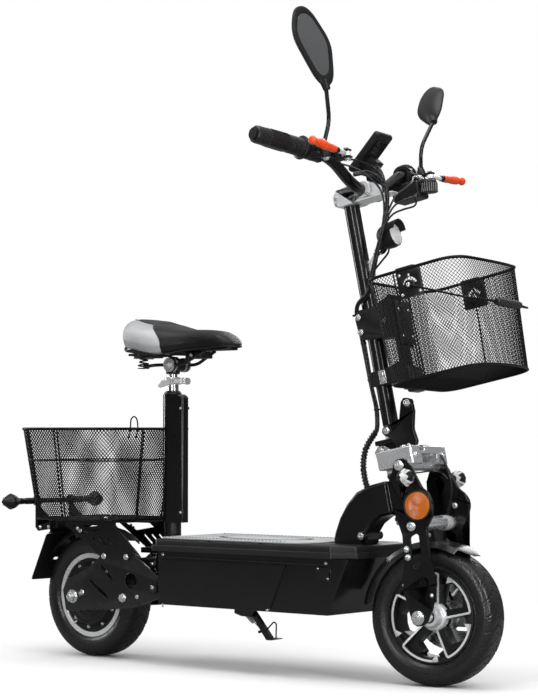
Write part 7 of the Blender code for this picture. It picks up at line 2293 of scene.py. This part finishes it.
@dataclass
class Lamps:
    """The headlight, the display and the four turn signals."""

    lamp_at: tuple[float, float, float] = (0.046, 0.0, 0.413)

    def headlight(self) -> None:
        """Model the headlight with its bowl, lens, visor and ears."""
        place = STEER @ moved(self.lamp_at) @ turned(86.0, "Y")
        shape = Shape(place)
        shape.lathe([
            (0.0, 0.0), (0.006, 0.0002), (0.016, 0.003), (0.02, 0.007), (0.0222, 0.0115), (0.0232, 0.0165),
            (0.0235, 0.0185), (0.0235, 0.03), (0.0229, 0.0304), (0.0229, 0.0316), (0.0235, 0.032),
            (0.0235, 0.0345), (0.0226, 0.036), (0.0212, 0.036), (0.0208, 0.0345)
        ], 64)
        for i in range(14):
            a = FULL_TURN * i / 14
            c, s = polar(1.0, a)
            shape.tube([
                (0.0228 * c, 0.0228 * s, 0.015), (0.024 * c, 0.024 * s, 0.02), (0.024 * c, 0.024 * s, 0.0285)
            ], 0.0008, 6)
        rings = []
        for i in range(29):
            a = radians(105.0 + 150.0 * i / 28)
            c, s = polar(1.0, a)
            edge = 0.05 - 0.0035 * abs(i - 14) / 14.0 * abs(i - 14) / 14.0
            rings.append([
                (0.0232 * c, 0.0232 * s, 0.028), (0.025 * c, 0.025 * s, 0.0282),
                (0.0258 * c, 0.0258 * s, edge), (0.025 * c, 0.025 * s, edge + 0.0006),
                (0.0242 * c, 0.0242 * s, edge)
            ])
        shape.loft(rings)
        ear = rounded(
            [(0.034, 0.386), (0.048, 0.386), (0.062, 0.398), (0.062, 0.406), (0.044, 0.406)], 0.003, 4
        )
        hole = (arc((0.041, 0.392), 0.0032, 0.0, 340.0, 17),)
        for flank, _ in SIDES:
            shape.plate(ear, 0.004, side(flank * 0.0055, STEER), hole, 0.0006)
        shape.paint(1)
        bowl = [
            (0.0207, 0.035), (0.0195, 0.0318), (0.0165, 0.0272), (0.0125, 0.0238), (0.008, 0.0218),
            (0.0045, 0.0212)
        ]
        shape.lathe(bowl, 12)
        shape.lathe([(0.0208, 0.0352), (0.0214, 0.0362), (0.0222, 0.0362)])
        shape.paint(2).lathe([(0.0, 0.0265), (0.003, 0.0255), (0.0042, 0.023), (0.0042, 0.021)], 24)
        shape.paint(3)
        dome = [(0.021 * cos(radians(a)), 0.0348 + 0.0048 * sin(radians(a))) for a in range(0, 90, 10)]
        shape.lathe(dome + [(0.0, 0.0396)])
        shape.paint(4)
        for flank, _ in SIDES:
            shape.bolt((0.041, flank * 0.0076, 0.392), (0.0, flank, 0.0), 0.0048, Head.HEX, 0.0034, STEER)
        shape.object(
            "headlight_unit", "lamp", (PLASTIC, BRIGHT, BULB, LENS, ZINC), "black_plastic", ("headlight",),
            30.0
        )

    def display(self) -> None:
        """Dress the display and add its screen, its ridge and its buttons."""
        turn = STEER @ moved((0.062, -0.002, 0.581)) @ turned(-37.0, "Y")

        def face(shape: Shape) -> None:
            """Add the screen, the keys, the back and the screws.

            Args:
                shape: What it is added to.
            """
            shape.block((-0.036, -0.0235, 0.0066), (0.04, 0.0235, 0.0079), 0.0005)
            shape.paint(2)
            for y in (-0.014, 0.0, 0.014):
                shape.block((-0.045, y - 0.0045, 0.007), (-0.0392, y + 0.0045, 0.0086), 0.0008)
            shape.block((-0.022, -0.02, -0.009), (0.032, 0.02, -0.006), 0.0012)
            for i in range(4):
                x = -0.014 + 0.011 * i
                shape.block((x, -0.016, -0.0102), (x + 0.004, 0.016, -0.008), 0.0006)
            shape.paint(3)
            shape.bolt((0.038, 0.0422, 0.55), LEFT, 0.003, height=0.0022, place=STEER)
            for x, y in ((-0.02, -0.018), (-0.02, 0.018)):
                shape.bolt((x, y, -0.0088), DOWN, 0.0018, Head.DOME, 0.001)

        dress("display_panel", PLASTIC, 0.0013, "gloss_plastic", turn, face, (SCREEN, GLOSSY, ZINC))

    @staticmethod
    def signal(
        name: str, body: str, centre: Point, reach: float, stalk: float, flank: float, place: Matrix,
        lens: Finish
    ) -> None:
        """Model one turn signal: a stalk, a pointed housing and its faceted lens.

        Args:
            name: The frame's node.
            body: The body that it rides on.
            centre: The root of its housing.
            reach: How far its tip stands out from there.
            stalk: How far its stalk reaches back from there.
            flank: -1 for the right, 1 for the left.
            place: The placement of the centre.
            lens: The lens's finish.
        """
        ahead = 1.0 if lens is LENS else -1.0
        turn = place @ moved(Vector(centre)) @ Matrix(
            (
                (ahead, 0.0, 0.0, 0.0), (0.0, 0.0, flank, 0.0), (0.0, -flank * ahead, 0.0, 0.0),
                (0.0, 0.0, 0.0, 1.0)
            )
        )
        shape = Shape(turn)
        shape.lathe([
            (0.0, -stalk), (0.0056, -stalk), (0.0065, 0.001 - stalk), (0.0062, -0.008), (0.0068, -0.004),
            (0.0066, 0.005), (0.0, 0.005)
        ], 32)
        for i in range(int(stalk / 0.007)):
            z = 0.003 - stalk + 0.0045 * i
            shape.lathe([(0.006, z), (0.0069, z + 0.001), (0.0069, z + 0.002), (0.006, z + 0.003)], 28)
        spindle = (
            (0.005, -0.047), (0.0078, -0.044), (0.014, -0.033), (0.0166, -0.026), (0.0168, -0.0235),
            (0.016, -0.02), (0.0098, -0.009), (0.0034, -0.001)
        )
        shape.lathe(
            [(0.0, reach - 0.047), *((r * 0.97, reach + z) for r, z in spindle), (0.0, reach - 0.0006)], 12
        )
        front = []
        for r, z in spindle[1:]:
            bow = [(r * 0.8 * cos(a), r * sin(a)) for a in (radians(-90.0 + 45.0 * k) for k in range(5))]
            front.append([(x + 0.0022, y, reach + z) for x, y in bow] + [
                (0.0008, r, reach + z), (0.0008, -r, reach + z)
            ])
        shape.paint(1).loft(front)
        shape.paint(2)
        for k in range(5):
            z = reach - 0.037 + 0.007 * k
            r = 0.013 - 0.001 * abs(k - 2)
            shape.block((0.002, -r * 0.8, z), (0.0085 - 0.0008 * abs(k - 2), r * 0.8, z + 0.003), 0.0005)
        shape.object(f"{name}_lamp", body, (PLASTIC, lens, BRIGHT), "signal_lens", (name,), 12.0, False)


# Rear end


@dataclass
class RearEnd:
    """The swing arm with its plates, shock, rack, mudguard and signals."""

    half: float = 0.0725
    thick: float = 0.005
    axle: tuple[float, float] = (-0.42, 0.1275)

    def _plate(self, flank: float) -> Callable[[Shape], None]:
        """Return what is bolted to one swing plate.

        Args:
            flank: -1 for the right, 1 for the left.

        Returns:
            The function that adds it.
        """
        face = flank * (self.half + self.thick)
        aim = (0.0, flank, 0.0)

        def fixings(shape: Shape) -> None:
            """Add what is fixed to it.

            Args:
                shape: What it is added to.
            """
            shape.bolt((-0.19, face, 0.1565), aim, 0.008, Head.NYLOC, 0.0075)
            shape.bolt((-0.28, face, 0.131), aim, 0.0068, Head.NYLOC, 0.0062)
            shape.bolt((-0.395, face, 0.137), aim, 0.0044, Head.HEX, 0.004)
            shape.bolt((-0.24, face, 0.135), aim, 0.0034, height=0.0026)
            shape.paint(2)
            window = [(p[0], 0.0, p[1]) for p in arc((-0.256, 0.166), 0.0168, 0.0, 360.0, 48)[:-1]]
            shape.tube([(x, face, z) for x, _, z in window], 0.0007, 8, True)
            for a, b in (((-0.372, 0.162), (-0.326, 0.132)), ((-0.341, 0.195), (-0.312, 0.169))):
                start, end = Vector(a), Vector(b)
                along = (end - start).normalized()
                beside = Vector((-along.y, along.x)) * 0.0046
                loop = [
                    start + beside, end + beside, end + along * 0.0046, end - beside, start - beside,
                    start - along * 0.0046
                ]
                ring = rounded([(p.x, p.y) for p in loop], 0.003, 3)
                shape.tube([(x, face, z) for x, z in ring], 0.0005, 6, True)

        return fixings

    def _rack(self, shape: Shape) -> None:
        """Bolt the rack's straps and its bracket.

        Args:
            shape: What it is added to.
        """
        face = self.half + self.thick + 0.0033
        for flank, _ in SIDES:
            aim = (0.0, flank, 0.0)
            for x, z in ((-0.268, 0.2145), (-0.33, 0.214)):
                shape.bolt((x, flank * face, z), aim, 0.0046, Head.HEX, 0.0034)
            for x, z in ((-0.406, 0.269), (-0.399, 0.264)):
                shape.bolt((x, flank * face, z), aim, 0.0032, Head.DOME, 0.002)
            for x, z in ((-0.52, 0.2675), (-0.545, 0.2665)):
                shape.bolt((x, flank * 0.052, z), aim, 0.003, Head.DOME, 0.002)
        shape.paint(2)
        for y in (-0.05, 0.05):
            shape.lathe(
                [(0.01, -0.005), (0.0105, -0.0045), (0.0105, 0.0045), (0.01, 0.005)], 32,
                across((-0.556, y, 0.322), MIDDLE)
            )

    def shock(self) -> None:
        """Model the damper and its coil."""
        place = MIDDLE @ moved((-0.256, 0.0, 0.0))
        shape = Shape(place)
        shape.lathe([
            (0.0, 0.2207), (0.0084, 0.2207), (0.0088, 0.22), (0.0088, 0.1912), (0.0084, 0.1907),
            (0.0064, 0.1907), (0.0064, 0.2)
        ])
        shape.object("shock_damper_body", "chassis", (ZINC,), "zinc_steel", ("shock_damper",))
        low, high, reach = 0.161, 0.2185, 0.0145
        turns, steps = 5, 36
        path = []
        for i in range(turns * steps + 1):
            t = i / (turns * steps)
            a = FULL_TURN * turns * t
            rise = low + (high - low) * (t - 0.035 * sin(FULL_TURN * t))
            path.append((*polar(reach, a), rise))
        coil = Shape(place)
        coil.tube(path, 0.0022)
        spring = coil.object("shock_coil", "", (PAINT,), "black_paint", ("shock_spring",))
        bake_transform(spring)

    def build(self) -> None:
        """Dress every piece of the rear end."""
        for flank, name in SIDES:
            dress(
                f"swing_plate_{name}", PAINT, 0.001, "black_paint", MIDDLE, self._plate(flank), (ZINC, SATIN)
            )
            Lamps.signal(
                f"rear_signal_{name}", "swing", (-0.556, flank * 0.1, 0.322), 0.05, 0.0448, flank, MIDDLE,
                SMOKE
            )
        dress("swing_crossbar", SATIN, 0.0008, "black_paint")
        dress("rear_rack", PAINT, 0.0007, "black_satin", MIDDLE, self._rack, (ZINC, PLASTIC))
        dress("rear_fender", PLASTIC, 0.0006, "black_plastic")
        shape = Shape(MIDDLE)
        for flank, _ in SIDES:
            turn = MIDDLE @ moved((self.axle[0], 0.0, self.axle[1])) @ turned(-90.0 * flank, "X")
            out = self.half + self.thick
            shape.lathe([
                (0.0, 0.0), (0.0059, 0.0), (0.0059, out + 0.015), (0.005, out + 0.0163), (0.0, out + 0.0163)
            ], 32, turn)
            shape.lathe([
                (0.006, out + 0.0004), (0.0132, out + 0.0004), (0.0135, out + 0.0008), (0.0135, out + 0.0028),
                (0.013, out + 0.0031), (0.006, out + 0.0031)
            ], 48, turn)
            shape.lathe([
                (0.006, out + 0.0031), (0.0104, out + 0.0031), (0.011, out + 0.0038), (0.011, out + 0.0105),
                (0.01, out + 0.0115), (0.006, out + 0.0115)
            ], 6, turn)
        shape.object("rear_axle_nuts", "swing", (ZINC,), "zinc_steel", ("rear_axle",))
        self.shock()


# Front end


@dataclass
class FrontEnd:
    """The fork with its crown, plates, reflectors, mudguard, caliper and signals."""

    face: float = 0.0762

    def _crown(self, shape: Shape) -> None:
        """Bolt the crown and the spacer.

        Args:
            shape: What it is added to.
        """
        for v in (-0.052, 0.052):
            shape.bolt((0.069, v, -0.0085), AHEAD, 0.0052, height=0.004)
            shape.bolt((0.045, v, 0.0088), UP, 0.006, height=0.0042)
            shape.bolt((0.012, v, 0.0088), UP, 0.0042, height=0.003)
        for flank, _ in SIDES:
            shape.bolt((-0.02, flank * 0.019, 0.014), (0.0, flank, 0.0), 0.006, Head.NYLOC, 0.0048)
        shape.paint(2)
        for v in (-0.047, 0.047):
            shape.lathe(
                [(0.0139, -0.01), (0.0146, -0.0095), (0.0146, 0.0095), (0.0139, 0.01)], 40,
                across((0.05, v, -0.1345), STEER)
            )

    def _leg(self, flank: float) -> Callable[[Shape], None]:
        """Return what is fixed to one fork plate.

        Args:
            flank: -1 for the right, 1 for the left.

        Returns:
            The function that adds it.
        """
        aim = (0.0, flank, 0.0)

        def fixings(shape: Shape) -> None:
            """Add the plate's bolts and its round reflector.

            Args:
                shape: What it is added to.
            """
            out = flank * self.face
            shape.bolt((0.0437, out + flank * 0.0048, -0.0256), aim, 0.0074, Head.NYLOC, 0.0062)
            shape.bolt((0.047, out + flank * 0.0048, -0.14), aim, 0.0066, Head.NYLOC, 0.0056)
            for w in (-0.1785, -0.1935):
                shape.bolt((0.0262, out, w), aim, 0.0046, Head.DOME, 0.0034)
            shape.bolt((0.061, out, -0.27), aim, 0.003, Head.DOME, 0.002)
            turn = STEER @ moved((0.0667, out, -0.1048)) @ turned(-90.0 * flank, "X")
            shape.paint(2).lathe([
                (0.0, 0.0), (0.0275, 0.0), (0.0283, 0.001), (0.0283, 0.0048), (0.0272, 0.006),
                (0.0258, 0.0056), (0.0256, 0.004), (0.0, 0.004)
            ], 72, turn)
            if flank < 0.0:
                shape.paint(3).lathe([
                    (0.0256, 0.0042), (0.025, 0.0058), (0.017, 0.0068), (0.008, 0.0073), (0.0, 0.0074)
                ], 64, turn)
                slash = (
                    (-0.0176, 0.0058), (-0.0088, 0.0071), (0.0, 0.0075), (0.0088, 0.0071), (0.0176, 0.0058)
                )
                shape.tube([(x, -x, z) for x, z in slash], 0.0006, 8, place=turn)
            else:
                shape.bolt((0.0667, flank * 0.0802, -0.1048), aim, 0.004, Head.HEX, 0.003)
            inner = STEER @ moved((0.0667, flank * 0.0698, -0.1048)) @ turned(90.0 * flank, "X")
            shape.paint(1).bolt((0.0, 0.0, 0.0), UP, 0.0042, Head.HEX, 0.0032, inner)

        return fixings

    def _caliper(self, shape: Shape) -> None:
        """Bolt the caliper and seat its hose.

        Args:
            shape: What it is added to.
        """
        shape.bolt((-0.019, 0.0583, -0.267), LEFT, 0.0062, height=0.003)
        for w in (-0.2835, -0.256):
            shape.bolt((0.0015, 0.0655, w), LEFT, 0.0034, Head.HEX, 0.0026)
        shape.bolt((-0.019, 0.0292, -0.2585), RIGHT, 0.0034, height=0.0024)
        shape.bolt((-0.019, 0.0292, -0.2745), RIGHT, 0.0034, height=0.0024)

    def hose(self) -> None:
        """Run the front brake's cable from the crown down to the caliper."""
        shape = Shape(STEER)
        route = flowing([
            (0.02, 0.03, 0.012), (0.038, 0.034, 0.015), (0.058, 0.04, 0.006), (0.0745, 0.046, -0.025),
            (0.076, 0.052, -0.07), (0.056, 0.059, -0.115), (0.025, 0.062, -0.17), (-0.008, 0.06, -0.215),
            (-0.019, 0.052, -0.244)
        ], 60)
        shape.tube(route, 0.0022, 14)
        shape.paint(1)
        shape.rod((-0.019, 0.052, -0.248), (-0.0178, 0.0532, -0.237), 0.0036, 0.0005)
        shape.rod((0.019, 0.0298, 0.011), (0.03, 0.0324, 0.0142), 0.0032, 0.0005)
        shape.paint(0)
        wire = (
            (0.064, 0.0655, -0.053), (0.056, 0.06, -0.04), (0.044, 0.048, -0.034), (0.02, 0.028, -0.033),
            (-0.008, 0.014, -0.029)
        )
        for flank, _ in SIDES:
            shape.tube(flowing([(u, flank * v, w) for u, v, w in wire], 30), 0.0014, 10)
        shape.object("front_brake_hose", "fork", (HOSE, ZINC), "rubber")

    def _fender(self, shape: Shape) -> None:
        """Bolt the mudguard's boss."""
        for flank, _ in SIDES:
            shape.bolt((0.046, flank * 0.0158, -0.156), (0.0, flank, 0.0), 0.0034, Head.HEX, 0.0024)

    def build(self) -> None:
        """Dress every piece of the fork."""
        dress("fork_crown", ALLOY_CAST, 0.0015, "silver_alloy", STEER, self._crown, (ZINC, ALLOY))
        for flank, name in SIDES:
            dress(
                f"fork_plate_{name}", PAINT, 0.0012, "black_paint", STEER, self._leg(flank),
                (ZINC, PLASTIC, REFLECTOR)
            )
            Lamps.signal(
                f"front_signal_{name}", "fork", (0.065, flank * 0.09, -0.053), 0.04, 0.0137, flank, STEER,
                LENS
            )
        dress("front_fender", FENDER, 0.0007, "black_plastic", STEER, self._fender, (ZINC,))
        dress("front_brake_caliper", SATIN, 0.0009, "black_satin", STEER, self._caliper, (ZINC,))
        shape = Shape(STEER)
        for flank, _ in SIDES:
            turn = STEER @ moved((0.0254, 0.0, -0.3051)) @ turned(-90.0 * flank, "X")
            shape.lathe([
                (0.0, 0.0), (0.0058, 0.0), (0.0058, 0.0345), (0.0096, 0.0348), (0.0098, 0.0352),
                (0.0098, 0.0692), (0.0058, 0.0697), (0.0058, 0.088), (0.005, 0.0893), (0.0, 0.0893)
            ], 40, turn)
            shape.lathe([
                (0.0059, 0.0764), (0.0126, 0.0764), (0.0129, 0.0768), (0.0129, 0.0784), (0.0124, 0.0788),
                (0.0059, 0.0788)
            ], 40, turn)
            shape.lathe([
                (0.0059, 0.0788), (0.0102, 0.0788), (0.0109, 0.0795), (0.0109, 0.0848), (0.01, 0.0856),
                (0.0059, 0.0856)
            ], 6, turn)
        shape.object("front_axle_nuts", "fork", (ZINC,), "zinc_steel", ("front_axle",))
        self.hose()


# Cables


@dataclass
class Cables:
    """The cable bundle on the stem, its branches and the wrapped loom."""

    radius: float = 0.0021

    ROUTE = (
        (0.0555, -0.075, 0.53), (0.076, -0.052, 0.53), (0.094, -0.036, 0.508), (0.094, -0.033, 0.474),
        (0.078, -0.032, 0.434), (0.056, -0.031, 0.391), (0.034, -0.028, 0.348), (0.014, -0.0235, 0.315),
        (-0.014, -0.019, 0.3), (-0.0268, -0.008, 0.278), (-0.0255, -0.004, 0.24), (-0.024, -0.004, 0.19),
        (-0.024, -0.004, 0.14), (-0.0215, -0.004, 0.1), (-0.026, -0.004, 0.07), (-0.032, -0.004, 0.056)
    )
    BRANCHES = (
        (
            (0.08, -0.134, 0.545), (0.086, -0.104, 0.544), (0.096, -0.068, 0.532), (0.101, -0.046, 0.508),
            (0.0965, -0.037, 0.47), (0.081, -0.036, 0.436)
        ),
        (
            (0.052, -0.108, 0.547), (0.07, -0.086, 0.536), (0.085, -0.06, 0.513), (0.09, -0.042, 0.488),
            (0.085, -0.036, 0.456), (0.072, -0.034, 0.42)
        ),
        (
            (0.08, 0.134, 0.545), (0.088, 0.104, 0.538), (0.105, 0.06, 0.518), (0.111, 0.018, 0.5),
            (0.106, -0.02, 0.48), (0.092, -0.033, 0.454), (0.074, -0.0345, 0.424)
        ),
        (
            (0.086, 0.12, 0.52), (0.098, 0.092, 0.504), (0.106, 0.052, 0.488), (0.106, 0.01, 0.476),
            (0.1, -0.022, 0.462), (0.086, -0.032, 0.44), (0.064, -0.033, 0.404)
        ),
        (
            (0.07, 0.118, 0.506), (0.09, 0.096, 0.49), (0.101, 0.06, 0.472), (0.1, 0.014, 0.46),
            (0.093, -0.02, 0.448), (0.078, -0.031, 0.428), (0.056, -0.032, 0.392)
        ),
        (
            (0.042, -0.006, 0.558), (0.062, -0.018, 0.556), (0.088, -0.03, 0.54), (0.098, -0.037, 0.508),
            (0.094, -0.037, 0.476), (0.079, -0.035, 0.44)
        ),
        (
            (0.048, 0.03, 0.402), (0.044, 0.028, 0.39), (0.034, 0.01, 0.372), (0.026, -0.012, 0.352),
            (0.018, -0.021, 0.326)
        )
    )

    @staticmethod
    def _wrapped(path: list[Vector], radius: float = 0.0046, pitch: float = 0.0062) -> Shape:
        """Return a tube with a spiral wrap on it.

        Args:
            path: Its middle line.
            radius: Its radius.
            pitch: How far apart the wrap's turns are.

        Returns:
            The shape.
        """
        shape = Shape(STEER)
        shape.tube(path, radius, 18)
        lengths = [0.0]
        for a, b in zip(path, path[1:]):
            lengths.append(lengths[-1] + (b - a).length)
        turns = lengths[-1] / pitch
        side_way: Optional[Vector] = None
        coil = []
        steps = int(turns * 14)
        k = 0
        for i in range(steps + 1):
            target = lengths[-1] * i / steps
            while k < len(lengths) - 2 and lengths[k + 1] < target:
                k += 1
            t = (target - lengths[k]) / max(1e-9, lengths[k + 1] - lengths[k])
            point = path[k].lerp(path[k + 1], t)
            aim = (path[k + 1] - path[k]).normalized()
            side_way = squared(side_way, aim)
            a = FULL_TURN * turns * i / steps
            coil.append(point + radius * 1.02 * (cos(a) * side_way + sin(a) * aim.cross(side_way)))
        shape.tube(coil, radius * 0.42, 6)
        return shape

    def bundle(self) -> None:
        """Model the strands on the stem, their ties and their branches at the bar."""
        middle = flowing(self.ROUTE, 150)
        shape = Shape(STEER)
        for k in range(4):
            path = []
            for i, point in enumerate(middle):
                before, after = middle[max(0, i - 1)], middle[min(len(middle) - 1, i + 1)]
                aim = (after - before).normalized()
                out = aim.cross(Vector(LEFT)).normalized()
                a = FULL_TURN * (k / 4.0 + 0.9 * i / len(middle)) + 0.4
                spread = 0.0027 + 0.0007 * sin(0.13 * i + 2.1 * k)
                path.append(point + spread * (cos(a) * out + sin(a) * aim.cross(out)))
            shape.tube(path, self.radius)
        for branch in self.BRANCHES:
            shape.tube(flowing(branch, 44), self.radius * 0.92)
        shape.paint(1)
        for i in (34, 52, 66, 88, 102, 116, 130):
            before, after = middle[i - 1], middle[i + 1]
            tie = STEER @ aimed(middle[i], after)
            shape.lathe([(0.0052, -0.0013), (0.0058, -0.0013), (0.0058, 0.0013), (0.0052, 0.0013)], 24, tie)
            shape.block((0.0046, -0.002, -0.0018), (0.0082, 0.002, 0.0018), 0.0004, 3, tie)
        for start, end in (
            ((0.08, -0.142, 0.545), (0.0805, -0.128, 0.545)), ((0.08, 0.142, 0.545), (0.0805, 0.128, 0.545))
        ):
            shape.paint(2).rod(start, end, 0.0031, 0.0004)
        shape.object("stem_cable_strands", "stem", (HOSE, PLASTIC, ZINC), "rubber", ("stem_cables",))

    def loom(self) -> None:
        """Model the wrapped loom: one run on the frame and two loose runs at the fold and the steering."""
        turns = (
            (-0.0318, -0.004, 0.0568), (-0.04, -0.004, 0.05), (-0.052, -0.004, 0.039),
            (-0.0602, -0.004, 0.0285), (-0.066, -0.004, 0.017), (-0.0705, -0.004, 0.003),
            (-0.0722, -0.004, -0.01), (-0.0728, -0.004, -0.02), (-0.0722, -0.004, -0.034),
            (-0.069, -0.004, -0.05)
        )
        fall = flowing(turns, 90)
        marks = [
            min(range(len(fall)), key=lambda i, k=k: (fall[i] - Vector(turns[k])).length) for k in (3, 6)
        ]
        shape = self._wrapped(fall[marks[1]:])
        shape.object("wiring_loop_wrapped", "chassis", (HOSE,), "black_plastic", ("wiring_loop",))
        for name, path, first, second in (
            ("loom_at_fold", fall[:marks[0] + 1], "stem", "fork"),
            ("loom_at_steering", fall[marks[0]:marks[1] + 1], "fork", "chassis")
        ):
            run = self._wrapped(path).object(name, "", (HOSE,), "black_plastic")
            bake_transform(run)

    def build(self) -> None:
        """Model every cable."""
        self.bundle()
        self.loom()


# Inside


@dataclass
class Inside:
    """The battery and the motor controller inside the tub."""

    def build(self) -> None:
        """Dress both boxes and strap the battery."""

        def battery(shape: Shape) -> None:
            """Strap the battery.

            Args:
                shape: What it is added to.
            """
            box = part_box("battery_pack")
            low, high = Vector(box[0]), Vector(box[1])
            for i in range(4):
                x = low.x + (high.x - low.x) * (0.15 + 0.23 * i)
                shape.block((x, low.y - 0.0002, low.z), (x + 0.006, high.y + 0.0002, high.z + 0.0002), 0.0002)

        dress("battery_pack", PLASTIC, 0.0015, "black_plastic", Matrix(), battery, (SATIN,))
        dress("motor_controller", CAST, 0.001, "silver_alloy")


def main() -> None:
    """Build the studio and every sub-assembly."""
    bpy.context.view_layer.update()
    Studio().build()
    Baskets().build()
    Wheels().build()
    Saddle().build()
    Pillar().build()
    Deck().build()
    Inside().build()
    RearEnd().build()
    FrontEnd().build()
    Cockpit().build()
    Mirrors().build()
    lamps = Lamps()
    lamps.headlight()
    lamps.display()
    Cables().build()


if __name__ == "__main__":
    main()
